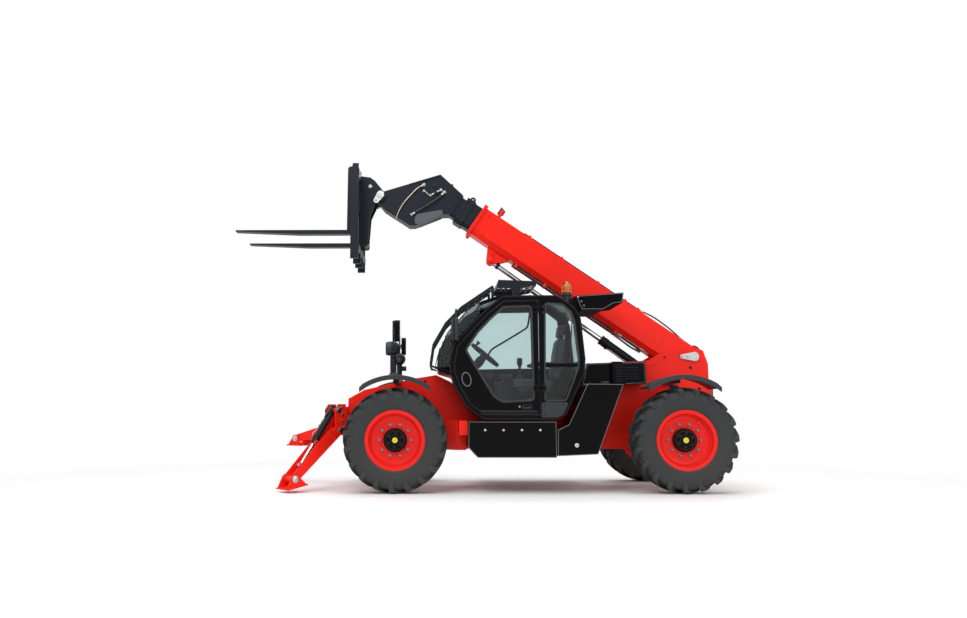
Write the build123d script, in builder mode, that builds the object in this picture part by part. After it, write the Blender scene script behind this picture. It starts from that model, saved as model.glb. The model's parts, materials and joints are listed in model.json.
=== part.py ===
"""Telehandler with a three-section boom, a fork carriage and front stabilisers.

Row frame: X forward, Y to the machine's left, Z up, origin on the ground at the middle of
the machine's length. All sizes are in millimetres. Side sketches are drawn on planes that
face -Y, with their x running forward from the front axle and their y running up.
"""

import os
from math import atan2, cos, degrees, hypot, pi, radians, sin, sqrt

from build123d import *

os.makedirs("parts", exist_ok=True)

# ---------------------------------------------------------------- driving dimensions
WHEELBASE = 3220
TRACK = 1940  # between the wheels' middle planes
TYRE_OD = 1170
TYRE_WIDTH = 400
BEAD_RADIUS = 305  # 24 inch rim
RIM_WIDTH = 356
FLANGE_RADIUS = 335
RIM_WALL = 9
HUB_RADIUS = 130
STUD_CIRCLE = 356  # wheel studs' pitch circle diameter
STUD_COUNT = 10
KINGPIN_INSET = 130  # kingpin axis inboard of the wheel's middle plane
KINGPIN_RADIUS = 28
AXLE_TUBE_RADIUS = 75
PIN_GAP = 0.5  # radial play of every pin that turns
MOVE_GAP = 8  # least gap between bodies that pass each other

FRAME_HALF = 240  # outer face of the chassis side plates
FRAME_PLATE = 28
FRAME_BOTTOM = 460
AXLE_SEAT_Z = 735  # underside of the frame over the axles
REAR_OVERHANG = 112  # rear cross plate behind the boom pivot
TOW_Z = 790
TOW_PIN_RADIUS = 20
TOW_RADIUS = 42
TOW_REACH = 62  # tow pin behind the rear cross plate
TOW_JAW = 44  # height between the tow jaw's plates

CAB_RIGHT = 275  # Y of the cab's right face
CAB_LEFT = 1120  # Y of the cab's left face
CAB_WALL = 42
CAB_FRAME_DEPTH = 80  # thickness of the left side frame that holds the door
CAB_BORDER = 52  # width of the left frame's rim around the door
GLASS = 6
DOOR_THICK = 44
DOOR_HINGE_X = -1606
DOOR_HINGE_RADIUS = 13

PIVOT_BEHIND = 369  # boom pivot behind the rear axle
PIVOT_Z = 1566
PIVOT_PIN_RADIUS = 45
BOOM_ANGLE = 34.6  # boom above the horizon as it stands
BOOM_WIDTH = 300
BOOM_ABOVE = 117  # top face above the pivot, square to the boom
BOOM_BELOW = 253  # bottom face below the pivot, square to the boom
BOOM_CHAMFER = 60
BOOM_PLATE = 12
BOOM_END = 3100  # front of the outer section, from the pivot along the boom
SECTION_GAP = 12  # play between a section and the next one inside it
SECTION_PLATE = 10
SECTION_REAR = 420  # rear end of the second section, from the pivot
COLLAR = 42  # front collars' thickness along the boom
MID_NOSE = 230  # how far the second section shows in front of the first

LIFT_LUG_ALONG = 2697  # lift cylinder's upper pin, from the pivot along the boom
LIFT_LUG_BELOW = 130  # upper pin below the boom's underside
LIFT_BASE = (239, -386)  # lower pin from the boom pivot, forward and up
LIFT_BARREL_RADIUS = 55
LIFT_ROD_RADIUS = 32
LIFT_BARREL_LENGTH = 1010
LIFT_ROD_INSIDE = 370  # rod inside the barrel as it stands
LIFT_EYE_RADIUS = 38
LIFT_PIN_RADIUS = 30

HEAD_PIN = (4301, -504)  # head pin along the boom and above the pivot's line
HEAD_PIN_RADIUS = 32
HEAD_HALF = 118  # outer face of the head's side plates
HEAD_PLATE = 20
EAR_PLATE = 26  # coupler ears that hold the head pin

CARRIAGE_BACK = 231  # carriage's rear face in front of the head pin
CARRIAGE_DEPTH = 96
CARRIAGE_TOP = 300
CARRIAGE_BOTTOM = -864
CARRIAGE_HALF = 580
FORK_SPREAD = 430  # fork middle from the middle plane
FORK_WIDTH = 120
FORK_LENGTH = 1400
FORK_THICK = 50
FORK_TOP = -504  # blade's top face above the head pin
FORK_TIP = 16

LEG_PIVOT = (720, 580, 690)  # stabiliser pivot: forward of the front axle, left, up
LEG_SPLAY = 36  # legs point outwards by this much
LEG_LENGTH = 785
LEG_HALF = 98  # outer face of the leg's side plates
LEG_PLATE = 14
LEG_RAM_TOP = (30, 232)  # ram's upper pin from the leg pivot
LEG_RAM_EYE = (600, 22)  # ram's lower pin, along and above the leg's line
LEG_BARREL_RADIUS = 38
LEG_ROD_RADIUS = 20
LEG_BARREL_LENGTH = 455
LEG_PIN_RADIUS = 22
FOOT_HALF = 152
FOOT_LENGTH = 250
FOOT_DEPTH = 96  # pad's underside below the foot pin
FOOT_PLATE = 16
LEGS = [  # side, name, leg below the horizon, foot toe down, as they stand
    (1, "left", 43.4, 12),
    (-1, "right", 10.0, 0),
]

FENDER_INNER = 665
FENDER_OUTER = 1165
FENDER_THICK = 14

# ---------------------------------------------------------------- derived places
TYRE_R = TYRE_OD / 2
KINGPIN_HALF = TRACK / 2 - KINGPIN_INSET
FRAME_INNER = FRAME_HALF - FRAME_PLATE
BOOM_COS = cos(radians(BOOM_ANGLE))
BOOM_SIN = sin(radians(BOOM_ANGLE))
PIVOT_X = -WHEELBASE - PIVOT_BEHIND


def from_boom(along, above):
    """Side view place, from the front axle, of a point given along and above the boom."""
    return (
        PIVOT_X + along * BOOM_COS - above * BOOM_SIN,
        PIVOT_Z + along * BOOM_SIN + above * BOOM_COS,
    )


HEAD_X, HEAD_Z = from_boom(*HEAD_PIN)
FORK_TIP_X = HEAD_X + CARRIAGE_BACK + CARRIAGE_DEPTH + FORK_LENGTH
TOW_X = PIVOT_X - REAR_OVERHANG - TOW_REACH
REAR_END = min(-WHEELBASE - TYRE_R, TOW_X - TOW_RADIUS)
FRONT_X = (-REAR_END - FORK_TIP_X) / 2  # puts the origin at mid length
REAR_X = FRONT_X - WHEELBASE
LUG_X, LUG_Z = from_boom(LIFT_LUG_ALONG, -BOOM_BELOW - LIFT_LUG_BELOW)
BASE_X = PIVOT_X + LIFT_BASE[0]
BASE_Z = PIVOT_Z + LIFT_BASE[1]
LIFT_LENGTH = hypot(LUG_X - BASE_X, LUG_Z - BASE_Z)
LIFT_ANGLE = degrees(atan2(LUG_Z - BASE_Z, LUG_X - BASE_X))


def side(y, x=0.0, z=0.0):
    """Plane facing -Y at depth y, its origin x forward of the front axle and z up."""
    return Plane(origin=(FRONT_X + x, y, z), x_dir=(1, 0, 0), z_dir=(0, -1, 0))


def level(z, x=0.0):
    """Plane facing up at height z, its origin over the front axle."""
    return Plane.XY.offset(z).shift_origin((FRONT_X + x, 0, z))


def boom_side(y):
    """Plane facing -Y at depth y, x along the boom from the pivot, y square to it."""
    return Plane(
        origin=(FRONT_X + PIVOT_X, y, PIVOT_Z),
        x_dir=(BOOM_COS, 0, BOOM_SIN),
        z_dir=(0, -1, 0),
    )


def boom_section(along):
    """Plane square to the boom, x to the machine's left, y up, facing the boom's head."""
    x, z = from_boom(along, 0)
    return Plane(
        origin=(FRONT_X + x, 0, z), x_dir=(0, 1, 0), z_dir=(BOOM_COS, 0, BOOM_SIN)
    )


def wheel_section(x, y):
    """Plane through a wheel's axle, x to the machine's left and y up from the hub."""
    return Plane(origin=(x, y, TYRE_R), x_dir=(0, 1, 0), z_dir=(1, 0, 0))


def save(part, name):
    """Label a finished piece and write it as its own STEP file."""
    part.label = name
    export_step(part, f"parts/{name}.step")


AXLES = [  # name, X in the row frame
    ("front", FRONT_X),
    ("rear", REAR_X),
]
SIDES = [  # name, sign of Y
    ("left", 1),
    ("right", -1),
]

# ---------------------------------------------------------------- chassis frame
NOSE_X = 600  # front end of the side plates
FRAME_OUTLINE = [  # forward of the front axle, up
    (NOSE_X, 640),
    (NOSE_X, 1060),
    (404, 1167),
    (73, 1240),
    (-179, 1299),
    (-464, 1345),
    (-640, 1262),
    (-860, 1060),
    (-2060, 1060),
    (-2250, 1478),
    (PIVOT_X + 560, 1520),
    (PIVOT_X + 420, 1600),
    (PIVOT_X + 150, 1636),
    (PIVOT_X + 30, 1700),
    (PIVOT_X - 110, 1640),
    (PIVOT_X - 165, 1480),
    (PIVOT_X - 170, 800),
    (PIVOT_X - 60, 640),
    (-WHEELBASE - 230, 640),
    (-WHEELBASE - 200, AXLE_SEAT_Z),
    (-WHEELBASE + 200, AXLE_SEAT_Z),
    (-WHEELBASE + 330, FRAME_BOTTOM),
    (-330, FRAME_BOTTOM),
    (-200, AXLE_SEAT_Z),
    (200, AXLE_SEAT_Z),
    (330, 640),
]
FLOOR_LENGTHS = [  # rear end, front end and underside of each cross plate between the side plates
    (-WHEELBASE + 320, -420, FRAME_BOTTOM),
    (-200, NOSE_X, AXLE_SEAT_Z),
    (PIVOT_X, -WHEELBASE + 200, AXLE_SEAT_Z),
]
CROSS_TUBES = [(-900, 560), (-2450, 560)]  # forward of the front axle, up
FRAME_PINS = [  # forward of the front axle, up, radius
    (PIVOT_X, PIVOT_Z, PIVOT_PIN_RADIUS),
    (BASE_X, BASE_Z, LIFT_PIN_RADIUS),
]
CAB_SUPPORT = [  # plan of the box that carries the cab: forward of the front axle, left
    (-400, FRAME_HALF),
    (-690, 640),
    (-812, 640),
    (-812, FRAME_HALF),
]
TOW_PLATE = 28

with BuildPart() as frame_sides:
    for _, sign in SIDES:
        with BuildSketch(side(sign * (FRAME_HALF - FRAME_PLATE / 2))):
            Polygon(*FRAME_OUTLINE, align=None)
        extrude(amount=FRAME_PLATE / 2, both=True)
    # ends of the boom's pivot pin on the plates' outer faces
    for y in (FRAME_HALF + 18, -FRAME_HALF):
        with BuildSketch(side(y)):
            with Locations((PIVOT_X, PIVOT_Z)):
                Circle(PIVOT_PIN_RADIUS)
        extrude(amount=18)
save(frame_sides.part, "frame_sides")

with BuildPart() as frame_members:
    for rear, front, bottom in FLOOR_LENGTHS:
        with BuildSketch(level(bottom)):
            with Locations(((rear + front) / 2, 0)):
                Rectangle(front - rear, 2 * FRAME_INNER)
        extrude(amount=FRAME_PLATE)
    for x, z in CROSS_TUBES:
        with BuildSketch(side(FRAME_INNER)):
            with Locations((x, z)):
                Circle(60)
        extrude(amount=2 * FRAME_INNER)
    for x, z, radius in FRAME_PINS:
        with BuildSketch(side(FRAME_INNER)):
            with Locations((x, z)):
                Circle(radius)
        extrude(amount=2 * FRAME_INNER)
    # box beside the left side plate that carries the front of the cab
    with BuildSketch(level(FRAME_BOTTOM)):
        Polygon(*CAB_SUPPORT, align=None)
    extrude(amount=345)
    with BuildSketch(level(640)):
        with Locations((-764, 830)):
            Rectangle(96, 420)
    extrude(amount=160)
    # rear cross plate, and a low front one that the boom's head passes over
    with BuildSketch(side(FRAME_INNER)):
        with Locations((PIVOT_X - REAR_OVERHANG, 1030)):
            Rectangle(FRAME_PLATE, 580)
        with Locations((NOSE_X - FRAME_PLATE / 2, 735)):
            Rectangle(FRAME_PLATE, 190)
    extrude(amount=2 * FRAME_INNER)
    # tow jaw at the rear: two plates with an upright pin hole
    for bottom in (-TOW_JAW / 2 - TOW_PLATE, TOW_JAW / 2):
        with BuildSketch(level(TOW_Z + bottom)):
            with Locations((TOW_X, 0)):
                Circle(TOW_RADIUS)
            with Locations((TOW_X + TOW_REACH / 2, 0)):
                Rectangle(TOW_REACH, 2 * TOW_RADIUS)
            with Locations((TOW_X, 0)):
                Circle(TOW_PIN_RADIUS, mode=Mode.SUBTRACT)
        extrude(amount=TOW_PLATE)
save(frame_members.part, "frame_members")

BRACKET_PLATE = 16
BRACKET_NEAR = LEG_HALF + MOVE_GAP  # inner faces of a stabiliser bracket's plates
BRACKET_FAR = BRACKET_NEAR + BRACKET_PLATE
with BuildPart() as brackets:
    for _, sign in SIDES:
        pivot = (FRONT_X + LEG_PIVOT[0], sign * LEG_PIVOT[1], LEG_PIVOT[2])
        pin_dir = Vector(-sign * sin(radians(LEG_SPLAY)), cos(radians(LEG_SPLAY)), 0)
        out_dir = Vector(cos(radians(LEG_SPLAY)), sign * sin(radians(LEG_SPLAY)), 0)
        bracket = Plane(origin=pivot, x_dir=out_dir, z_dir=-pin_dir)
        for depth in (-BRACKET_FAR, BRACKET_NEAR):
            with BuildSketch(bracket.offset(depth)):
                Polygon(
                    (-70, -60), (0, -60), (60, 0), (72, 235), (30, 300), (-70, 300), align=None
                )
            extrude(amount=BRACKET_PLATE)
        with BuildSketch(bracket.offset(-BRACKET_FAR)):
            Circle(LEG_PIN_RADIUS)
            with Locations(LEG_RAM_TOP):
                Circle(LEG_PIN_RADIUS)
        extrude(amount=2 * BRACKET_FAR)
        # arm from the frame's nose to the bracket
        with BuildSketch(level(LEG_PIVOT[2] + 70)):
            Polygon(
                (NOSE_X, sign * (FRAME_HALF - 60)),
                (NOSE_X, sign * FRAME_HALF),
                (LEG_PIVOT[0] - 150, sign * (LEG_PIVOT[1] + 34)),
                (LEG_PIVOT[0] - 60, sign * (LEG_PIVOT[1] + 60)),
                (LEG_PIVOT[0] + 40, sign * (LEG_PIVOT[1] - 160)),
                (NOSE_X + 40, sign * (FRAME_HALF - 60)),
                align=None,
            )
        extrude(amount=200)
save(brackets.part, "stabiliser_brackets")

# ---------------------------------------------------------------- axles, knuckles, wheels
AXLE_BEAM_HALF = KINGPIN_HALF - 150  # the axle tubes end here, inboard of the yokes
YOKE_ARM = 95  # yoke arms above and below the axle line
YOKE_THICK = 34
KNUCKLE_RADIUS = 62
HUB_REACH = 128  # hub cover's outer face from the wheel's middle plane
SPINDLE_RADIUS = 46

for name, x in AXLES:
    with BuildPart() as axle:
        with BuildSketch(Plane(origin=(x, 0, TYRE_R), x_dir=(1, 0, 0), z_dir=(0, -1, 0))):
            Circle(AXLE_TUBE_RADIUS)
        extrude(amount=AXLE_BEAM_HALF, both=True)
        # differential housing
        with BuildSketch(Plane(origin=(x, 0, TYRE_R), x_dir=(0, 1, 0), z_dir=(0, 0, 1))):
            with BuildLine():
                Polyline((-230, 0), (230, 0), (230, 88), (120, 150), (-120, 150), (-230, 88), close=True)
            make_face()
        revolve(axis=Axis((x, 0, TYRE_R), (0, 1, 0)), revolution_arc=360)
        # block that carries the frame
        with BuildSketch(Plane.XY.offset(TYRE_R)):
            with Locations((x, 0)):
                Rectangle(150, 420)
        extrude(amount=AXLE_SEAT_Z - TYRE_R)
        for _, sign in SIDES:
            end = sign * AXLE_BEAM_HALF
            kingpin = sign * KINGPIN_HALF
            with BuildSketch(Plane(origin=(x, end, TYRE_R), x_dir=(1, 0, 0), z_dir=(0, -sign, 0))):
                RectangleRounded(150, 2 * (YOKE_ARM + YOKE_THICK), 40)
            extrude(amount=36, both=True)
            for bottom in (YOKE_ARM, -YOKE_ARM - YOKE_THICK):
                with BuildSketch(Plane.XY.offset(TYRE_R + bottom)):
                    with Locations((x, (end + kingpin) / 2)):
                        Rectangle(116, abs(kingpin - end))
                    with Locations((x, kingpin)):
                        Circle(58)
                extrude(amount=YOKE_THICK)
            with Locations((x, kingpin, TYRE_R)):
                Cylinder(
                    KINGPIN_RADIUS + PIN_GAP, 2 * (YOKE_ARM + YOKE_THICK) + 2, mode=Mode.SUBTRACT
                )
    save(axle.part, f"{name}_axle")

RIM_PROFILE = [  # outwards from the wheel's middle plane, radius
    (-RIM_WIDTH / 2, FLANGE_RADIUS),
    (-RIM_WIDTH / 2 + 10, FLANGE_RADIUS),
    (-RIM_WIDTH / 2 + 16, BEAD_RADIUS),
    (RIM_WIDTH / 2 - 16, BEAD_RADIUS),
    (RIM_WIDTH / 2 - 10, FLANGE_RADIUS),
    (RIM_WIDTH / 2, FLANGE_RADIUS),
    (RIM_WIDTH / 2 - 6, BEAD_RADIUS - RIM_WALL),
    (112, BEAD_RADIUS - RIM_WALL - 6),
    (78, 262),
    (70, 236),
    (64, HUB_RADIUS + 6),
    (64, HUB_RADIUS - 6),
    (46, HUB_RADIUS - 6),
    (46, 240),
    (58, 274),
    (66, BEAD_RADIUS - RIM_WALL),
    (-RIM_WIDTH / 2 + 6, BEAD_RADIUS - RIM_WALL),
]
HUB_PROFILE = [  # outwards, radius
    (-36, SPINDLE_RADIUS + PIN_GAP),
    (-36, 108),
    (46, HUB_RADIUS),
    (HUB_REACH - 20, HUB_RADIUS),
    (HUB_REACH, HUB_RADIUS - 18),
    (HUB_REACH, 0),
    (20, 0),
    (20, SPINDLE_RADIUS + PIN_GAP),
]

CARCASS = [  # outwards from the tyre's middle plane, radius to the flats
    (RIM_WIDTH / 2 - 28, BEAD_RADIUS + PIN_GAP / 2),
    (TYRE_WIDTH / 2 - 4, TYRE_R - 150),
    (TYRE_WIDTH / 2 - 34, TYRE_R - 34),
]
LUG_COUNT = 19  # lugs on each half of the tread
LUG_WIDTH = 58
LUG_INNER = 6  # a lug's inner end from the middle plane
LUG_LEAN = (-54, 36)  # middle of a lug's inner and outer ends, along the tread
LUG_EDGE = LUG_WIDTH / 2 - LUG_LEAN[0]  # a lug's farthest corner, along the tread
LUG_TOP = sqrt(TYRE_R**2 - LUG_EDGE**2)  # puts that corner on the tyre's outer radius
FLATS = 2 * LUG_COUNT


def carcass_ring(out, flat):
    """Corners of the tyre's carcass at one place across it, by the radius to its flats."""
    corner = flat / cos(pi / FLATS)
    turns = [2 * pi * i / FLATS for i in range(FLATS)]
    return [Vector(corner * cos(turn), corner * sin(turn), out) for turn in turns]


def tyre_lug(sign):
    """Lug on one half of the tread, about the Z direction, standing out along X."""
    with BuildPart() as lug:
        with BuildSketch(Plane(origin=(0, 0, 0), x_dir=(0, 0, 1), z_dir=(0, 1, 0))):
            Polygon(
                (sign * LUG_INNER, TYRE_R - 60),
                (sign * LUG_INNER, LUG_TOP),
                (sign * (TYRE_WIDTH / 2 - 16), LUG_TOP),
                (sign * TYRE_WIDTH / 2, TYRE_R - 100),
                (sign * (TYRE_WIDTH / 2 - 60), TYRE_R - 104),
                align=None,
            )
        extrude(amount=TYRE_WIDTH, both=True)
        with BuildSketch(Plane(origin=(0, 0, 0), x_dir=(0, 0, 1), z_dir=(1, 0, 0))):
            Polygon(
                (sign * LUG_INNER, LUG_LEAN[0] - LUG_WIDTH / 2),
                (sign * LUG_INNER, LUG_LEAN[0] + LUG_WIDTH / 2),
                (sign * TYRE_WIDTH / 2, LUG_LEAN[1] + LUG_WIDTH / 2),
                (sign * TYRE_WIDTH / 2, LUG_LEAN[1] - LUG_WIDTH / 2),
                align=None,
            )
        extrude(amount=TYRE_OD, mode=Mode.INTERSECT)
    return lug.part


carcass_line = CARCASS + [(-out, flat) for out, flat in reversed(CARCASS)]
rings = [carcass_ring(out, flat) for out, flat in carcass_line]
flats = [
    Face(Wire.make_polygon([near[i - 1], near[i], far[i], far[i - 1]]))
    for near, far in zip(rings, rings[1:] + rings[:1])
    for i in range(FLATS)
]
lugs = [
    tyre_lug(sign).rotate(Axis.Z, 360 / LUG_COUNT * (i + start))
    for sign, start in ((1, 0), (-1, 0.5))
    for i in range(LUG_COUNT)
]
with BuildPart() as tyre:
    add(Solid(Shell(flats)))
    add(lugs)

for end_name, x in AXLES:
    for side_name, sign in SIDES:
        name = f"{end_name}_{side_name}"
        middle = sign * TRACK / 2
        kingpin = sign * KINGPIN_HALF
        wheel_axis = Axis((x, middle, TYRE_R), (0, 1, 0))
        wheel_plane = wheel_section(x, middle)

        with BuildPart() as knuckle:
            with Locations((x, kingpin, TYRE_R)):
                Cylinder(KNUCKLE_RADIUS, 2 * (YOKE_ARM - 3))
                Cylinder(KINGPIN_RADIUS, 2 * (YOKE_ARM + YOKE_THICK))
            with BuildSketch(Plane(origin=(x, kingpin, TYRE_R), x_dir=(sign, 0, 0), z_dir=(0, sign, 0))):
                Circle(SPINDLE_RADIUS)
            extrude(amount=TRACK / 2 - KINGPIN_HALF + 15)
            # flange that the hub runs against
            with BuildSketch(
                Plane(origin=(x, kingpin, TYRE_R), x_dir=(sign, 0, 0), z_dir=(0, sign, 0)).offset(66)
            ):
                Circle(96)
            extrude(amount=TRACK / 2 - KINGPIN_HALF - 66 - 36 - MOVE_GAP)
        save(knuckle.part, f"{name}_knuckle")

        with BuildPart() as rim:
            with BuildSketch(wheel_plane):
                Polygon(*[(sign * out, radius) for out, radius in RIM_PROFILE], align=None)
                Polygon(*[(sign * out, radius) for out, radius in HUB_PROFILE], align=None)
            revolve(axis=wheel_axis)
            with BuildSketch(
                Plane(origin=(x, middle + sign * 60, TYRE_R), x_dir=(sign, 0, 0), z_dir=(0, sign, 0))
            ):
                with PolarLocations(STUD_CIRCLE / 2, STUD_COUNT):
                    RegularPolygon(15, 6)
            extrude(amount=34)
        save(rim.part, f"{name}_rim")

        # a lug's corner stands on the ground
        tyre_place = Plane(
            origin=(x, middle, TYRE_R), x_dir=(LUG_EDGE, 0, -LUG_TOP), z_dir=(0, 1, 0)
        )
        save(tyre_place * tyre.part, f"{name}_tyre")

# ---------------------------------------------------------------- boom
MID_HALF = BOOM_WIDTH / 2 - BOOM_PLATE - SECTION_GAP
MID_ABOVE = BOOM_ABOVE - BOOM_PLATE - SECTION_GAP
MID_BELOW = BOOM_BELOW - BOOM_PLATE - SECTION_GAP
INNER_HALF = MID_HALF - SECTION_PLATE - SECTION_GAP
INNER_ABOVE = MID_ABOVE - SECTION_PLATE - SECTION_GAP
INNER_BELOW = MID_BELOW - SECTION_PLATE - SECTION_GAP
MID_END = BOOM_END + COLLAR + MID_NOSE
INNER_REAR = SECTION_REAR + 80
HEAD_REAR = MID_END + 60


def tube_outline(half, above, below, chamfer):
    """Corners of a boom section's outline, with its lower corners cut off."""
    return [
        (-half, above),
        (-half, -below + chamfer),
        (-half + chamfer * 0.75, -below),
        (half - chamfer * 0.75, -below),
        (half, -below + chamfer),
        (half, above),
    ]


def boom_tube(rear, front, half, above, below, plate, chamfer=BOOM_CHAMFER):
    """Hollow boom section between two places along the boom, for use inside a part."""
    with BuildSketch(boom_section(rear)) as ring:
        Polygon(*tube_outline(half, above, below, chamfer), align=None)
        Polygon(
            *tube_outline(half - plate, above - plate, below - plate, chamfer - plate / 2),
            align=None,
            mode=Mode.SUBTRACT,
        )
    extrude(to_extrude=ring.sketch, amount=front - rear)


with BuildPart() as boom_outer:
    boom_tube(0, BOOM_END, BOOM_WIDTH / 2, BOOM_ABOVE, BOOM_BELOW, BOOM_PLATE)
    # front collar
    boom_tube(
        BOOM_END,
        BOOM_END + COLLAR,
        BOOM_WIDTH / 2 + 30,
        BOOM_ABOVE + 30,
        BOOM_BELOW + 30,
        BOOM_PLATE + 30,
    )
    # cheeks that run back to the pivot
    for y in (BOOM_WIDTH / 2, -BOOM_WIDTH / 2 + 22):
        with BuildSketch(boom_side(y)):
            Polygon(
                (0, BOOM_ABOVE), (-60, 100), (-105, 40), (-105, -60), (0, -BOOM_BELOW + 60),
                (420, -BOOM_BELOW + 60), (420, BOOM_ABOVE), align=None,
            )
        extrude(amount=22)
    # boss that turns on the pivot pin
    with BuildSketch(boom_side(FRAME_HALF - FRAME_PLATE - 2)):
        Circle(PIVOT_PIN_RADIUS + 38)
    extrude(amount=2 * (FRAME_HALF - FRAME_PLATE - 2))
    with BuildSketch(boom_side(FRAME_HALF)):
        Circle(PIVOT_PIN_RADIUS + PIN_GAP)
    extrude(amount=2 * FRAME_HALF, mode=Mode.SUBTRACT)
    # the rear underside is cut away above the lift cylinder's base
    with BuildSketch(boom_side(FRAME_HALF)):
        Polygon((-200, -BOOM_BELOW - 20), (360, -BOOM_BELOW - 20), (120, -130), (-200, -120), align=None)
    extrude(amount=2 * FRAME_HALF, mode=Mode.SUBTRACT)
    # lift cylinder's lug
    for y in (LIFT_EYE_RADIUS + 26, -LIFT_EYE_RADIUS - 4):
        with BuildSketch(boom_side(y)):
            with BuildLine():
                Polyline(
                    (LIFT_LUG_ALONG - 190, -BOOM_BELOW),
                    (LIFT_LUG_ALONG - 48, -BOOM_BELOW - LIFT_LUG_BELOW - 22),
                    (LIFT_LUG_ALONG + 48, -BOOM_BELOW - LIFT_LUG_BELOW - 22),
                    (LIFT_LUG_ALONG + 130, -BOOM_BELOW),
                    close=True,
                )
            make_face()
            with Locations((LIFT_LUG_ALONG, -BOOM_BELOW - LIFT_LUG_BELOW)):
                Circle(52)
        extrude(amount=22)
save(boom_outer.part, "boom_outer")

with BuildPart() as boom_mid:
    boom_tube(SECTION_REAR, MID_END - 120, MID_HALF, MID_ABOVE, MID_BELOW, SECTION_PLATE, 52)
    boom_tube(MID_END - 120, MID_END, MID_HALF + 14, MID_ABOVE + 14, MID_BELOW + 14, SECTION_PLATE + 14, 52)
    # ear on top of the nose
    for y in (70, -48):
        with BuildSketch(boom_side(y)):
            with Locations((MID_END - 60, MID_ABOVE + 34)):
                Circle(36)
                with Locations((0, -20)):
                    Rectangle(72, 40)
                Circle(14, mode=Mode.SUBTRACT)
        extrude(amount=22)
save(boom_mid.part, "boom_mid")

HEAD_OUTLINE = [  # along the boom, above the pivot's line
    (HEAD_REAR, INNER_ABOVE + 16),
    (HEAD_REAR, -INNER_BELOW + 20),
    (HEAD_REAR + 110, -266),
    (HEAD_REAR + 290, -557),
    (HEAD_REAR + 350, -599),
    (HEAD_PIN[0] - 145, HEAD_PIN[1] - 104),
    (HEAD_PIN[0] - 40, HEAD_PIN[1] - 74),
    (HEAD_PIN[0], HEAD_PIN[1] + 74),
    (HEAD_REAR + 398, 157),
    (HEAD_REAR + 30, 100),
]

HEAD_LIP = 9
HEAD_TOP = [  # upper front edge of the head and its lower face
    (HEAD_REAR + 398, 157),
    (HEAD_REAR + 660, -170),
    (HEAD_REAR + 646, -181),
    (HEAD_REAR + 384, 146),
]

with BuildPart() as boom_inner:
    boom_tube(INNER_REAR, HEAD_REAR + 40, INNER_HALF, INNER_ABOVE, INNER_BELOW, SECTION_PLATE, 40)
    # gooseneck: two side plates, a top plate and a belly plate
    with BuildSketch(boom_side(HEAD_HALF)):
        Polygon(*HEAD_OUTLINE, align=None)
        with Locations(HEAD_PIN):
            Circle(76)
    extrude(amount=2 * HEAD_HALF)
    with BuildSketch(boom_side(HEAD_HALF - HEAD_PLATE)):
        Polygon(*HEAD_OUTLINE, align=None)
        offset(amount=-HEAD_PLATE)
    extrude(amount=2 * (HEAD_HALF - HEAD_PLATE), mode=Mode.SUBTRACT)
    with BuildSketch(boom_side(HEAD_HALF + 1)):
        with Locations(HEAD_PIN):
            Circle(HEAD_PIN_RADIUS + PIN_GAP)
    extrude(amount=2 * HEAD_HALF + 2, mode=Mode.SUBTRACT)
    # top plate that stands out past the side plates, short of the coupler's ears
    with BuildSketch(boom_side(HEAD_HALF + HEAD_LIP)):
        Polygon(*HEAD_TOP, align=None)
    extrude(amount=2 * (HEAD_HALF + HEAD_LIP))
save(boom_inner.part, "boom_inner")

with BuildPart() as tilt_pin:
    with BuildSketch(side(HEAD_HALF + EAR_PLATE + 20, HEAD_X, HEAD_Z)):
        Circle(HEAD_PIN_RADIUS)
    extrude(amount=2 * (HEAD_HALF + EAR_PLATE + 20))
save(tilt_pin.part, "head_pin")

# ---------------------------------------------------------------- carriage and forks
EAR_Y = HEAD_HALF + 6  # inner face of the coupler's ears
BAR_LEVELS = [  # underside and height of the carriage's cross bars, from the head pin
    (150, 110),
    (-250, 90),
    (-760, 90),
]
CARRIAGE_POSTS = [-CARRIAGE_HALF + 22, -160, 160, CARRIAGE_HALF - 22]


def head_side(y):
    """Plane facing -Y at depth y with its origin at the head pin."""
    return side(y, HEAD_X, HEAD_Z)


with BuildPart() as carriage:
    for y in (EAR_Y + EAR_PLATE, -EAR_Y):
        with BuildSketch(head_side(y)):
            Polygon(
                (CARRIAGE_BACK, 250), (120, 235), (60, 190), (-76, 20), (-60, -50), (40, -76),
                (120, -250), (150, -640), (CARRIAGE_BACK, -640), align=None,
            )
            Circle(76)
            Circle(HEAD_PIN_RADIUS + PIN_GAP, mode=Mode.SUBTRACT)
        extrude(amount=EAR_PLATE)
    # coupler's cross tubes
    for x, z, radius in ((120, 175, 42), (185, -600, 38)):
        with BuildSketch(head_side(EAR_Y + EAR_PLATE)):
            with Locations((x, z)):
                Circle(radius)
        extrude(amount=2 * (EAR_Y + EAR_PLATE))
    # frame
    for bottom, height in BAR_LEVELS:
        with BuildSketch(head_side(CARRIAGE_HALF)):
            with Locations((CARRIAGE_BACK + CARRIAGE_DEPTH / 2, bottom + height / 2)):
                Rectangle(CARRIAGE_DEPTH, height)
        extrude(amount=2 * CARRIAGE_HALF)
    for y in CARRIAGE_POSTS:
        with BuildSketch(head_side(y)):
            Polygon(
                (CARRIAGE_BACK, CARRIAGE_TOP), (CARRIAGE_BACK, CARRIAGE_BOTTOM),
                (CARRIAGE_BACK + CARRIAGE_DEPTH, CARRIAGE_BOTTOM),
                (CARRIAGE_BACK + CARRIAGE_DEPTH, 140),
                (CARRIAGE_BACK + CARRIAGE_DEPTH - 24, CARRIAGE_TOP), align=None,
            )
        extrude(amount=22, both=True)
save(carriage.part, "fork_carriage")

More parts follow.
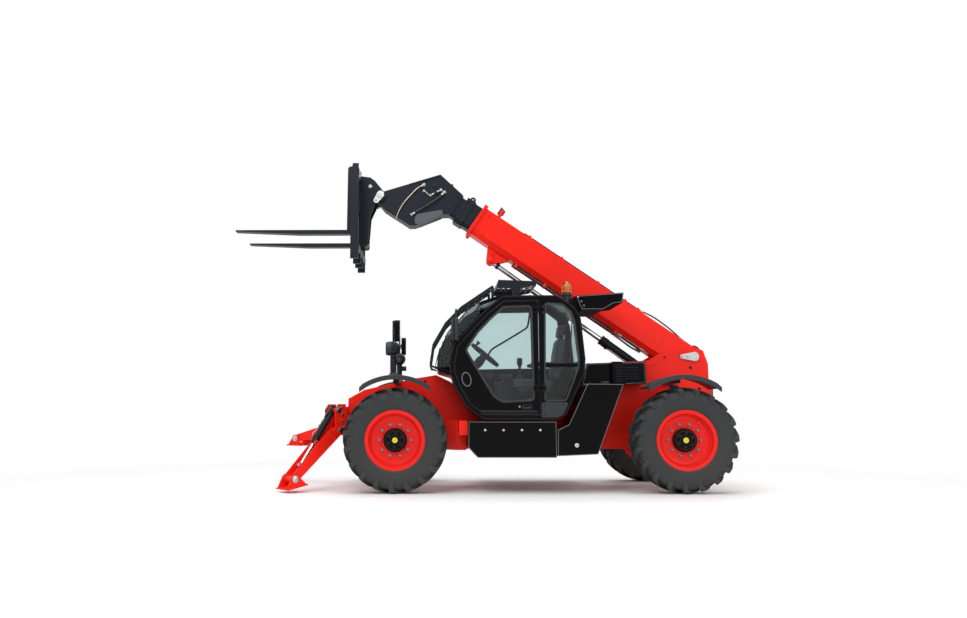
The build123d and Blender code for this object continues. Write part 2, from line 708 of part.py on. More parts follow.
HEEL = CARRIAGE_BACK + CARRIAGE_DEPTH
with BuildPart() as forks:
    for _, sign in SIDES:
        with BuildSketch(head_side(sign * FORK_SPREAD)):
            with BuildLine():
                Polyline(
                    (HEEL, 262),
                    (HEEL, FORK_TOP - FORK_THICK),
                    (HEEL + FORK_LENGTH * 0.45, FORK_TOP - FORK_THICK),
                    (HEEL + FORK_LENGTH, FORK_TOP - FORK_TIP),
                    (HEEL + FORK_LENGTH, FORK_TOP),
                    (HEEL + FORK_THICK, FORK_TOP),
                    (HEEL + FORK_THICK - 8, 262),
                    close=True,
                )
            make_face()
        extrude(amount=FORK_WIDTH / 2, both=True)
save(forks.part, "forks")

# ---------------------------------------------------------------- lift cylinder
lift_dir = Vector(cos(radians(LIFT_ANGLE)), 0, sin(radians(LIFT_ANGLE)))


def lift_section(along):
    """Plane square to the lift cylinder at a distance from its base pin."""
    origin = Vector(FRONT_X + BASE_X, 0, BASE_Z) + lift_dir * along
    return Plane(origin=origin, x_dir=(0, 1, 0), z_dir=lift_dir)


with BuildPart() as lift_barrel:
    with BuildSketch(lift_section(60)):
        Circle(LIFT_BARREL_RADIUS)
    extrude(amount=LIFT_BARREL_LENGTH - 60)
    with BuildSketch(lift_section(LIFT_BARREL_LENGTH)):
        Circle(LIFT_BARREL_RADIUS - 1)
    extrude(amount=36)
    with BuildSketch(side(46, BASE_X, BASE_Z)):
        Circle(LIFT_PIN_RADIUS + 34)
    extrude(amount=92)
    with BuildSketch(side(60, BASE_X, BASE_Z)):
        Circle(LIFT_PIN_RADIUS + PIN_GAP)
    extrude(amount=120, mode=Mode.SUBTRACT)
    # bore that the rod runs in
    with BuildSketch(lift_section(180)):
        Circle(LIFT_ROD_RADIUS + PIN_GAP)
    extrude(amount=LIFT_BARREL_LENGTH, mode=Mode.SUBTRACT)
save(lift_barrel.part, "lift_barrel")

with BuildPart() as lift_rod:
    with BuildSketch(lift_section(LIFT_BARREL_LENGTH - LIFT_ROD_INSIDE)):
        Circle(LIFT_ROD_RADIUS)
    extrude(amount=LIFT_LENGTH - LIFT_BARREL_LENGTH + LIFT_ROD_INSIDE - LIFT_EYE_RADIUS + 10)
    with BuildSketch(side(LIFT_EYE_RADIUS - 4, LUG_X, LUG_Z)):
        Circle(LIFT_EYE_RADIUS)
    extrude(amount=2 * (LIFT_EYE_RADIUS - 4))
save(lift_rod.part, "lift_rod")

# ---------------------------------------------------------------- stabilisers


def leg_plane(sign, angle, along=0.0, turn=None):
    """Plane in a leg's middle, x along the leg from its pivot, y square to it, upwards."""
    splay = radians(LEG_SPLAY)
    flat = Vector(cos(splay), sign * sin(splay), 0)
    pin = Vector(-sign * sin(splay), cos(splay), 0)
    down = radians(angle)
    along_dir = flat * cos(down) - Vector(0, 0, 1) * sin(down)
    origin = Vector(FRONT_X + LEG_PIVOT[0], sign * LEG_PIVOT[1], LEG_PIVOT[2]) + along_dir * along
    turned = radians(turn or 0)
    x_dir = along_dir if turn is None else flat * cos(turned) - Vector(0, 0, 1) * sin(turned)
    return Plane(origin=origin, x_dir=x_dir, z_dir=-pin)


def ram_places(angle):
    """Upper pin and eye of a stabiliser's ram in the leg's upright plane, and its length."""
    down = radians(angle)
    eye = (
        LEG_RAM_EYE[0] * cos(down) + LEG_RAM_EYE[1] * sin(down),
        -LEG_RAM_EYE[0] * sin(down) + LEG_RAM_EYE[1] * cos(down),
    )
    run, drop = eye[0] - LEG_RAM_TOP[0], eye[1] - LEG_RAM_TOP[1]
    return hypot(run, drop), degrees(atan2(-drop, run))


for sign, name, angle, foot_tilt in LEGS:
    with BuildPart() as leg:
        for depth in (-LEG_HALF, LEG_HALF - LEG_PLATE):
            with BuildSketch(leg_plane(sign, angle).offset(depth)):
                Circle(56)
                Polygon(
                    (0, -56), (LEG_LENGTH, -48), (LEG_LENGTH, 48), (LEG_LENGTH * 0.5, 78), (70, 88),
                    (0, 56), align=None,
                )
                with Locations((LEG_LENGTH, 0)):
                    Circle(48)
            extrude(amount=LEG_PLATE)
        # belly plate between the side plates
        with BuildSketch(leg_plane(sign, angle).offset(-LEG_HALF)):
            Polygon(
                (95, -54.5), (LEG_LENGTH - 70, -48.5), (LEG_LENGTH - 70, -34), (95, -40), align=None
            )
        extrude(amount=2 * LEG_HALF)
        # tubes round the two pins
        for x, y, radius in ((0, 0, LEG_PIN_RADIUS + 14), (LEG_LENGTH, 0, LEG_PIN_RADIUS + 12)):
            with BuildSketch(leg_plane(sign, angle).offset(-LEG_HALF)):
                with Locations((x, y)):
                    Circle(radius)
            extrude(amount=2 * LEG_HALF)
            with BuildSketch(leg_plane(sign, angle).offset(-LEG_HALF - 1)):
                with Locations((x, y)):
                    Circle(LEG_PIN_RADIUS + PIN_GAP)
            extrude(amount=2 * LEG_HALF + 2, mode=Mode.SUBTRACT)
        # lugs on each side of the ram's eye
        for depth in (-44, 30):
            with BuildSketch(leg_plane(sign, angle).offset(depth)):
                with Locations(LEG_RAM_EYE):
                    Circle(34)
                Polygon(
                    (LEG_RAM_EYE[0] - 60, -44), (LEG_RAM_EYE[0] + 60, -44),
                    (LEG_RAM_EYE[0] + 34, LEG_RAM_EYE[1]), (LEG_RAM_EYE[0] - 34, LEG_RAM_EYE[1]),
                    align=None,
                )
            extrude(amount=14)
    save(leg.part, f"{name}_leg")

    with BuildPart() as foot:
        for depth in (-LEG_HALF - MOVE_GAP - FOOT_PLATE, LEG_HALF + MOVE_GAP):
            with BuildSketch(leg_plane(sign, angle, LEG_LENGTH, foot_tilt).offset(depth)):
                Circle(50)
                Polygon(
                    (-FOOT_LENGTH / 2 + 12, -FOOT_DEPTH + 4), (FOOT_LENGTH / 2 - 12, -FOOT_DEPTH + 4),
                    (FOOT_LENGTH / 2 - 12, -FOOT_DEPTH + 26), (44, 24), (-44, 24),
                    (-FOOT_LENGTH / 2 + 12, -FOOT_DEPTH + 26), align=None,
                )
            extrude(amount=FOOT_PLATE)
        with BuildSketch(leg_plane(sign, angle, LEG_LENGTH, foot_tilt).offset(-FOOT_HALF)):
            with Locations((0, -FOOT_DEPTH + FOOT_PLATE / 2)):
                Rectangle(FOOT_LENGTH, FOOT_PLATE)
        extrude(amount=2 * FOOT_HALF)
        with BuildSketch(
            leg_plane(sign, angle, LEG_LENGTH, foot_tilt).offset(-LEG_HALF - MOVE_GAP - FOOT_PLATE - 8)
        ):
            Circle(LEG_PIN_RADIUS)
        extrude(amount=2 * (LEG_HALF + MOVE_GAP + FOOT_PLATE + 8))
    save(foot.part, f"{name}_foot")

    ram_length, ram_angle = ram_places(angle)
    upright = leg_plane(sign, 0.0)
    ram_top = upright.from_local_coords(Vector(LEG_RAM_TOP[0], LEG_RAM_TOP[1], 0))
    ram_dir = (
        upright.x_dir * cos(radians(ram_angle)) - Vector(0, 0, 1) * sin(radians(ram_angle))
    )
    ram_start = Plane(origin=ram_top, x_dir=upright.z_dir, z_dir=ram_dir)
    ram_flat = Plane(origin=ram_top, x_dir=ram_dir, z_dir=upright.z_dir)
    with BuildPart() as ram_barrel:
        with BuildSketch(ram_start.offset(40)):
            Circle(LEG_BARREL_RADIUS)
        extrude(amount=LEG_BARREL_LENGTH - 40)
        with BuildSketch(ram_flat.offset(-LEG_BARREL_RADIUS + 4)):
            Circle(LEG_PIN_RADIUS + 22)
        extrude(amount=2 * LEG_BARREL_RADIUS - 8)
        with BuildSketch(ram_flat.offset(-LEG_BARREL_RADIUS)):
            Circle(LEG_PIN_RADIUS + PIN_GAP)
        extrude(amount=2 * LEG_BARREL_RADIUS, mode=Mode.SUBTRACT)
        with BuildSketch(ram_start.offset(110)):
            Circle(LEG_ROD_RADIUS + PIN_GAP)
        extrude(amount=LEG_BARREL_LENGTH, mode=Mode.SUBTRACT)
    save(ram_barrel.part, f"{name}_ram_barrel")

    with BuildPart() as ram_rod:
        with BuildSketch(ram_start.offset(ram_length - 490)):
            Circle(LEG_ROD_RADIUS)
        extrude(amount=490 - 20)
        with BuildSketch(ram_flat.shift_origin(ram_top + ram_dir * ram_length).offset(-24)):
            Circle(28)
        extrude(amount=48)
    save(ram_rod.part, f"{name}_ram_rod")

# ---------------------------------------------------------------- cab
CAB_SIDE = [  # outline of the left side frame: forward of the front axle, up
    (-1205, 2195),
    (-1823, 2205),
    (-2027, 2060),
    (-2085, 1940),
    (-2128, 1483),
    (-2115, 1319),
    (-1901, 869),
    (-1799, 809),
    (-982, 812),
    (-799, 951),
    (-677, 1155),
    (-615, 1320),
    (-606, 1443),
    (-650, 1650),
    (-846, 1872),
    (-1033, 2060),
]
CAB_BODY = [  # outline of the cab behind the side frame, with its windscreen further forward
    (-1180, 2215),
    (-1823, 2215),
    (-2020, 2060),
    (-2078, 1940),
    (-2120, 1483),
    (-2107, 1319),
    (-1893, 875),
    (-1799, 817),
    (-982, 817),
    (-807, 955),
    (-690, 1155),
    (-640, 1300),
    (-470, 1352),
    (-480, 1560),
    (-590, 1800),
    (-800, 2040),
    (-980, 2150),
]
CAB_CORNER = 70  # rounding of the outline's corners
B_PILLAR_X = -1612
BODY_LEFT = CAB_LEFT - CAB_FRAME_DEPTH
DOOR_WINDOW = [
    (-800, 1588), (-928, 1780), (-1074, 1935), (-1219, 2065), (-1525, 2075), (-1540, 1032),
    (-1208, 1013), (-1107, 1073), (-1006, 1237),
]
QUARTER_WINDOW = [
    (-1690, 2110), (-1880, 2095), (-1970, 2010), (-2008, 1900), (-2050, 1480), (-2040, 1385),
    (-1900, 1032), (-1675, 1022),
]
RIGHT_WINDOW = [
    (-700, 1480), (-760, 1720), (-940, 1990), (-1080, 2100), (-1800, 2110), (-1940, 2000),
    (-2010, 1420), (-720, 1400),
]
SCREEN_TOP_X = -960  # windscreen's upper edge
SCREEN_LOW_Z = 1400
SCREEN_SIDE = 46  # pillars on each side of the windscreen
REAR_WINDOW_Z = (1440, 1980)

with BuildPart() as cab:
    with BuildSketch(side(BODY_LEFT)) as cab_body_sketch:
        Polygon(*CAB_BODY, align=None)
        fillet(cab_body_sketch.vertices(), CAB_CORNER * 0.6)
    extrude(amount=BODY_LEFT - CAB_RIGHT)
    with BuildSketch(side(CAB_LEFT)) as cab_side_sketch:
        Polygon(*CAB_SIDE, align=None)
        fillet(cab_side_sketch.vertices(), CAB_CORNER)
    extrude(amount=CAB_FRAME_DEPTH + 4)
    # hollow inside
    with BuildSketch(side(BODY_LEFT + 1)) as cab_hollow_sketch:
        Polygon(*CAB_BODY, align=None)
        fillet(cab_hollow_sketch.vertices(), CAB_CORNER * 0.6)
        offset(amount=-CAB_WALL)
    extrude(amount=BODY_LEFT - CAB_RIGHT - CAB_WALL + 1, mode=Mode.SUBTRACT)
    # openings of the left side: the door's and the quarter window's
    with BuildSketch(side(CAB_LEFT + 1)) as door_hole:
        Polygon(*CAB_SIDE, align=None)
        fillet(door_hole.vertices(), CAB_CORNER)
        offset(amount=-CAB_BORDER)
        with Locations((B_PILLAR_X - 1000, 1500)):
            Rectangle(2000, 2000, mode=Mode.SUBTRACT)
    extrude(amount=CAB_FRAME_DEPTH + 6, mode=Mode.SUBTRACT)
    with BuildSketch(side(CAB_LEFT + 1)) as quarter_hole:
        Polygon(*QUARTER_WINDOW, align=None)
        fillet(quarter_hole.vertices(), 34)
    extrude(amount=CAB_FRAME_DEPTH + 6, mode=Mode.SUBTRACT)
    # right window
    with BuildSketch(side(CAB_RIGHT + CAB_WALL + 1)) as right_hole:
        Polygon(*RIGHT_WINDOW, align=None)
        fillet(right_hole.vertices(), 40)
    extrude(amount=CAB_WALL + 2, mode=Mode.SUBTRACT)
    # windscreen and rear window
    with BuildSketch(side(BODY_LEFT + 5)):
        Polygon(
            (SCREEN_TOP_X, 2260), (-300, 2260), (-300, SCREEN_LOW_Z), (-640, SCREEN_LOW_Z),
            (-700, 1650), (SCREEN_TOP_X, 1960), align=None,
        )
    extrude(amount=BODY_LEFT + 5 - CAB_RIGHT - SCREEN_SIDE, mode=Mode.SUBTRACT)
    with BuildSketch(side(BODY_LEFT - 70)):
        with Locations((-2100, sum(REAR_WINDOW_Z) / 2)):
            Rectangle(240, REAR_WINDOW_Z[1] - REAR_WINDOW_Z[0])
    extrude(amount=BODY_LEFT - 140 - CAB_RIGHT, mode=Mode.SUBTRACT)
    # bar across the quarter window
    with BuildSketch(side(CAB_LEFT - 4)):
        with Locations((-1865, 1417)):
            Rectangle(400, 46)
    extrude(amount=28)
save(cab.part, "cab_shell")

# door: fills the front of the side frame, hinged on the pillar behind it
DOOR_HINGE_Y = CAB_LEFT + 18
with BuildPart() as door:
    with BuildSketch(side(CAB_LEFT)) as door_sketch:
        Polygon(*CAB_SIDE, align=None)
        fillet(door_sketch.vertices(), CAB_CORNER)
        offset(amount=-CAB_BORDER - MOVE_GAP)
        with Locations((B_PILLAR_X + MOVE_GAP - 1000, 1500)):
            Rectangle(2000, 2000, mode=Mode.SUBTRACT)
    extrude(amount=DOOR_THICK)
    with BuildSketch(side(CAB_LEFT + 1)) as door_window_sketch:
        Polygon(*DOOR_WINDOW, align=None)
        fillet(door_window_sketch.vertices(), 40)
    extrude(amount=DOOR_THICK + 2, mode=Mode.SUBTRACT)
    # hinge knuckles on the outer face
    for z in (1130, 2010):
        with BuildSketch(level(z)):
            with Locations((DOOR_HINGE_X, DOOR_HINGE_Y)):
                Circle(DOOR_HINGE_RADIUS)
            with Locations((DOOR_HINGE_X + 34, DOOR_HINGE_Y - 11)):
                Rectangle(66, 14)
        extrude(amount=60)
save(door.part, "door")

with BuildPart() as door_glass:
    with BuildSketch(side(CAB_LEFT - 14)) as door_pane:
        Polygon(*DOOR_WINDOW, align=None)
        fillet(door_pane.vertices(), 40)
    extrude(amount=GLASS)
save(door_glass.part, "door_glass")

SCREEN_STRIP = [  # middle line of the windscreen, from its foot to the roof
    (-478, SCREEN_LOW_Z),
    (-488, 1560),
    (-594, 1796),
    (-804, 2034),
    (SCREEN_TOP_X + GLASS, 2132),
]
CHEEK = [  # corner pane between the windscreen and the side frame
    (-488, SCREEN_LOW_Z), (-498, 1560), (-604, 1796), (-814, 2030), (SCREEN_TOP_X, 2118),
    (SCREEN_TOP_X, 2010), (-848, 1892), (-650, 1668), (-603, 1443), (-607, SCREEN_LOW_Z),
]
with BuildPart() as cab_glass:
    with BuildSketch(side(BODY_LEFT)):
        Polygon(*SCREEN_STRIP, *[(x - GLASS, z) for x, z in reversed(SCREEN_STRIP)], align=None)
    extrude(amount=BODY_LEFT - CAB_RIGHT - SCREEN_SIDE)
    with BuildSketch(side(BODY_LEFT)):
        Polygon(*CHEEK, align=None)
    extrude(amount=GLASS)
    with BuildSketch(side(CAB_LEFT - 34)) as quarter_pane:
        Polygon(*QUARTER_WINDOW, align=None)
        fillet(quarter_pane.vertices(), 34)
    extrude(amount=GLASS)
    with BuildSketch(side(CAB_RIGHT + 20)) as right_pane:
        Polygon(*RIGHT_WINDOW, align=None)
        fillet(right_pane.vertices(), 40)
    extrude(amount=GLASS)
save(cab_glass.part, "cab_glass")

# ---------------------------------------------------------------- inside the cab
CAB_FLOOR = 817 + CAB_WALL
SEAT_Y = 700
SEAT_HALF = 215
with BuildPart() as seat:
    with BuildSketch(level(CAB_FLOOR)):
        with Locations((-1580, SEAT_Y)):
            Rectangle(340, 340)
    extrude(amount=320)
    with BuildSketch(side(SEAT_Y + SEAT_HALF)) as cushion_sketch:
        Polygon(
            (-1820, 1160), (-1330, 1175), (-1310, 1230), (-1350, 1282), (-1760, 1262),
            (-1860, 1700), (-1875, 1900), (-1935, 1905), (-1950, 1700), (-1880, 1240), align=None,
        )
        fillet(cushion_sketch.vertices(), 22)
    extrude(amount=2 * SEAT_HALF)
save(seat.part, "seat")

with BuildPart() as controls:
    # front console and floor tunnel
    with BuildSketch(side(SEAT_Y + 190)):
        Polygon(
            (-800, 1150), (-745, 1290), (-660, 1410), (-880, 1440), (-960, 1330), (-1020, 1100),
            (-1060, CAB_FLOOR), (-1000, CAB_FLOOR), (-900, 1040), align=None,
        )
    extrude(amount=380)
    # right arm console with the lever
    with BuildSketch(level(CAB_FLOOR)):
        with Locations((-1450, CAB_RIGHT + CAB_WALL + 90)):
            Rectangle(560, 130)
    extrude(amount=400)
    with Locations((FRONT_X - 1460, CAB_RIGHT + CAB_WALL + 100, CAB_FLOOR + 400 + 90)):
        Cylinder(17, 200)
    with Locations((FRONT_X - 1460, CAB_RIGHT + CAB_WALL + 100, CAB_FLOOR + 400 + 220)):
        Sphere(34)
    # steering column and wheel
    wheel_tilt = Plane(
        origin=(FRONT_X - 1030, SEAT_Y, 1556),
        x_dir=(0, 1, 0),
        z_dir=(-sin(radians(40)), 0, cos(radians(40))),
    )
    with BuildSketch(wheel_tilt.offset(-260)):
        Circle(34)
    extrude(amount=270)
    with BuildSketch(Plane(origin=wheel_tilt.origin, x_dir=wheel_tilt.x_dir, z_dir=wheel_tilt.y_dir)):
        with Locations((185, 0)):
            Circle(15)
    revolve(axis=Axis(wheel_tilt.origin, wheel_tilt.z_dir))
    with BuildSketch(wheel_tilt.offset(-8)):
        with PolarLocations(92, 3, start_angle=90):
            Rectangle(190, 30)
        Circle(46)
    extrude(amount=16)
save(controls.part, "controls")

# ---------------------------------------------------------------- guards and roof parts
GUARD_LINE = [  # windscreen guard's outer line
    (-385, 1440),
    (-418, 1660),
    (-560, 1905),
    (-740, 2090),
    (-1096, 2330),
]
GUARD_BAR = 26
GUARD_RAILS = (CAB_RIGHT + 60, (CAB_RIGHT + BODY_LEFT) / 2 + 13, BODY_LEFT - 34)


def run_points(line, step):
    """Points at even steps along a run of straight lines."""
    points = []
    for (x0, z0), (x1, z1) in zip(line, line[1:]):
        count = max(1, round(hypot(x1 - x0, z1 - z0) / step))
        points += [(x0 + (x1 - x0) * i / count, z0 + (z1 - z0) * i / count) for i in range(count)]
    return points + [line[-1]]


with BuildPart() as screen_guard:
    for y in GUARD_RAILS:
        with BuildSketch(side(y)):
            Polygon(*GUARD_LINE, *[(x - GUARD_BAR, z - 14) for x, z in reversed(GUARD_LINE)], align=None)
        extrude(amount=GUARD_BAR)
    for x, z in run_points(GUARD_LINE, 118):
        with BuildSketch(side(GUARD_RAILS[2])):
            with Locations((x - 13, z - 7)):
                Circle(8)
        extrude(amount=GUARD_RAILS[2] - GUARD_RAILS[0] + GUARD_BAR)
    # feet that stand on the cab's front and on its roof
    for y in (GUARD_RAILS[0], GUARD_RAILS[2]):
        with BuildSketch(side(y)):
            Polygon((-385, 1440), (-411, 1426), (-471, 1398), (-471, 1386), (-400, 1400), align=None)
            Polygon((-1120, 2195.5), (-1090, 2185.8), (-1090, 2320), (-1120, 2316), align=None)
        extrude(amount=GUARD_BAR)
save(screen_guard.part, "windscreen_guard")

ROOF_Z = 2215
with BuildPart() as roof_guard:
    for y in (GUARD_RAILS[0] - 20, GUARD_RAILS[2] + 20):
        with BuildSketch(side(y)):
            Polygon(
                (-1150, 2300), (-1170, 2395), (-1620, 2378), (-1590, 2330), (-1420, 2300),
                (-1400, ROOF_Z), (-1340, ROOF_Z), (-1320, 2300), align=None,
            )
        extrude(amount=24)
    for x, z in run_points([(-1175, 2362), (-1595, 2350)], 60):
        with BuildSketch(side(GUARD_RAILS[2] + 20)):
            with Locations((x, z)):
                Rectangle(14, 40)
        extrude(amount=GUARD_RAILS[2] - GUARD_RAILS[0] + 40)
save(roof_guard.part, "roof_guard")

ROOF_BOX = [
    (-2040, 2205), (-2581, 2240), (-2567, 2125), (-2462, 2117), (-2343, 2046), (-2106, 2047),
    (-2078, 2100),
]
with BuildPart() as roof_box:
    with BuildSketch(side(BODY_LEFT + 30)):
        Polygon(*ROOF_BOX, align=None)
    extrude(amount=BODY_LEFT + 30 - CAB_RIGHT - 20)
save(roof_box.part, "rear_roof_box")

BEACON_Y = 900
with BuildPart() as beacon:
    with BuildSketch(level(2080)):
        with Locations((-1965, BEACON_Y)):
            Circle(48)
    extrude(amount=160)
    with BuildSketch(side(BODY_LEFT)) as roof_line:
        Polygon(*CAB_BODY, align=None)
        fillet(roof_line.vertices(), CAB_CORNER * 0.6)
    extrude(amount=BODY_LEFT - CAB_RIGHT, mode=Mode.SUBTRACT)
    with BuildSketch(level(2240)):
        with Locations((-1965, BEACON_Y)):
            Circle(58)
    extrude(amount=150)
    fillet(beacon.faces().sort_by(Axis.Z)[-1].edges(), 34)
save(beacon.part, "beacon")

# ---------------------------------------------------------------- boxes along the sides
STEP_BOX = [(-820, 790), (-816, 506), (-918, 395), (-1790, 395), (-1790, 790)]
BOX_OUTER = 1118
PANEL_LEFT = 520  # outer face of the panel behind the cab
with BuildPart() as step_box:
    with BuildSketch(side(BOX_OUTER)):
        Polygon(*STEP_BOX, align=None)
    extrude(amount=BOX_OUTER - FRAME_HALF - 2)
save(step_box.part, "step_box")

TANK_SIDE = [
    (-1806, 700), (-1800, 412), (974 - WHEELBASE, 432), (674 - WHEELBASE, 1205), (-2150, 1211),
    (-2128, 1180), (-1950, 800), (-1930, 760),
]
INTAKE = [  # air intake in front of the back panel
    (540 - WHEELBASE, 1222), (690 - WHEELBASE, 1222), (694 - WHEELBASE, 1486),
    (578 - WHEELBASE, 1486),
]
with BuildPart() as side_tank:
    with BuildSketch(side(BOX_OUTER)):
        Polygon(*TANK_SIDE, align=None)
    extrude(amount=BOX_OUTER - FRAME_HALF - 260)
    with BuildSketch(side(PANEL_LEFT + 90)):
        Polygon(*INTAKE, align=None)
    extrude(amount=90)
save(side_tank.part, "side_tank")

BACK_PANEL = [
    (-2175, 1216), (660 - WHEELBASE, 1216), (280 - WHEELBASE, 1230), (285 - WHEELBASE, 1490),
    (-2240, 1470),
]
with BuildPart() as back_panel:
    with BuildSketch(side(PANEL_LEFT)):
        Polygon(*BACK_PANEL, align=None)
    extrude(amount=PANEL_LEFT - FRAME_HALF - 2)
save(back_panel.part, "back_panel")

ENGINE_BOX = ((-1100, 1120 - WHEELBASE), (520, 1150), (-1000, -480))  # X, Z and Y ranges
HOOD_X = (-880, 480 - WHEELBASE)
HOOD_RIGHT = -1120
HOOD_LEFT = -FRAME_HALF - 34
TUB_TOP = 1010
HOOD_TOP = 1420
HOOD_WALL = 16
HOOD_HINGE_RADIUS = 9
with BuildPart() as engine_tub:
    with BuildSketch(level(440)):
        with Locations((sum(HOOD_X) / 2, (HOOD_RIGHT - FRAME_HALF) / 2)):
            Rectangle(HOOD_X[0] - HOOD_X[1], -HOOD_RIGHT - FRAME_HALF)
    extrude(amount=TUB_TOP - 440)
    # front and rear corners cut back over the wheels
    with BuildSketch(side(-FRAME_HALF + 1)):
        Polygon(
            (HOOD_X[1] - 6, 430), (HOOD_X[1] - 6, 1020), (HOOD_X[1] + 180, 1020),
            (HOOD_X[1] + 440, 430), align=None,
        )
        Polygon((-874, 430), (-874, 560), (-1010, 430), align=None)
    extrude(amount=1000, mode=Mode.SUBTRACT)
    # hollow, open at the top
    with BuildSketch(side(-FRAME_HALF - HOOD_WALL)):
        Polygon(
            (-900, 1012), (HOOD_X[1] + 200, 1012), (HOOD_X[1] + 450, 460), (-1020, 460),
            (-896, 580), align=None,
        )
    extrude(amount=-HOOD_RIGHT - FRAME_HALF - 2 * HOOD_WALL, mode=Mode.SUBTRACT)
    # inner wall up to the hood's hinge line
    with BuildSketch(side(-FRAME_HALF)):
        with Locations(((HOOD_X[0] + HOOD_X[1] + 190) / 2, (TUB_TOP + HOOD_TOP) / 2)):
            Rectangle(HOOD_X[0] - HOOD_X[1] - 190 - 80, HOOD_TOP - TUB_TOP)
    extrude(amount=HOOD_WALL)
save(engine_tub.part, "engine_tub")

with BuildPart() as engine_block:
    with BuildSketch(level(ENGINE_BOX[1][0])):
        with Locations((sum(ENGINE_BOX[0]) / 2, sum(ENGINE_BOX[2]) / 2)):
            Rectangle(ENGINE_BOX[0][0] - ENGINE_BOX[0][1], ENGINE_BOX[2][1] - ENGINE_BOX[2][0])
    extrude(amount=ENGINE_BOX[1][1] - ENGINE_BOX[1][0])
save(engine_block.part, "engine_block")

HOOD_SECTION = [  # across the machine: left, up
    (HOOD_LEFT, TUB_TOP + MOVE_GAP),
    (HOOD_LEFT, HOOD_TOP),
    (HOOD_RIGHT + 170, HOOD_TOP),
    (HOOD_RIGHT, HOOD_TOP - 190),
    (HOOD_RIGHT, TUB_TOP + MOVE_GAP),
]
HOOD_PLANE = Plane(origin=(FRONT_X + HOOD_X[1] + 190, 0, 0), x_dir=(0, 1, 0), z_dir=(1, 0, 0))
HOOD_LENGTH = HOOD_X[0] - HOOD_X[1] - 190
with BuildPart() as hood:
    with BuildSketch(HOOD_PLANE) as hood_sketch:
        Polygon(*HOOD_SECTION, align=None)
        fillet(hood_sketch.vertices().group_by(Axis.Z)[-1], 50)
    extrude(amount=HOOD_LENGTH)
    with BuildSketch(HOOD_PLANE.offset(HOOD_WALL)) as hood_inner:
        Polygon(*HOOD_SECTION, align=None)
        fillet(hood_inner.vertices().group_by(Axis.Z)[-1], 50)
        offset(amount=-HOOD_WALL)
        with Locations((HOOD_LEFT / 2 + HOOD_RIGHT / 2 + HOOD_WALL, TUB_TOP + MOVE_GAP + 20)):
            Rectangle(HOOD_LEFT - HOOD_RIGHT, 320)
    extrude(amount=HOOD_LENGTH - 2 * HOOD_WALL, mode=Mode.SUBTRACT)
    # louvres in the right side
    with BuildSketch(side(HOOD_RIGHT + 1)):
        with GridLocations(150, 60, 5, 3):
            with Locations((-1700, 1110)):
                Rectangle(120, 22)
    extrude(amount=-40, both=True, mode=Mode.SUBTRACT)
    # hinges along the inner upper edge
    for x in (-1150, -2250):
        with BuildSketch(Plane(origin=(FRONT_X + x, HOOD_LEFT, HOOD_TOP), x_dir=(0, 1, 0), z_dir=(1, 0, 0))):
            Circle(HOOD_HINGE_RADIUS)
            Polygon((0, -2), (0, 8), (-90, 8), (-90, -2), align=None)
        extrude(amount=90)
save(hood.part, "engine_hood")

# ---------------------------------------------------------------- fenders
FENDER_SPAN = 398  # half length of a fender, over the axle
FENDER_TOP = 1300
FENDER_RADIUS = 683
FENDER_EDGE = 44  # height of the rolled outer edge

for name, x in AXLES:
    with BuildPart() as fenders:
        for _, sign in SIDES:
            for near, far, thick in (
                (FENDER_INNER, FENDER_OUTER, FENDER_THICK),
                (FENDER_OUTER - 22, FENDER_OUTER, FENDER_EDGE),
            ):
                start = far if sign > 0 else -near
                with BuildSketch(
                    Plane(origin=(x, start, FENDER_TOP - FENDER_RADIUS), x_dir=(1, 0, 0), z_dir=(0, -1, 0))
                ):
                    Circle(FENDER_RADIUS)
                    Circle(FENDER_RADIUS - thick, mode=Mode.SUBTRACT)
                    with Locations((0, FENDER_RADIUS)):
                        Rectangle(2 * FENDER_SPAN, FENDER_RADIUS, mode=Mode.INTERSECT)
                extrude(amount=far - near)
            # arm that carries it from the frame
            arm_end = sign * (FENDER_INNER + 160)
            with BuildSketch(Plane(origin=(x, arm_end, FENDER_TOP - FENDER_THICK - 30), x_dir=(1, 0, 0),
                                   z_dir=(0, -sign, 0))):
                Rectangle(70, 60)
            extrude(amount=abs(arm_end) - FRAME_HALF)
    save(fenders.part, f"{name}_fenders")

# ---------------------------------------------------------------- lamps and mirrors
MAST_X, MAST_Y = 25, 985
with BuildPart() as masts:
    for _, sign in SIDES:
        with BuildSketch(level(FENDER_TOP - 10)):
            with Locations((MAST_X, sign * MAST_Y)):
                RectangleRounded(84, 84, 20)
        extrude(amount=30)
        with BuildSketch(side(sign * MAST_Y, 0, FENDER_TOP - FENDER_RADIUS)):
            Circle(FENDER_RADIUS)
        extrude(amount=60, both=True, mode=Mode.SUBTRACT)
        with BuildSketch(level(FENDER_TOP)):
            with Locations((MAST_X, sign * MAST_Y)):
                Circle(36)
        extrude(amount=255)
        with Locations((FRONT_X + MAST_X, sign * MAST_Y, 1613)):
            Sphere(82)
        # indicator on a short arm
        with BuildSketch(level(1455)):
            with Locations((MAST_X - 62, sign * (MAST_Y + 30))):
                Circle(30)
        extrude(amount=62)
        with BuildSketch(level(1478)):
            with Locations((MAST_X - 30, sign * (MAST_Y + 14))):
                Rectangle(80, 22)
        extrude(amount=22)
        # stalk that carries the mirror
        with BuildSketch(level(1640)):
            with Locations((MAST_X, sign * (MAST_Y + 8))):
                Circle(11)
        extrude(amount=290)
        with BuildSketch(side(sign * (MAST_Y + 8), MAST_X, 1800)):
            Circle(9)
        extrude(amount=-sign * 150)
save(masts.part, "lamp_masts")

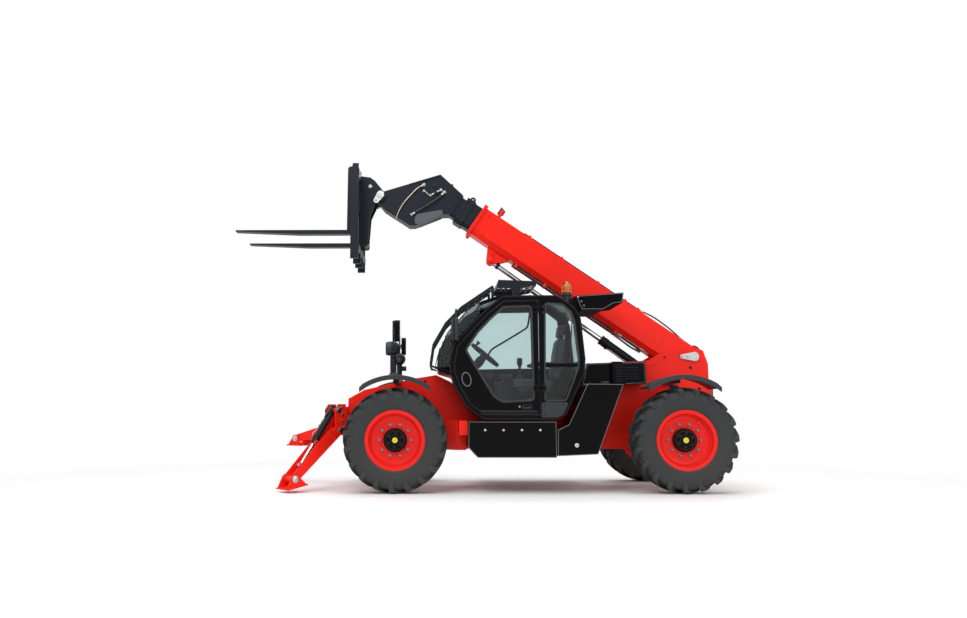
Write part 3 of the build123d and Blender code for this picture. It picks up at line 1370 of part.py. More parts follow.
CAB_MIRROR = (-680, 1166, 1805)
MIRRORS = [  # forward of the front axle, left, middle height, width across, height, tilt in plan
    (-52, 1170, 1797, 150, 236, 0),
    (-52, -1170, 1797, 150, 236, 0),
]
with BuildPart() as mirrors:
    for x, y, z, width, height, tilt in MIRRORS:
        with BuildSketch(Plane(origin=(FRONT_X + x, y, z), x_dir=(0, 1, 0), z_dir=(1, 0, 0))) as glass:
            RectangleRounded(width, height, 40)
        extrude(amount=56)
    # mirror beside the cab's front pillar
    with BuildSketch(Plane(origin=(FRONT_X + CAB_MIRROR[0] - 24, CAB_MIRROR[1], CAB_MIRROR[2]),
                           x_dir=(0, 1, 0), z_dir=(1, 0, 0))):
        RectangleRounded(84, 268, 20)
    extrude(amount=52)
    with BuildSketch(level(CAB_MIRROR[2] + 120)):
        with Locations((CAB_MIRROR[0], CAB_MIRROR[1])):
            Circle(10)
    extrude(amount=97)
    with BuildSketch(side(CAB_MIRROR[1] + 10, CAB_MIRROR[0], CAB_MIRROR[2] + 207)):
        Circle(10)
    extrude(amount=CAB_MIRROR[1] + 10 - GUARD_RAILS[2])
save(mirrors.part, "mirrors")

with BuildPart() as tail_lamps:
    for _, sign in SIDES:
        with BuildSketch(Plane(origin=(FRONT_X + PIVOT_X - 172, sign * 205, 1180), x_dir=(0, 1, 0),
                               z_dir=(-1, 0, 0))):
            RectangleRounded(70, 190, 14)
        extrude(amount=40)
save(tail_lamps.part, "tail_lamps")

# ---------------------------------------------------------------- pipes and lamp on the boom
PIPE_RADIUS = 11
HOSE_RADIUS = 9
PIPE_REAR = 830  # where the pipes end and the hoses to the frame begin
PIPE_CLIPS = (PIPE_REAR, 1020, 1420, 1960, 2440)
HOSES = [  # Y, then places along the boom and above its top face
    (40, ((PIPE_REAR, 26), (650, 54), (452, 50), (290, 32), (190, 13))),
    (-40, ((PIPE_REAR, 26), (620, 27), (470, 20), (368, 13))),
]
with BuildPart() as pipes:
    for y, places in HOSES:
        with BuildSketch(boom_section(PIPE_REAR)):
            with Locations((y, BOOM_ABOVE + 26)):
                Circle(PIPE_RADIUS)
        extrude(amount=PIPE_CLIPS[-1] + 80 - PIPE_REAR)
        with BuildLine(boom_side(y)) as path:
            Spline(*[(along, BOOM_ABOVE + above) for along, above in places])
        with BuildSketch(Plane(origin=path.line @ 0, z_dir=path.line % 0)):
            Circle(HOSE_RADIUS)
        sweep(path=path.line)
        # gland where the hose goes through the boom's top plate
        with BuildSketch(boom_section(places[-1][0] - 22)):
            with Locations((y, BOOM_ABOVE + 8)):
                Rectangle(44, 16)
        extrude(amount=44)
    for along in PIPE_CLIPS:
        with BuildSketch(boom_section(along)):
            with Locations((0, BOOM_ABOVE + 21)):
                Rectangle(130, 42)
        extrude(amount=46)
save(pipes.part, "boom_pipes")

with BuildPart() as work_lamp:
    with BuildSketch(boom_section(BOOM_END - 250)):
        with Locations((0, BOOM_ABOVE + 35)):
            Rectangle(70, 70)
    extrude(amount=110)
    with BuildSketch(boom_section(BOOM_END - 190)):
        with Locations((0, BOOM_ABOVE + 110)):
            RectangleRounded(110, 90, 16)
    extrude(amount=58)
save(work_lamp.part, "work_lamp")
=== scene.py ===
"""Telescopic handler: surfaces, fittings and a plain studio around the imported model.

Laid out as a Blender add-on. Each operator makes one group of pieces in the model's own frame:
metres, +X forward to the forks, +Y to the machine's left, +Z up.
"""

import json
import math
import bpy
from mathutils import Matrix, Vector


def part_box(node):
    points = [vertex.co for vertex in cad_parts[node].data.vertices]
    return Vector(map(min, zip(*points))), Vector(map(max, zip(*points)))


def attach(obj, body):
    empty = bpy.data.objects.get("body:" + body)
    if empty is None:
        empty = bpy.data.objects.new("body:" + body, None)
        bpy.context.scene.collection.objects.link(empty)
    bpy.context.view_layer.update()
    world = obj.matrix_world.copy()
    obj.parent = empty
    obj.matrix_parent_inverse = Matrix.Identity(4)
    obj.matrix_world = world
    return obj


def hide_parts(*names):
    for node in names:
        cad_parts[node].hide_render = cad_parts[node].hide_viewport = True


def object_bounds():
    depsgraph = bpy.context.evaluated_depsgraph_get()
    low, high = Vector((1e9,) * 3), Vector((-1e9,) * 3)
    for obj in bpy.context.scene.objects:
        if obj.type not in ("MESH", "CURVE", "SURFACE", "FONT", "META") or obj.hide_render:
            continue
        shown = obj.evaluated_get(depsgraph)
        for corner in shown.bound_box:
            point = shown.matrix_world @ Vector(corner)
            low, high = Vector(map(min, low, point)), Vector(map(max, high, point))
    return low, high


bl_info = {
    "name": "Telescopic handler",
    "version": (1, 0, 0),
    "blender": (4, 5, 0),
    "location": "3D View > Sidebar > Handler",
    "description": "Dresses the packed telescopic handler and sets up its studio",
    "category": "Object",
}

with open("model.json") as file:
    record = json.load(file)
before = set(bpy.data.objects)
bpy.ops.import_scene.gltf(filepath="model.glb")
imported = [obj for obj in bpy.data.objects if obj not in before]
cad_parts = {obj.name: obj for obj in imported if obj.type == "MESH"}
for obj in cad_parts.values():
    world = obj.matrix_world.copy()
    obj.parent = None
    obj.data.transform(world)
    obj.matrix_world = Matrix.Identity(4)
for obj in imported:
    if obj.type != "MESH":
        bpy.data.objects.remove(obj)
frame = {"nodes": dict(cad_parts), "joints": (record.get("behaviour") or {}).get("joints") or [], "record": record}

import bmesh
import bpy
from bpy.props import FloatProperty, FloatVectorProperty, IntProperty, PointerProperty
from mathutils import Matrix, Vector

CAD_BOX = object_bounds()
JOINTS = {joint["name"]: joint for joint in frame["joints"]}
BOOM_DIR = Vector(JOINTS["boom_reach"]["axis"]).normalized()
BOOM_UP = Vector((-BOOM_DIR.z, 0, BOOM_DIR.x))
BOOM_PIVOT = Vector(JOINTS["boom_lift"]["pos_m"])
HEAD_PIN = Vector(JOINTS["fork_tilt"]["pos_m"])
LIFT_BASE = Vector(JOINTS["lift_barrel_swing"]["pos_m"])
LIFT_DIR = Vector(JOINTS["lift_rod_slide"]["axis"]).normalized()
FRONT_AXLE = Vector(JOINTS["front_left_spin"]["pos_m"])
REAR_AXLE = Vector(JOINTS["rear_left_spin"]["pos_m"])
LEFT = Vector((0, 1, 0))
UP = Vector((0, 0, 1))
FORWARD = Vector((1, 0, 0))
ENDS = ("front", "rear")
SIDES = (("left", 1), ("right", -1))


# ------------------------------------------------------------------ places

def facing(origin, axis, up=UP):
    """Matrix at origin whose Z runs along axis and whose Y is as near to up as it can be."""
    z = Vector(axis).normalized()
    y = up - z * up.dot(z)
    if y.length < 1e-4:
        y = FORWARD - z * FORWARD.dot(z)
    y.normalize()
    x = y.cross(z)
    turn = Matrix((x, y, z)).transposed().to_4x4()
    return Matrix.Translation(Vector(origin)) @ turn


def offset(x, y, z):
    """Move within a place's own frame."""
    return Matrix.Translation((x, y, z))


def spin(angle):
    """Turn about a place's own Z axis."""
    return Matrix.Rotation(angle, 4, "Z")


def circle(radius, steps):
    """Points of a circle about the origin; the last is where the first is."""
    angles = (math.tau * i / steps for i in range(steps + 1))
    return [(radius * math.cos(a), radius * math.sin(a)) for a in angles]


def on_boom(along, above, y=0.0):
    """Point given along and above the boom's line through its pivot."""
    return BOOM_PIVOT + BOOM_DIR * along + BOOM_UP * above + LEFT * y


def ahead(x, y, z):
    """Point given forward of the front axle, to the left and up."""
    return Vector((FRONT_AXLE.x + x, y, z))


# ------------------------------------------------------------------ meshes

def route(place, *spots):
    """Points whose numbers the function place turns into the model's own."""
    return [place(*spot) for spot in spots]


def join_rings(bm, rings, capped=True):
    """Faces between rings that have as many points each, and over the first and the last."""
    for low, high in zip(rings, rings[1:]):
        for i in range(len(low)):
            j = (i + 1) % len(low)
            bm.faces.new((low[i], low[j], high[j], high[i]))
    if capped:
        bm.faces.new(list(reversed(rings[0])))
        bm.faces.new(rings[-1])


def add_block(bm, place, size, taper=1.0):
    """Box of size along place's axes, centred on it; taper scales its +Z face."""
    made = bmesh.ops.create_cube(bm, size=1.0)["verts"]
    for vert in made:
        shrink = taper if vert.co.z > 0 else 1.0
        vert.co.x *= size[0] * shrink
        vert.co.y *= size[1] * shrink
        vert.co.z *= size[2]
    bmesh.ops.transform(bm, matrix=place, verts=made)
    return made


def add_revolved(bm, place, profile, segments=32):
    """Turn a profile of (distance along Z, radius) points about place's Z axis."""
    rings = []
    for along, radius in profile:
        if radius < 1e-5:
            rings.append([bm.verts.new(place @ Vector((0, 0, along)))])
            continue
        ring = []
        for i in range(segments):
            angle = math.tau * i / segments
            spot = Vector((radius * math.cos(angle), radius * math.sin(angle), along))
            ring.append(bm.verts.new(place @ spot))
        rings.append(ring)
    for low, high in zip(rings, rings[1:]):
        for i in range(segments):
            j = (i + 1) % segments
            corners = [low[i % len(low)], low[j % len(low)], high[j % len(high)], high[i % len(high)]]
            corners = list(dict.fromkeys(corners))
            if len(corners) > 2:
                bm.faces.new(corners)
    for ring, flip in ((rings[0], True), (rings[-1], False)):
        if len(ring) > 1 and profile[0] != profile[-1]:
            bm.faces.new(list(reversed(ring)) if flip else ring)


def add_rod(bm, start, end, radius, segments=20, edge=0.0):
    """Round bar from start to end with chamfered ends."""
    start, end = Vector(start), Vector(end)
    length = (end - start).length
    edge = min(edge, radius * 0.5, length * 0.4)
    profile = [(0, radius - edge), (edge, radius), (length - edge, radius), (length, radius - edge)]
    if edge <= 0:
        profile = [(0, radius), (length, radius)]
    add_revolved(bm, facing(start, end - start), profile, segments)


def smooth_path(points, steps=8):
    """Points of a rounded line through the given ones."""
    points = [Vector(p) for p in points]
    padded = [2 * points[0] - points[1]] + points + [2 * points[-1] - points[-2]]
    path = []
    for a, b, c, d in zip(padded, padded[1:], padded[2:], padded[3:]):
        for i in range(steps):
            t = i / steps
            path.append(0.5 * (2 * b + (c - a) * t + (2 * a - 5 * b + 4 * c - d) * t * t
                               + (3 * b - a - 3 * c + d) * t ** 3))
    return path + [points[-1]]


def add_pipe(bm, points, radius, segments=12, steps=8):
    """Pipe or hose swept along a rounded line through the points."""
    path = smooth_path(points, steps) if steps > 1 else [Vector(p) for p in points]
    side = None
    rings = []
    for i, spot in enumerate(path):
        along = (path[min(i + 1, len(path) - 1)] - path[max(i - 1, 0)]).normalized()
        if side is None:
            side = along.orthogonal().normalized()
        side = (side - along * side.dot(along)).normalized()
        over = along.cross(side)
        ring = []
        for k in range(segments):
            angle = math.tau * k / segments
            ring.append(bm.verts.new(spot + (side * math.cos(angle) + over * math.sin(angle)) * radius))
        rings.append(ring)
    join_rings(bm, rings)


def add_plate(bm, place, outline, thick):
    """Flat plate: an outline in place's X and Y, thick along its Z."""
    low = [bm.verts.new(place @ Vector((x, y, 0))) for x, y in outline]
    high = [bm.verts.new(place @ Vector((x, y, thick))) for x, y in outline]
    bm.faces.new(list(reversed(low)))
    bm.faces.new(high)
    for i in range(len(outline)):
        j = (i + 1) % len(outline)
        bm.faces.new((low[i], low[j], high[j], high[i]))


def add_bolt(bm, place, across=0.024, height=0.013, washer=True):
    """Hexagon bolt head on a washer, standing on place's XY plane."""
    radius = across / math.sqrt(3)
    base = 0.0
    if washer:
        add_revolved(bm, place, [(0, across * 0.95), (0.003, across * 0.95)], 20)
        base = 0.003
    add_revolved(bm, place, [
        (base, radius), (base + height * 0.8, radius), (base + height, radius * 0.82),
    ], 6)


def rounded(width, height, radius, steps=5):
    """Outline of a rectangle with rounded corners, centred."""
    points = []
    for cx, cy, start in ((1, 1, 0), (-1, 1, 90), (-1, -1, 180), (1, -1, 270)):
        for i in range(steps + 1):
            angle = math.radians(start + 90 * i / steps)
            points.append((cx * (width / 2 - radius) + radius * math.cos(angle),
                           cy * (height / 2 - radius) + radius * math.sin(angle)))
    return points


def finish_piece(bm, name, body, finish, bevel=0.0, angle=35):
    """Make the bmesh an object that rides on a body, in one finish, with softened edges."""
    bmesh.ops.recalc_face_normals(bm, faces=bm.faces)
    mesh = bpy.data.meshes.new(name)
    bm.to_mesh(mesh)
    bm.free()
    made = bpy.data.objects.new(name, mesh)
    bpy.context.scene.collection.objects.link(made)
    mesh.materials.append(FINISHES[finish])
    if bevel:
        edges = made.modifiers.new("Soft edges", "BEVEL")
        edges.width = bevel
        edges.segments = 2
        edges.limit_method = "ANGLE"
        edges.angle_limit = math.radians(angle)
    mesh.shade_smooth()
    mesh.set_sharp_from_angle(angle=math.radians(angle))
    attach(made, body)
    return made


# ------------------------------------------------------------------ outlines and fittings

def side_place(y, sign=1):
    """Place on a plane that faces the machine's side; its outlines come from side_points."""
    return facing(ahead(0, y, 0), LEFT * sign)


def side_points(points, sign=1):
    """Points given forward of the front axle and up, as side_place takes them."""
    return [(-sign * x, z) for x, z in points]


def round_corners(points, radius, steps=4):
    """Outline whose corners are rounded, each by as much as its sides leave room for."""
    line = []
    for i, corner in enumerate(points):
        here = Vector(corner)
        back = Vector(points[i - 1]) - here
        on = Vector(points[(i + 1) % len(points)]) - here
        reach = radius / max(math.tan(back.angle(on) / 2), 0.2)
        reach = min(reach, back.length * 0.45, on.length * 0.45)
        start, end = here + back.normalized() * reach, here + on.normalized() * reach
        for k in range(steps + 1):
            t = k / steps
            line.append(tuple(start * (1 - t) ** 2 + here * 2 * t * (1 - t) + end * t * t))
    return line


def inset(points, distance):
    """Outline moved inwards by a distance, or outwards where it is negative."""
    pairs = list(zip(points, points[1:] + points[:1]))
    turn = 1 if sum(x0 * z1 - x1 * z0 for (x0, z0), (x1, z1) in pairs) > 0 else -1
    moved = []
    for i, corner in enumerate(points):
        here = Vector(corner)
        back = (here - Vector(points[i - 1])).normalized()
        on = (Vector(points[(i + 1) % len(points)]) - here).normalized()
        inward = Vector((-back.y - on.y, back.x + on.x)).normalized()
        spread = max(inward.dot(Vector((-back.y, back.x))), 0.3)
        moved.append(tuple(here + inward * (turn * distance / spread)))
    return moved


def add_band(bm, place, outline, width, thick):
    """Flat ring between an outline and the same set in by a width, thick along place's Z."""
    inner = inset(outline, width)
    lines = ((outline, 0.0), (outline, thick), (inner, thick), (inner, 0.0))
    rings = [[bm.verts.new(place @ Vector((x, y, z))) for x, y in line] for line, z in lines]
    join_rings(bm, rings + rings[:1], capped=False)


def add_loft(bm, place, sections):
    """Solid through rounded rectangles: (distance along place's Z, width, height, corner) each."""
    rings = [[bm.verts.new(place @ Vector((x, y, z))) for x, y in rounded(w, h, corner)]
             for z, w, h, corner in sections]
    join_rings(bm, rings)


def capsule(length, near, far, steps=10):
    """Outline from a round end at the origin to another at a length along X."""
    points = []
    for middle, radius, start in ((length, far, -90), (0.0, near, 90)):
        for i in range(steps + 1):
            angle = math.radians(start + 180 * i / steps)
            points.append((middle + radius * math.cos(angle), radius * math.sin(angle)))
    return points


def add_weld(bm, points, radius):
    """Rippled weld bead along straight runs through the points."""
    for start, end in zip(points, points[1:]):
        start, end = Vector(start), Vector(end)
        length = (end - start).length
        count = max(3, round(length / 0.008))
        profile = [(length * i / count, radius * (1.0 if i % 2 else 0.76)) for i in range(count + 1)]
        add_revolved(bm, facing(start, end - start), profile, 6)


def add_bolt_ring(bm, place, count, radius, across, height, start=0.0, washer=True):
    """Bolts on a circle about place's Z axis."""
    for index in range(count):
        turn = spin(start + math.tau * index / count)
        add_bolt(bm, place @ turn @ offset(radius, 0, 0), across, height, washer)


def add_keeper(bm, place, length, near, far, thick=0.008, spots=(0.55, 1.0)):
    """Keeper plate for a pin, from place's origin along its X, with bolts along it."""
    add_plate(bm, place, capsule(length, near, far), thick)
    for share in spots:
        add_bolt(bm, place @ offset(length * share, 0, thick), far * 0.9, 0.009)


def add_fitting(bm, place, radius):
    """Hose end along place's Z: hexagon nut, neck and crimped ferrule."""
    add_revolved(bm, place, [(0, radius * 1.9), (0.015, radius * 1.9), (0.017, radius * 1.6)], 6)
    add_revolved(bm, place, [
        (0.017, radius * 1.2), (0.026, radius * 1.2), (0.028, radius * 1.5), (0.058, radius * 1.45),
        (0.060, radius * 1.15),
    ], 18)


def add_hose(hose, metal, points, radius, ends=(True, True)):
    """Hose through the points with a fitting at each end that has one."""
    points = [Vector(p) for p in points]
    add_pipe(hose, points, radius, 12, 8)
    for wanted, here, on in ((ends[0], points[0], points[1]), (ends[1], points[-1], points[-2])):
        if wanted:
            add_fitting(metal, facing(here, on - here), radius)


def boom_top(along, y=0.0, above=0.117):
    """Place on the boom's top face: Z square to it, Y along the boom."""
    return facing(on_boom(along, above, y), BOOM_UP, BOOM_DIR)


def boom_cheek(along, above, y):
    """Place on the side of the boom that y is on: Z outwards, Y square to the boom, upwards."""
    return facing(on_boom(along, above, y), LEFT if y > 0 else -LEFT, BOOM_UP)


LEG_SPLAY = math.radians(36.0)
LEG_DROP = {"left": math.radians(43.4), "right": math.radians(10.0)}
FOOT_TILT = {"left": math.radians(12.0), "right": 0.0}


def leg_place(side, sign, down=None):
    """Place at a leg's pivot: X along the leg, Y square to it upwards, Z along its pin."""
    down = LEG_DROP[side] if down is None else down
    flat = Vector((math.cos(LEG_SPLAY), sign * math.sin(LEG_SPLAY), 0))
    along = flat * math.cos(down) - UP * math.sin(down)
    pin = Vector((-sign * math.sin(LEG_SPLAY), math.cos(LEG_SPLAY), 0))
    turn = Matrix((along, (-pin).cross(along), -pin)).transposed().to_4x4()
    return Matrix.Translation(Vector(JOINTS[f"{side}_leg_drop"]["pos_m"])) @ turn


def on_face(place, x, y, depth):
    """Place's own frame moved to a point; turned over where depth is negative."""
    flip = Matrix.Identity(4) if depth > 0 else Matrix.Rotation(math.pi, 4, "X")
    return place @ offset(x, y, depth) @ flip


# ------------------------------------------------------------------ shader groups

def new_group(name, inputs, outputs):
    """Empty shader node group with named sockets; gives the group and its two end nodes."""
    group = bpy.data.node_groups.new(name, "ShaderNodeTree")
    for label, kind, default in inputs:
        socket = group.interface.new_socket(name=label, in_out="INPUT", socket_type=kind)
        if default is not None:
            socket.default_value = default
    for label, kind in outputs:
        group.interface.new_socket(name=label, in_out="OUTPUT", socket_type=kind)
    return group, group.nodes.new("NodeGroupInput"), group.nodes.new("NodeGroupOutput")


def set_inputs(node, **values):
    """Set a node's inputs by their names, written with underscores."""
    for label, value in values.items():
        node.inputs[label.replace("_", " ")].default_value = value


def add_node(tree, kind, settings=None, **values):
    """Node of a kind, with its settings and the values of its inputs."""
    node = tree.nodes.new(kind)
    for key, value in (settings or {}).items():
        setattr(node, key, value)
    set_inputs(node, **values)
    return node


def math_node(tree, operation, first, second=None, clamp=False):
    """Math node; each operand is a socket to link or a plain number. Gives its output."""
    node = tree.nodes.new("ShaderNodeMath")
    node.operation = operation
    node.use_clamp = clamp
    for index, operand in enumerate((first, second)):
        if isinstance(operand, (int, float)):
            node.inputs[index].default_value = operand
        elif operand is not None:
            tree.links.new(operand, node.inputs[index])
    return node.outputs[0]


def mix_colour(tree, factor, first, second):
    """Mix of two colour sockets by a factor socket. Gives its output."""
    node = tree.nodes.new("ShaderNodeMix")
    node.data_type = "RGBA"
    tree.links.new(factor, node.inputs["Factor"])
    for socket, colour in ((node.inputs[6], first), (node.inputs[7], second)):
        if isinstance(colour, bpy.types.NodeSocket):
            tree.links.new(colour, socket)
        else:
            socket.default_value = (*colour, 1.0)
    return node.outputs[2]


def object_noise(tree, scale, detail=3.0, vector=None):
    """Noise over the object's own coordinates. Gives its value from 0 to 1."""
    noise = tree.nodes.new("ShaderNodeTexNoise")
    noise.inputs["Detail"].default_value = detail
    if isinstance(scale, (int, float)):
        noise.inputs["Scale"].default_value = scale
    else:
        tree.links.new(scale, noise.inputs["Scale"])
    if vector is None:
        vector = tree.nodes.new("ShaderNodeTexCoord").outputs["Object"]
    tree.links.new(vector, noise.inputs["Vector"])
    return noise.outputs["Fac"]


def build_edge_group():
    """Rounds sharp edges and adds a fine grain; puts out a normal."""
    group, start, end = new_group(
        "Rounded edges and grain",
        [("Edge Radius", "NodeSocketFloat", 0.004), ("Grain Scale", "NodeSocketFloat", 300.0),
         ("Grain Strength", "NodeSocketFloat", 0.05)],
        [("Normal", "NodeSocketVector")],
    )
    edge = add_node(group, "ShaderNodeBevel", {"samples": 4})
    group.links.new(start.outputs["Edge Radius"], edge.inputs["Radius"])
    bump = add_node(group, "ShaderNodeBump", Distance=0.001)
    group.links.new(object_noise(group, start.outputs["Grain Scale"]), bump.inputs["Height"])
    group.links.new(start.outputs["Grain Strength"], bump.inputs["Strength"])
    group.links.new(edge.outputs["Normal"], bump.inputs["Normal"])
    group.links.new(bump.outputs["Normal"], end.inputs["Normal"])
    return group


def build_finish_group():
    """Colour and roughness of a used surface: tone drift, dust low down and on top, and a paler colour along edges
    that is a painted edge highlight.
    """
    group, start, end = new_group(
        "Used surface",
        [("Colour", "NodeSocketColor", (0.5, 0.5, 0.5, 1)), ("Dust", "NodeSocketFloat", 0.1),
         ("Dust Colour", "NodeSocketColor", (0.30, 0.28, 0.25, 1)),
         ("Wear", "NodeSocketFloat", 0.2), ("Worn Colour", "NodeSocketColor", (0.3, 0.3, 0.3, 1)),
         ("Roughness", "NodeSocketFloat", 0.4), ("Spread", "NodeSocketFloat", 0.1)],
        [("Colour", "NodeSocketColor"), ("Roughness", "NodeSocketFloat")],
    )
    geometry = group.nodes.new("ShaderNodeNewGeometry")
    position = add_node(group, "ShaderNodeSeparateXYZ")
    normal = add_node(group, "ShaderNodeSeparateXYZ")
    group.links.new(group.nodes.new("ShaderNodeTexCoord").outputs["Object"], position.inputs[0])
    group.links.new(geometry.outputs["Normal"], normal.inputs[0])
    broad = object_noise(group, 2.2)
    fine = object_noise(group, 38.0, 6.0)
    low = math_node(group, "MULTIPLY_ADD", position.outputs["Z"], -0.55)
    low.node.inputs[2].default_value = 0.75
    low.node.use_clamp = True
    top = math_node(group, "MULTIPLY", normal.outputs["Z"], 0.5, clamp=True)
    place = math_node(group, "ADD", low, top, clamp=True)
    patch = math_node(group, "MULTIPLY", place, math_node(group, "ADD", broad, fine))
    dust = math_node(group, "MULTIPLY", patch, start.outputs["Dust"], clamp=True)
    # Painted edge highlight: a paler colour mixed in along sharp edges, where the rounded normal leaves the true
    # one, broken up by fine noise.
    edge = add_node(group, "ShaderNodeBevel", {"samples": 4}, Radius=0.006)
    dot = add_node(group, "ShaderNodeVectorMath", {"operation": "DOT_PRODUCT"})
    group.links.new(edge.outputs["Normal"], dot.inputs[0])
    group.links.new(geometry.outputs["True Normal"], dot.inputs[1])
    bend = math_node(group, "SUBTRACT", 1.0, dot.outputs["Value"], clamp=True)
    sheen_edges = math_node(group, "MULTIPLY", math_node(group, "MULTIPLY", bend, 5.0, clamp=True), fine)
    edge_sheen = math_node(group, "MULTIPLY", sheen_edges, start.outputs["Wear"], clamp=True)
    drift = math_node(group, "MULTIPLY_ADD", broad, 0.16)
    drift.node.inputs[2].default_value = 0.92
    toned = add_node(group, "ShaderNodeVectorMath", {"operation": "SCALE"})
    group.links.new(start.outputs["Colour"], toned.inputs[0])
    group.links.new(drift, toned.inputs["Scale"])
    dusty = mix_colour(group, dust, toned.outputs[0], start.outputs["Dust Colour"])
    group.links.new(mix_colour(group, edge_sheen, dusty, start.outputs["Worn Colour"]), end.inputs["Colour"])
    shift = math_node(group, "MULTIPLY", math_node(group, "SUBTRACT", fine, 0.5), start.outputs["Spread"])
    rough = math_node(group, "ADD", start.outputs["Roughness"], shift)
    group.links.new(math_node(group, "ADD", rough, dust, clamp=True), end.inputs["Roughness"])
    return group


def build_disc_group():
    """Mask of 1 inside a cylinder round an axle that runs across the machine."""
    group, start, end = new_group(
        "Inside a disc",
        [("Middle X", "NodeSocketFloat", 0.0), ("Middle Z", "NodeSocketFloat", 0.0),
         ("Radius", "NodeSocketFloat", 0.1)],
        [("Mask", "NodeSocketFloat")],
    )
    place = add_node(group, "ShaderNodeSeparateXYZ")
    group.links.new(group.nodes.new("ShaderNodeTexCoord").outputs["Object"], place.inputs[0])
    across = math_node(group, "SUBTRACT", place.outputs["X"], start.outputs["Middle X"])
    above = math_node(group, "SUBTRACT", place.outputs["Z"], start.outputs["Middle Z"])
    squared = math_node(
        group, "ADD", math_node(group, "MULTIPLY", across, across), math_node(group, "MULTIPLY", above, above)
    )
    reach = math_node(group, "SQRT", squared)
    group.links.new(math_node(group, "LESS_THAN", reach, start.outputs["Radius"]), end.inputs["Mask"])
    return group


EDGE_GROUP = build_edge_group()
FINISH_GROUP = build_finish_group()
DISC_GROUP = build_disc_group()


# ------------------------------------------------------------------ materials

def surface(name, colour, roughness, metallic=0.0, dust=0.1, edge_sheen=0.0, sheen_colour=(0.3, 0.3, 0.3), spread=0.1,
            edge=0.004, grain=0.05, grain_scale=300.0, **sockets):
    """Principled material with a used finish, whose edge amount and edge colour paint a paler edge highlight;
    other sockets are set by name on the shader.
    """
    material = bpy.data.materials.new(name)
    material.use_nodes = True
    tree = material.node_tree
    shader = tree.nodes["Principled BSDF"]
    finish = add_node(tree, "ShaderNodeGroup", {"node_tree": FINISH_GROUP}, Colour=(*colour, 1),
                      Dust=dust, Wear=edge_sheen, Worn_Colour=(*sheen_colour, 1), Roughness=roughness, Spread=spread)
    edges = add_node(tree, "ShaderNodeGroup", {"node_tree": EDGE_GROUP}, Edge_Radius=edge,
                     Grain_Scale=grain_scale, Grain_Strength=grain)
    tree.links.new(finish.outputs["Colour"], shader.inputs["Base Color"])
    tree.links.new(finish.outputs["Roughness"], shader.inputs["Roughness"])
    tree.links.new(edges.outputs["Normal"], shader.inputs["Normal"])
    set_inputs(shader, Metallic=metallic, **sockets)
    return material


def clear(name, colour, roughness=0.02, ior=1.45, coat=0.0):
    """Clear material: glass or a lens, tinted; a thin pane hardly bends light and shines by its coat."""
    material = bpy.data.materials.new(name)
    material.use_nodes = True
    set_inputs(material.node_tree.nodes["Principled BSDF"], Base_Color=(*colour, 1), Roughness=roughness,
               IOR=ior, Transmission_Weight=1.0, Coat_Weight=coat)
    return material


def rim_paint(name, red, black, wheel, radius):
    """Wheel paint whose hub, inside a radius round the axle, is black."""
    material = surface(name, red, 0.30, dust=0.02, edge=0.003, grain=0.02, grain_scale=60.0,
                       Specular_IOR_Level=0.2)
    tree = material.node_tree
    finish = next(n for n in tree.nodes if n.type == "GROUP" and n.node_tree == FINISH_GROUP)
    disc = add_node(tree, "ShaderNodeGroup", {"node_tree": DISC_GROUP}, Middle_X=wheel.x,
                    Middle_Z=wheel.z, Radius=radius)
    tree.links.new(mix_colour(tree, disc.outputs["Mask"], red, black), finish.inputs["Colour"])
    return material


# ------------------------------------------------------------------ sizes and colours

def colour(name, words, value):
    """Colour property with its default."""
    return FloatVectorProperty(name=name, description=words, default=value, size=3, subtype="COLOR",
                               min=0.0, max=1.0)


def size(name, words, value):
    """Length property in metres with its default."""
    return FloatProperty(name=name, description=words, default=value, unit="LENGTH", min=0.0)


class HandlerColours(bpy.types.PropertyGroup):
    """Colours of the machine's finishes."""
    red: colour("Red paint", "Frame, boom and stabilisers", (0.96, 0.018, 0.008))
    rim_red: colour("Wheel red", "Wheel rims", (0.84, 0.014, 0.010))
    gloss_black: colour("Gloss black", "Cab and side boxes", (0.0022, 0.0022, 0.0028))
    satin_black: colour("Satin black", "Boom's nose, head, carriage and axles", (0.009, 0.013, 0.019))
    plastic: colour("Dark grey plastic", "Fenders and mouldings", (0.017, 0.020, 0.025))
    rubber: colour("Tyre rubber", "Tyres and mats", (0.025, 0.027, 0.029))
    amber: colour("Amber", "Beacon and indicators", (0.96, 0.50, 0.08))
    cap_yellow: colour("Cap yellow", "Caps in the hubs' middles", (0.80, 0.66, 0.02))
    pane: colour("Window glass", "Tint of the cab's panes", (0.67, 0.78, 0.78))


class HandlerSizes(bpy.types.PropertyGroup):
    """Sizes of the fittings."""
    lugs: IntProperty(name="Lugs", description="Tread lugs on each half of a tyre", default=19, min=8)
    stud_circle: size("Stud circle", "Diameter of the circle of wheel nuts", 0.356)
    stud_count: IntProperty(name="Wheel nuts", description="Nuts on each wheel", default=10, min=4)
    bolt: size("Bolt", "Width across the flats of a common bolt", 0.022)
    hose: size("Hose", "Outside radius of a hydraulic hose", 0.010)
    weld: size("Weld", "Radius of a weld bead", 0.005)


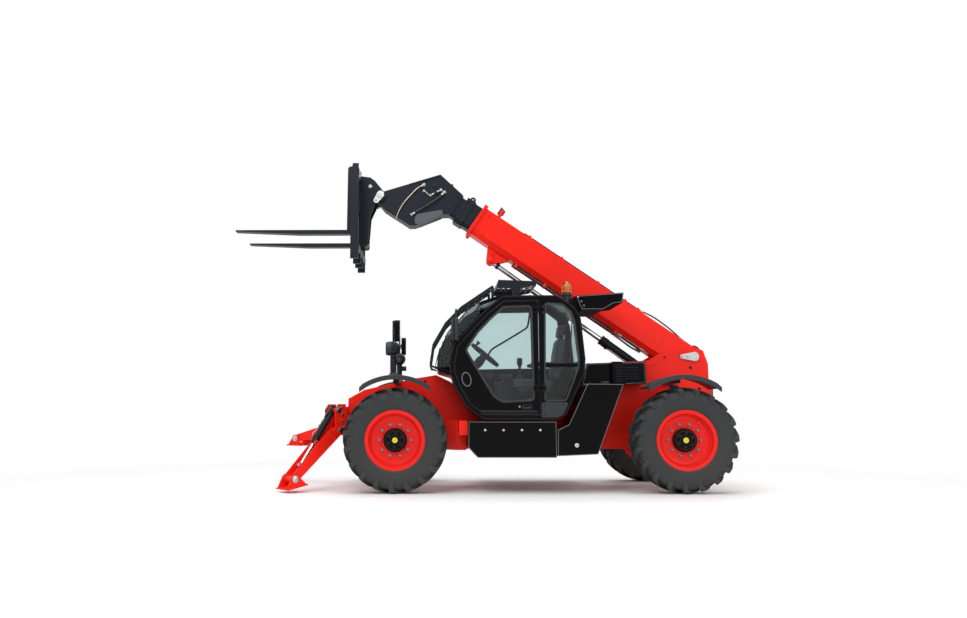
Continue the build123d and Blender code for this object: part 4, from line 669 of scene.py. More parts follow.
class StageSettings(bpy.types.PropertyGroup):
    """Camera, lamps and floor."""
    eye: FloatVectorProperty(name="Eye", description="Camera from under the front axle",
                             default=(-0.4102, 11.2436, 0.8674), size=3, subtype="XYZ", unit="LENGTH")
    heading: FloatProperty(name="Heading", description="Camera turn from straight across the machine",
                           default=math.radians(0.75), subtype="ANGLE")
    pitch: FloatProperty(name="Pitch", description="Camera tilt upwards", default=math.radians(6.66),
                         subtype="ANGLE")
    lens: FloatProperty(name="Lens", description="Focal length", default=33.69, unit="CAMERA")
    shift: FloatProperty(name="Shift", description="Sideways lens shift", default=0.0658)
    key: FloatProperty(name="Key lamp", description="Power of the main lamp", default=330.0, unit="POWER")
    fill: FloatProperty(name="Fill lamp", description="Power of the fill lamp", default=110.0, unit="POWER")
    top: FloatProperty(name="Top lamp", description="Power of the lamp overhead", default=560.0, unit="POWER")
    sky: FloatProperty(name="Sky", description="Strength of the plain surround", default=0.5)


FINISHES = {}  # filled by the finishes operator
BY_SLOT = {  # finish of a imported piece, by its slot
    "red_paint": "red", "black_paint": "satin", "black_plastic": "gloss", "dark_grey_plastic": "plastic",
    "chrome": "chrome", "steel": "steel", "tyre": "tyre", "glass": "glass", "seat_cover": "vinyl",
    "amber": "amber", "iron": "iron", "red_lens": "red_lens", "lamp_black": "gloss", "red_rim": "red",
}
BY_NODE = {  # and of those whose slot says too little
    "cab_shell": "gloss", "door": "gloss", "side_tank": "gloss", "step_box": "gloss",
    "back_panel": "gloss", "rear_roof_box": "matt", "controls": "plastic", "boom_pipes": "rubber",
    "engine_tub": "plastic",
}
HUB_RADIUS = 0.134  # black part of a wheel's middle


class HANDLER_OT_finishes(bpy.types.Operator):
    """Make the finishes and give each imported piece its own"""
    bl_idname = "handler.finishes"
    bl_label = "Finishes"

    def execute(self, context):
        tones = context.scene.handler_colours
        FINISHES.update(
            red=surface("red_paint", tones.red, 0.34, dust=0.02, edge=0.005, grain=0.02,
                        grain_scale=45.0, Specular_IOR_Level=0.16),
            # gloss black: its paler edge colour paints an edge highlight along the panels
            gloss=surface("gloss_black", tones.gloss_black, 0.20, dust=0.008, edge_sheen=0.5,
                          sheen_colour=(0.30, 0.31, 0.33), edge=0.006, grain=0.02, grain_scale=40.0,
                          Specular_IOR_Level=0.07),
            matt=surface("matt_black", tones.gloss_black, 0.75, dust=0.01, edge=0.006,
                         Specular_IOR_Level=0.06),
            # satin black: its paler edge colour paints an edge highlight along the parts
            satin=surface("satin_black", tones.satin_black, 0.42, dust=0.02, edge_sheen=0.3,
                          sheen_colour=(0.10, 0.11, 0.12), edge=0.004, grain=0.08, grain_scale=120.0,
                          Specular_IOR_Level=0.14),
            plastic=surface("dark_plastic", tones.plastic, 0.46, dust=0.03, edge=0.004, grain=0.15,
                            grain_scale=500.0, Specular_IOR_Level=0.35),
            tyre=surface("tyre_rubber", tones.rubber, 0.72, dust=0.10, edge=0.003, grain=0.25,
                         grain_scale=260.0, spread=0.2, Specular_IOR_Level=0.3),
            rubber=surface("hose_rubber", (0.012, 0.012, 0.013), 0.5, dust=0.05, grain=0.10),
            chrome=surface("hard_chrome", (0.50, 0.53, 0.58), 0.16, metallic=1.0, dust=0.02, edge=0.002,
                           grain=0.0),
            steel=surface("bare_steel", (0.55, 0.55, 0.56), 0.32, metallic=1.0, dust=0.08, edge=0.002,
                          grain=0.15, grain_scale=180.0),
            zinc=surface("zinc_plate", (0.36, 0.36, 0.35), 0.34, metallic=1.0, dust=0.04, edge=0.0015,
                         grain=0.10),
            nut=surface("dark_steel", (0.24, 0.23, 0.24), 0.30, metallic=1.0, dust=0.04, edge=0.0015,
                        grain=0.10),
            iron=surface("cast_iron", (0.009, 0.010, 0.014), 0.50, dust=0.01, edge=0.006, grain=0.12,
                         grain_scale=90.0, Specular_IOR_Level=0.10),
            white=surface("white_paint", (0.78, 0.79, 0.80), 0.35, dust=0.05, edge=0.002),
            vinyl=surface("seat_vinyl", (0.020, 0.020, 0.022), 0.55, dust=0.05, edge=0.012, grain=0.5,
                          grain_scale=700.0),
            yellow=surface("cap_yellow", tones.cap_yellow, 0.35, dust=0.04, edge=0.002, grain=0.02),
            brass=surface("brass", (0.55, 0.42, 0.16), 0.3, metallic=1.0, dust=0.05, edge=0.001),
            amber=clear("amber_lens", tones.amber, 0.12),
            red_lens=clear("red_lens", (0.75, 0.02, 0.02), 0.12),
            lens=clear("clear_lens", (0.95, 0.96, 0.97), 0.03),
            glass=clear("window_glass", tones.pane, 0.0, 1.01, 0.5),
            mirror=surface("mirror_silver", (0.85, 0.87, 0.88), 0.03, metallic=1.0, dust=0.02, edge=0.0005,
                           grain=0.0),
            amber_core=surface("amber_core", (0.90, 0.42, 0.04), 0.3, dust=0.0, edge=0.001),
            tan_pipe=surface("tan_pipe", (0.42, 0.34, 0.24), 0.34, metallic=0.8, dust=0.06, edge=0.001),
            grey_satin=surface("grey_satin", (0.060, 0.070, 0.084), 0.42, dust=0.06, edge=0.003, grain=0.10,
                               grain_scale=120.0),
            # grey gloss: the door's boss, and the paler bands painted as edge highlights on the side boxes
            grey_gloss=surface("grey_gloss", (0.12, 0.12, 0.125), 0.24, dust=0.03, edge=0.002, grain=0.02,
                               Coat_Weight=0.4, Coat_Roughness=0.08),
            lamp_face=surface("lamp_face", (0.72, 0.74, 0.76), 0.12, metallic=0.9, dust=0.02, edge=0.001,
                              grain=0.30, grain_scale=160.0),
            webbing=surface("belt_webbing", (0.030, 0.030, 0.034), 0.75, dust=0.05, grain=0.8,
                            grain_scale=900.0),
            rim=surface("button_red", (0.60, 0.02, 0.02), 0.35, dust=0.02, edge=0.001),
        )
        for part in frame["record"]["subparts"]:
            chosen = BY_NODE.get(part["node"], BY_SLOT[part["material_slot"]])
            for material_slot in frame["nodes"][part["node"]].material_slots:
                material_slot.material = FINISHES[chosen]
        for end in ENDS:
            for side, _ in SIDES:
                wheel = Vector(JOINTS[f"{end}_{side}_spin"]["pos_m"])
                paint = rim_paint(f"rim_{end}_{side}", tones.rim_red, tones.gloss_black, wheel, HUB_RADIUS)
                frame["nodes"][f"{end}_{side}_rim"].material_slots[0].material = paint
        return {"FINISHED"}


# ------------------------------------------------------------------ wheels

CARCASS = [  # distance from the wheel's middle plane, radius: one half of a tyre, from the crown down
    (0.000, 0.549), (0.080, 0.547), (0.140, 0.541), (0.170, 0.530), (0.184, 0.512), (0.191, 0.484),
    (0.193, 0.474), (0.1965, 0.470), (0.1955, 0.463), (0.198, 0.440), (0.199, 0.415),
    (0.1975, 0.392), (0.195, 0.374), (0.1975, 0.371), (0.1965, 0.364), (0.192, 0.358),
    (0.188, 0.345), (0.180, 0.338), (0.168, 0.325), (0.166, 0.306),
]
LUG = [  # base distance and radius, top distance and radius, turn in degrees, width
    (0.186, 0.480, 0.1930, 0.477, 0.0, 0.046),
    (0.180, 0.508, 0.1995, 0.506, 0.3, 0.050),
    (0.168, 0.528, 0.1998, 0.552, 1.0, 0.054),
    (0.146, 0.536, 0.1860, 0.573, 2.2, 0.056),
    (0.118, 0.540, 0.1500, 0.579, 4.6, 0.054),
    (0.060, 0.543, 0.0750, 0.5838, 10.5, 0.048),
    (0.000, 0.545, 0.0000, 0.5848, 17.0, 0.044),
    (-0.034, 0.545, -0.0240, 0.5845, 19.4, 0.042),
]
LUG_FLARE = 1.22  # a lug's foot is this much wider than its top


def add_tyre(bm, centre, count):
    """Tyre round an axle across the machine: revolved carcass and two rows of slanting lugs."""
    place = facing(centre, LEFT)
    profile = [(-y, r) for y, r in reversed(CARCASS)] + CARCASS[1:]
    add_revolved(bm, place, profile + profile[:1], 114)
    for half in (1, -1):
        for index in range(count):
            start = math.tau * (index + (0.5 if half < 0 else 0.0)) / count
            rings = []
            for base_y, base_r, top_y, top_r, turn, width in LUG:
                middle = start + math.radians(turn)
                ring = []
                for y, r, wide in ((base_y, base_r, width * LUG_FLARE), (top_y, top_r, width)):
                    spread = wide / 2 / r
                    ends = (middle - spread, middle + spread)
                    for angle in ends if y == base_y else reversed(ends):
                        spot = Vector((r * math.cos(angle), r * math.sin(angle), half * y))
                        ring.append(bm.verts.new(place @ spot))
                rings.append(ring)
            join_rings(bm, rings, capped=False)
            bm.faces.new(rings[0])
            bm.faces.new(list(reversed(rings[-1])))


class HANDLER_OT_tyres(bpy.types.Operator):
    """Make the four tyres with their lugs"""
    bl_idname = "handler.tyres"
    bl_label = "Tyres"

    def execute(self, context):
        sizes = context.scene.handler_sizes
        for end in ENDS:
            for side, _ in SIDES:
                centre = Vector(JOINTS[f"{end}_{side}_spin"]["pos_m"])
                bm = bmesh.new()
                add_tyre(bm, centre, sizes.lugs)
                name = f"{end}_{side}_tyre"
                tyre = finish_piece(bm, f"{name}_tread", f"{end}_{side}_wheel", "tyre",
                                    bevel=0.004, angle=30)
                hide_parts(name)
        return {"FINISHED"}


class HANDLER_OT_wheels(bpy.types.Operator):
    """Make the wheel nuts, the hubs' caps and bolts and the valves"""
    bl_idname = "handler.wheels"
    bl_label = "Wheel fittings"

    disc: size("Disc", "Disc's outer face from the wheel's middle plane", 0.064)
    hub: size("Hub", "Hub cover's outer face from the wheel's middle plane", 0.128)

    def execute(self, context):
        sizes = context.scene.handler_sizes
        for end in ENDS:
            for side, sign in SIDES:
                body = f"{end}_{side}_wheel"
                centre = Vector(JOINTS[f"{end}_{side}_spin"]["pos_m"])
                out = LEFT * sign
                disc = facing(centre + out * self.disc, out)
                bm = bmesh.new()
                for index in range(sizes.stud_count):
                    turn = spin(math.tau * index / sizes.stud_count)
                    spot = disc @ turn @ offset(sizes.stud_circle / 2, 0, 0)
                    add_revolved(bm, spot, [(0, 0.021), (0.006, 0.019)], 20)
                    add_bolt(bm, spot @ offset(0, 0, 0.005), 0.030, 0.026, washer=False)
                    add_revolved(bm, spot, [(0.02, 0.009), (0.040, 0.009), (0.042, 0.007)], 12)
                finish_piece(bm, f"{body}_nuts", body, "nut", bevel=0.0012)
                face = facing(centre + out * self.hub, out)
                bm = bmesh.new()
                add_revolved(bm, face, [(0, 0.104), (0.004, 0.102), (0.005, 0.060), (0.009, 0.056),
                                        (0.009, 0.036), (0.006, 0.033), (0.006, 0.0)], 48)
                for index in range(6):
                    turn = spin(math.tau * (index + 0.4) / 6)
                    add_bolt(bm, face @ turn @ offset(0.080, 0, 0.004), 0.014, 0.006)
                finish_piece(bm, f"{body}_cover", body, "gloss", bevel=0.0012)
                bm = bmesh.new()
                add_revolved(bm, face, [(0.004, 0.031), (0.013, 0.031), (0.017, 0.026), (0.017, 0.010),
                                        (0.012, 0.009), (0.012, 0.0)], 36)
                finish_piece(bm, f"{body}_cap", body, "yellow", bevel=0.001)
                bm = bmesh.new()
                add_revolved(bm, face, [(0.011, 0.006), (0.016, 0.006), (0.0165, 0.0)], 14)
                valve = disc @ spin(0.9) @ offset(0.252, 0, 0.012)
                add_revolved(bm, valve, [(0, 0.006), (0.030, 0.006), (0.034, 0.0045), (0.040, 0.0045)], 12)
                finish_piece(bm, f"{body}_plug", body, "brass")
        return {"FINISHED"}


# ------------------------------------------------------------------ frame and axles

FRAME_SEAM = [(-3.548, 1.679), (-3.466, 1.638), (-3.311, 1.607), (-3.096, 1.470), (-2.790, 1.440)]
FRAME_HOLES = [(-3.235, 1.560), (-3.542, 1.433), (-0.330, 1.262), (0.330, 1.080), (-3.640, 1.180)]


class HANDLER_OT_frame(bpy.types.Operator):
    """Make the frame's pin keepers, welds, plugs, hoses and bolts"""
    bl_idname = "handler.frame"
    bl_label = "Frame fittings"

    plate: size("Plates", "Outer faces of the side plates from the middle plane", 0.240)

    def execute(self, context):
        sizes = context.scene.handler_sizes
        keeper, weld, plug, bolt = (bmesh.new() for _ in range(4))
        for sign in (1, -1):
            out = LEFT * sign
            pin = facing((BOOM_PIVOT.x, sign * 0.258, BOOM_PIVOT.z), out, UP * sign * -1)
            add_keeper(keeper, pin, 0.150, 0.056, 0.026)
            base = facing((LIFT_BASE.x, sign * self.plate, LIFT_BASE.z), out, UP * sign * -1)
            add_plate(plug, base, capsule(0.0, 0.046, 0.046), 0.010)
            add_keeper(plug, base @ spin(-0.7), 0.112, 0.030, 0.022, 0.014)
            face = sign * (self.plate + 0.001)
            add_weld(weld, [ahead(x, face, z) for x, z in FRAME_SEAM], sizes.weld)
            for x in (-0.900, -2.450):
                add_weld(weld, [ahead(x + u, face, 0.560 + v) for u, v in circle(0.060, 16)], sizes.weld)
            add_weld(weld, route(ahead, (0.586, face, 0.650), (0.586, face, 0.830)), sizes.weld)
            add_weld(weld, route(ahead, (-0.30, face, 1.155), (0.06, face, 1.095), (0.50, face, 1.0)),
                     sizes.weld * 0.8)
            for x, z in FRAME_HOLES:
                add_revolved(plug, facing(ahead(x, sign * self.plate, z), out),
                             [(0, 0.019), (0.003, 0.018), (0.004, 0.014), (0.002, 0.012), (0.002, 0)], 24)
            for x in (-0.12, 0.12, -3.10, -3.34):
                add_bolt(bolt, facing(ahead(x, sign * self.plate, 0.775), out), sizes.bolt, 0.012)
            for x, z in ((-0.55, 0.50), (-0.55, 0.56), (-3.02, 0.80), (-3.42, 0.80)):
                add_bolt(bolt, facing(ahead(x, sign * self.plate, z), out), sizes.bolt, 0.012)
        front = facing(ahead(0.600, 0, 0.735), FORWARD)
        for y in (-0.150, -0.050, 0.050, 0.150):
            for z in (-0.060, 0.060):
                add_bolt(bolt, front @ offset(y, z, 0), sizes.bolt, 0.012)
        finish_piece(keeper, "pivot_keepers", "chassis", "zinc", bevel=0.002)
        finish_piece(weld, "frame_welds", "chassis", "red", angle=70)
        finish_piece(plug, "frame_plugs", "chassis", "satin", bevel=0.001)
        finish_piece(bolt, "frame_bolts", "chassis", "red", bevel=0.001)
        self.hoses(sizes)
        return {"FINISHED"}

    def hoses(self, sizes):
        """Hoses from the frame's valve block to the stabilisers and along the frame's floor."""
        hose, metal, block = bmesh.new(), bmesh.new(), bmesh.new()
        valve = facing(ahead(-0.760, 0.0, 1.010), UP)
        add_block(block, valve, (0.220, 0.180, 0.110))
        for index in range(4):
            spool = valve @ offset(-0.075 + 0.05 * index, 0.03, 0.055)
            add_revolved(block, spool, [(0, 0.019), (0.030, 0.019), (0.034, 0.015)], 18)
        for sign in (1, -1):
            for index, y in enumerate((0.060, 0.110)):
                add_hose(hose, metal, route(ahead, (-0.65, sign * y, 1.02), (-0.45, sign * y, 1.06),
                                            (-0.1, sign * 0.16, 1.04), (0.30, sign * 0.17, 0.96),
                                            (0.54, sign * 0.15, 0.88 + 0.03 * index)), sizes.hose,
                         (True, False))
            add_hose(hose, metal, route(ahead, (-0.87, sign * 0.05, 1.01), (-1.10, sign * 0.10, 0.98),
                                        (-2.0, sign * 0.14, 0.84), (-2.9, sign * 0.13, 0.90),
                                        (-3.28, sign * 0.12, 1.10)), sizes.hose)
            add_hose(hose, metal, route(ahead, (-3.66, sign * 0.10, 0.98), (-3.64, sign * 0.14, 1.12),
                                        (-3.60, sign * 0.15, 1.26), (-3.52, sign * 0.17, 1.30)),
                     sizes.hose * 0.8)
        finish_piece(block, "valve_block", "chassis", "iron", bevel=0.004)
        finish_piece(hose, "frame_hoses", "chassis", "rubber")
        finish_piece(metal, "frame_hose_ends", "chassis", "zinc", bevel=0.001)


class HANDLER_OT_axles(bpy.types.Operator):
    """Make the axles' flanges, bolts, shafts, steering cylinders and kingpin caps"""
    bl_idname = "handler.axles"
    bl_label = "Axle fittings"

    kingpin: size("Kingpins", "Kingpins from the middle plane", 0.840)
    yoke: size("Yokes", "Yoke arms' outer faces above and below the axle line", 0.129)

    def execute(self, context):
        for end, axle, inward in (("front", FRONT_AXLE, -1), ("rear", REAR_AXLE, 1)):
            middle = Vector((axle.x, 0, axle.z))
            casting, bolt, shaft, barrel, rod = (bmesh.new() for _ in range(5))
            for side, sign in SIDES:
                flange = facing(middle + LEFT * sign * 0.118, LEFT * sign)
                add_revolved(casting, flange, [(0, 0.148), (0.002, 0.153), (0.016, 0.153),
                                               (0.018, 0.140)], 40)
                add_bolt_ring(bolt, flange @ offset(0, 0, 0.017), 12, 0.143, 0.016, 0.009)
                trumpet = facing(middle + LEFT * sign * 0.225, LEFT * sign)
                add_revolved(casting, trumpet, [(0, 0.086), (0.06, 0.080), (0.20, 0.077), (0.40, 0.0765)], 32)
                for angle in (45, 135, 225, 315):
                    rib = trumpet @ spin(math.radians(angle))
                    add_block(casting, rib @ offset(0.090, 0, 0.05), (0.036, 0.012, 0.150))
                for up in (1, -1):
                    spot = middle + LEFT * sign * self.kingpin + UP * up * self.yoke
                    cap = facing(spot, UP * up, FORWARD)
                    add_revolved(casting, cap, [(0, 0.050), (0.010, 0.050), (0.014, 0.045),
                                                (0.014, 0.012), (0.018, 0.010), (0.018, 0)], 28)
                    add_bolt_ring(bolt, cap @ offset(0, 0, 0.010), 4, 0.036, 0.013, 0.008, 0.6)
                knuckle = bmesh.new()
                out = middle + LEFT * sign * (self.kingpin + 0.064)
                add_bolt_ring(knuckle, facing(out, -LEFT * sign), 8, 0.080, 0.015, 0.009)
                finish_piece(knuckle, f"{end}_{side}_knuckle_bolts",
                             f"{end}_{side}_knuckle", "nut", bevel=0.001)
            across = middle + FORWARD * inward * 0.150
            add_rod(barrel, across - LEFT * 0.250 + UP * 0.02,
                    across + LEFT * 0.250 + UP * 0.02, 0.040, 28, 0.004)
            for sign in (1, -1):
                gland = across + LEFT * sign * 0.225 + UP * 0.02
                add_rod(barrel, gland, gland + LEFT * sign * 0.045, 0.047, 28, 0.003)
                tip = across + LEFT * sign * 0.40 + UP * 0.02
                add_rod(rod, gland, tip, 0.019, 20, 0.001)
                add_block(casting, facing(across + LEFT * sign * 0.180 - FORWARD * inward * 0.030, UP),
                          (0.040, 0.090, 0.090))
            nose = facing(middle + FORWARD * inward * 0.120, FORWARD * inward)
            add_revolved(casting, nose, [(0, 0.100), (0.040, 0.085), (0.090, 0.062), (0.130, 0.060)], 32)
            add_revolved(shaft, nose, [(0.130, 0.068), (0.146, 0.068), (0.148, 0.040), (0.200, 0.036),
                                       (0.215, 0.026), (0.52, 0.026), (0.53, 0.05), (0.56, 0.05)], 28)
            add_bolt_ring(bolt, nose @ offset(0, 0, 0.146), 8, 0.052, 0.012, 0.007)
            add_revolved(casting, facing(middle - FORWARD * inward * 0.115, -FORWARD * inward),
                         [(0, 0.098), (0.030, 0.094), (0.044, 0.066), (0.044, 0)], 32)
            add_bolt_ring(bolt, facing(middle - FORWARD * inward * 0.145,
                                       -FORWARD * inward), 8, 0.083, 0.014, 0.008)
            add_revolved(bolt, facing(middle - FORWARD * inward * 0.159 - UP * 0.02, -FORWARD * inward),
                         [(0, 0.016), (0.010, 0.016)], 6)
            finish_piece(casting, f"{end}_axle_castings", "chassis", "satin", bevel=0.002)
            finish_piece(bolt, f"{end}_axle_bolts", "chassis", "nut", bevel=0.001)
            finish_piece(shaft, f"{end}_shaft", "chassis", "satin", bevel=0.002)
            finish_piece(barrel, f"{end}_steering_cylinder", "chassis", "satin", bevel=0.001)
            finish_piece(rod, f"{end}_steering_rods", "chassis", "chrome")
        return {"FINISHED"}


# ------------------------------------------------------------------ boom

PIPE_LINES = (0.040, -0.040)
PIPE_CLIPS = (0.830, 1.020, 1.420, 1.960, 2.440)
MOUTH_WELD = 3.099  # along the boom, at the outer section's front edge
UNDER_PIPES = -0.264  # pipes under the boom, from the pivot's line
BOOM_HOSES = [
    (0.040, ((0.830, 0.026), (0.650, 0.054), (0.452, 0.050), (0.290, 0.032), (0.190, 0.013))),
    (-0.040, ((0.830, 0.026), (0.620, 0.027), (0.470, 0.020), (0.368, 0.013))),
]


class HANDLER_OT_boom(bpy.types.Operator):
    """Make the boom's pipes, hoses, clips, welds, wear pads, lamp and cylinder pin"""
    bl_idname = "handler.boom"
    bl_label = "Boom fittings"

    top: size("Top", "Boom's top face above the pivot's line", 0.117)
    half: size("Half width", "Boom's side faces from the middle plane", 0.150)
    front: size("Front", "Front of the outer section along the boom", 3.100)

    def execute(self, context):
        sizes = context.scene.handler_sizes
        self.pipes()
        self.welds(sizes)
        self.pads()
        self.lamp()
        return {"FINISHED"}

    def pipes(self):
        """Steel pipes in clips along the top, and the hoses behind them."""
        pipe, hose, clip, metal = (bmesh.new() for _ in range(4))
        for y in PIPE_LINES:
            add_pipe(pipe, route(on_boom, (0.836, self.top + 0.026, y), (1.6, self.top + 0.026, y),
                                 (2.43, self.top + 0.026, y), (2.50, self.top + 0.026, y)), 0.010, 16, 3)
            add_pipe(pipe, route(on_boom, (2.50, self.top + 0.026, y),
                                 (2.53, self.top + 0.025, y), (2.548, self.top + 0.016, y),
                                 (2.552, self.top - 0.002, y)), 0.010, 16, 5)
            add_fitting(metal, facing(on_boom(2.486, self.top + 0.026, y), -BOOM_DIR), 0.0098)
            add_revolved(metal, boom_top(2.552, y, self.top), [(0, 0.021), (0.008, 0.021)], 6)
        for y, places in BOOM_HOSES:
            points = [on_boom(along, self.top + above, y) for along, above in places]
            add_pipe(hose, points, 0.0092, 16, 8)
            add_fitting(metal, facing(points[0], points[1] - points[0]), 0.0094)
            add_block(clip, boom_top(places[-1][0], y, self.top + 0.008), (0.044, 0.044, 0.016))
            add_fitting(metal, facing(points[-1], points[-2] - points[-1]), 0.0094)
        for along in PIPE_CLIPS:
            middle = boom_top(along + 0.023, 0.0, self.top)
            add_block(clip, middle @ offset(0, 0, 0.0125), (0.128, 0.046, 0.025))
            add_block(clip, middle @ offset(0, 0, 0.0335), (0.122, 0.042, 0.014))
            for y in (-0.050, 0.0, 0.050):
                add_bolt(metal, middle @ offset(y, 0, 0.0405), 0.013, 0.008)
        for y in (0.070, 0.105):
            add_hose(hose, metal, route(on_boom, (0.095, 0.080, y), (0.060, 0.128, y), (0.000, 0.146, y),
                                        (-0.060, 0.118, y), (-0.085, 0.060, y), (-0.080, 0.0, y)),
                     0.0085, (True, False))
        for y in (0.085, 0.115, -0.085, -0.115):
            add_hose(hose, metal, route(on_boom, (0.520, -0.262, y), (0.640, -0.275, y),
                                        (0.760, -0.272, y), (0.900, UNDER_PIPES, y)), 0.0085)
            add_pipe(pipe, route(on_boom, (0.900, UNDER_PIPES, y), (1.7, UNDER_PIPES, y),
                                 (2.45, UNDER_PIPES, y)), 0.0075, 12, 2)
        for along in (0.93, 1.45, 1.97, 2.40):
            for sign in (1, -1):
                shoe = facing(on_boom(along, -0.262, 0.100 * sign), -BOOM_UP, BOOM_DIR)
                add_block(clip, shoe, (0.058, 0.034, 0.022))
                add_bolt(metal, shoe @ offset(0, 0, 0.011), 0.013, 0.007)
        made = finish_piece(pipe, "boom_pipe_runs", "boom_outer", "satin")
        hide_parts("boom_pipes")
        finish_piece(hose, "boom_hoses", "boom_outer", "rubber")
        finish_piece(clip, "boom_clips", "boom_outer", "red", bevel=0.003)
        finish_piece(metal, "boom_hose_ends", "boom_outer", "zinc", bevel=0.001)

    def welds(self, sizes):
        """Weld beads at the cheeks, the collar and the cylinder's lugs."""
        weld = bmesh.new()
        for sign in (1, -1):
            face = sign * (self.half + 0.001)
            add_weld(weld, route(on_boom, (0.420, 0.110, face), (0.420, -0.190, face)), sizes.weld)
            add_weld(weld, route(on_boom, (0.020, -0.188, face), (0.420, -0.190, face)), sizes.weld)
            add_weld(weld, route(on_boom, (0.430, -0.194, face), (3.098, -0.194, face)),
                     sizes.weld * 0.7)
            add_weld(weld, route(on_boom, (MOUTH_WELD, 0.116, face),
                                 (MOUTH_WELD, -0.193, face)), sizes.weld)
            for inner in (0.064, 0.042):
                line = [on_boom(along, -0.254, sign * inner) for along in (2.508, 2.826)]
                add_weld(weld, line, sizes.weld)
            add_weld(weld, [on_boom(u, v, face) for u, v in circle(0.084, 20)], sizes.weld)
        add_weld(weld, route(on_boom, (MOUTH_WELD, 0.118, -0.150),
                             (MOUTH_WELD, 0.118, 0.150)), sizes.weld)
        finish_piece(weld, "boom_welds", "boom_outer", "red", angle=70)

    def pads(self):
        """Wear pad bolts on the front collar, and the lift cylinder's pin."""
        bolt, pad, pin = bmesh.new(), bmesh.new(), bmesh.new()
        for sign in (1, -1):
            for above in (0.060, -0.010, -0.110, -0.170):
                add_bolt(bolt, boom_cheek(self.front + 0.021, above,
                                          sign * (self.half + 0.030)), 0.017, 0.010)
            for above in (0.055, -0.160):
                for along in (2.960, 3.030):
                    add_bolt(bolt, boom_cheek(along, above, sign * self.half), 0.019, 0.011)
            lug = facing(on_boom(2.697, -0.383, sign * 0.064), LEFT * sign, BOOM_UP)
            add_revolved(pin, lug, [(0, 0.050), (0.006, 0.050), (0.008, 0.046), (0.008, 0.031),
                                    (0.018, 0.031), (0.020, 0.028), (0.020, 0)], 36)
            add_keeper(pin, lug @ offset(0, 0, 0.008) @ spin(1.9), 0.075, 0.020, 0.014, 0.007, (1.0,))
        for y in (-0.110, -0.040, 0.040, 0.110):
            add_bolt(bolt, boom_top(self.front + 0.021, y, self.top + 0.030), 0.017, 0.010)
            add_bolt(bolt, facing(on_boom(self.front + 0.021, -0.283, y * 0.8), -BOOM_UP,
                                  BOOM_DIR), 0.017, 0.010)
        nose = facing(on_boom(self.front + 0.042, 0, 0), BOOM_DIR, BOOM_UP)
        for y in (-0.080, 0.080):
            add_block(pad, nose @ offset(y, 0.112, -0.010), (0.070, 0.018, 0.030))
            add_block(pad, nose @ offset(y, -0.248, -0.010), (0.070, 0.018, 0.030))
        for sign in (1, -1):
            for above in (0.040, -0.130):
                add_block(pad, nose @ offset(sign * 0.146, above, -0.010), (0.016, 0.080, 0.030))
        finish_piece(bolt, "boom_bolts", "boom_outer", "red", bevel=0.001)
        finish_piece(pad, "boom_wear_pads", "boom_outer", "rubber", bevel=0.002)
        finish_piece(pin, "lift_pin_upper", "boom_outer", "red", bevel=0.001)

    def lamp(self):
        """Work lamp on its bracket at the boom's front."""
        bracket, case, glow = bmesh.new(), bmesh.new(), bmesh.new()
        foot = boom_top(2.900, 0.0, self.top)
        add_block(bracket, foot @ offset(0, 0, 0.004), (0.070, 0.100, 0.008))
        for x in (-0.062, 0.062):
            add_block(bracket, foot @ offset(x * 0.95, 0.030, 0.062), (0.006, 0.040, 0.108))
        add_block(bracket, foot @ offset(0, 0.030, 0.008), (0.122, 0.040, 0.008))
        for x in (-0.030, 0.030):
            add_bolt(case, foot @ offset(x, -0.030, 0.008), 0.016, 0.009)
        lens = facing(on_boom(2.962, self.top + 0.100, 0.0), BOOM_DIR, BOOM_UP)
        add_loft(case, lens, ((-0.058, 0.066, 0.050, 0.016), (-0.050, 0.084, 0.064, 0.016),
                              (-0.012, 0.104, 0.084, 0.016), (0.0, 0.110, 0.090, 0.016),
                              (0.006, 0.110, 0.090, 0.016)))
        for x in (-0.036, -0.018, 0.0, 0.018, 0.036):
            add_block(case, lens @ offset(x, 0, -0.052), (0.004, 0.060, 0.024))
        add_plate(glow, lens @ offset(0, 0, 0.006), rounded(0.096, 0.076, 0.012), 0.004)
        finish_piece(bracket, "work_lamp_bracket", "boom_outer", "red", bevel=0.002)
        made = finish_piece(case, "work_lamp_case", "boom_outer", "plastic", bevel=0.002)
        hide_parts("work_lamp")
        finish_piece(glow, "work_lamp_lens", "boom_outer", "lamp_face", bevel=0.001)


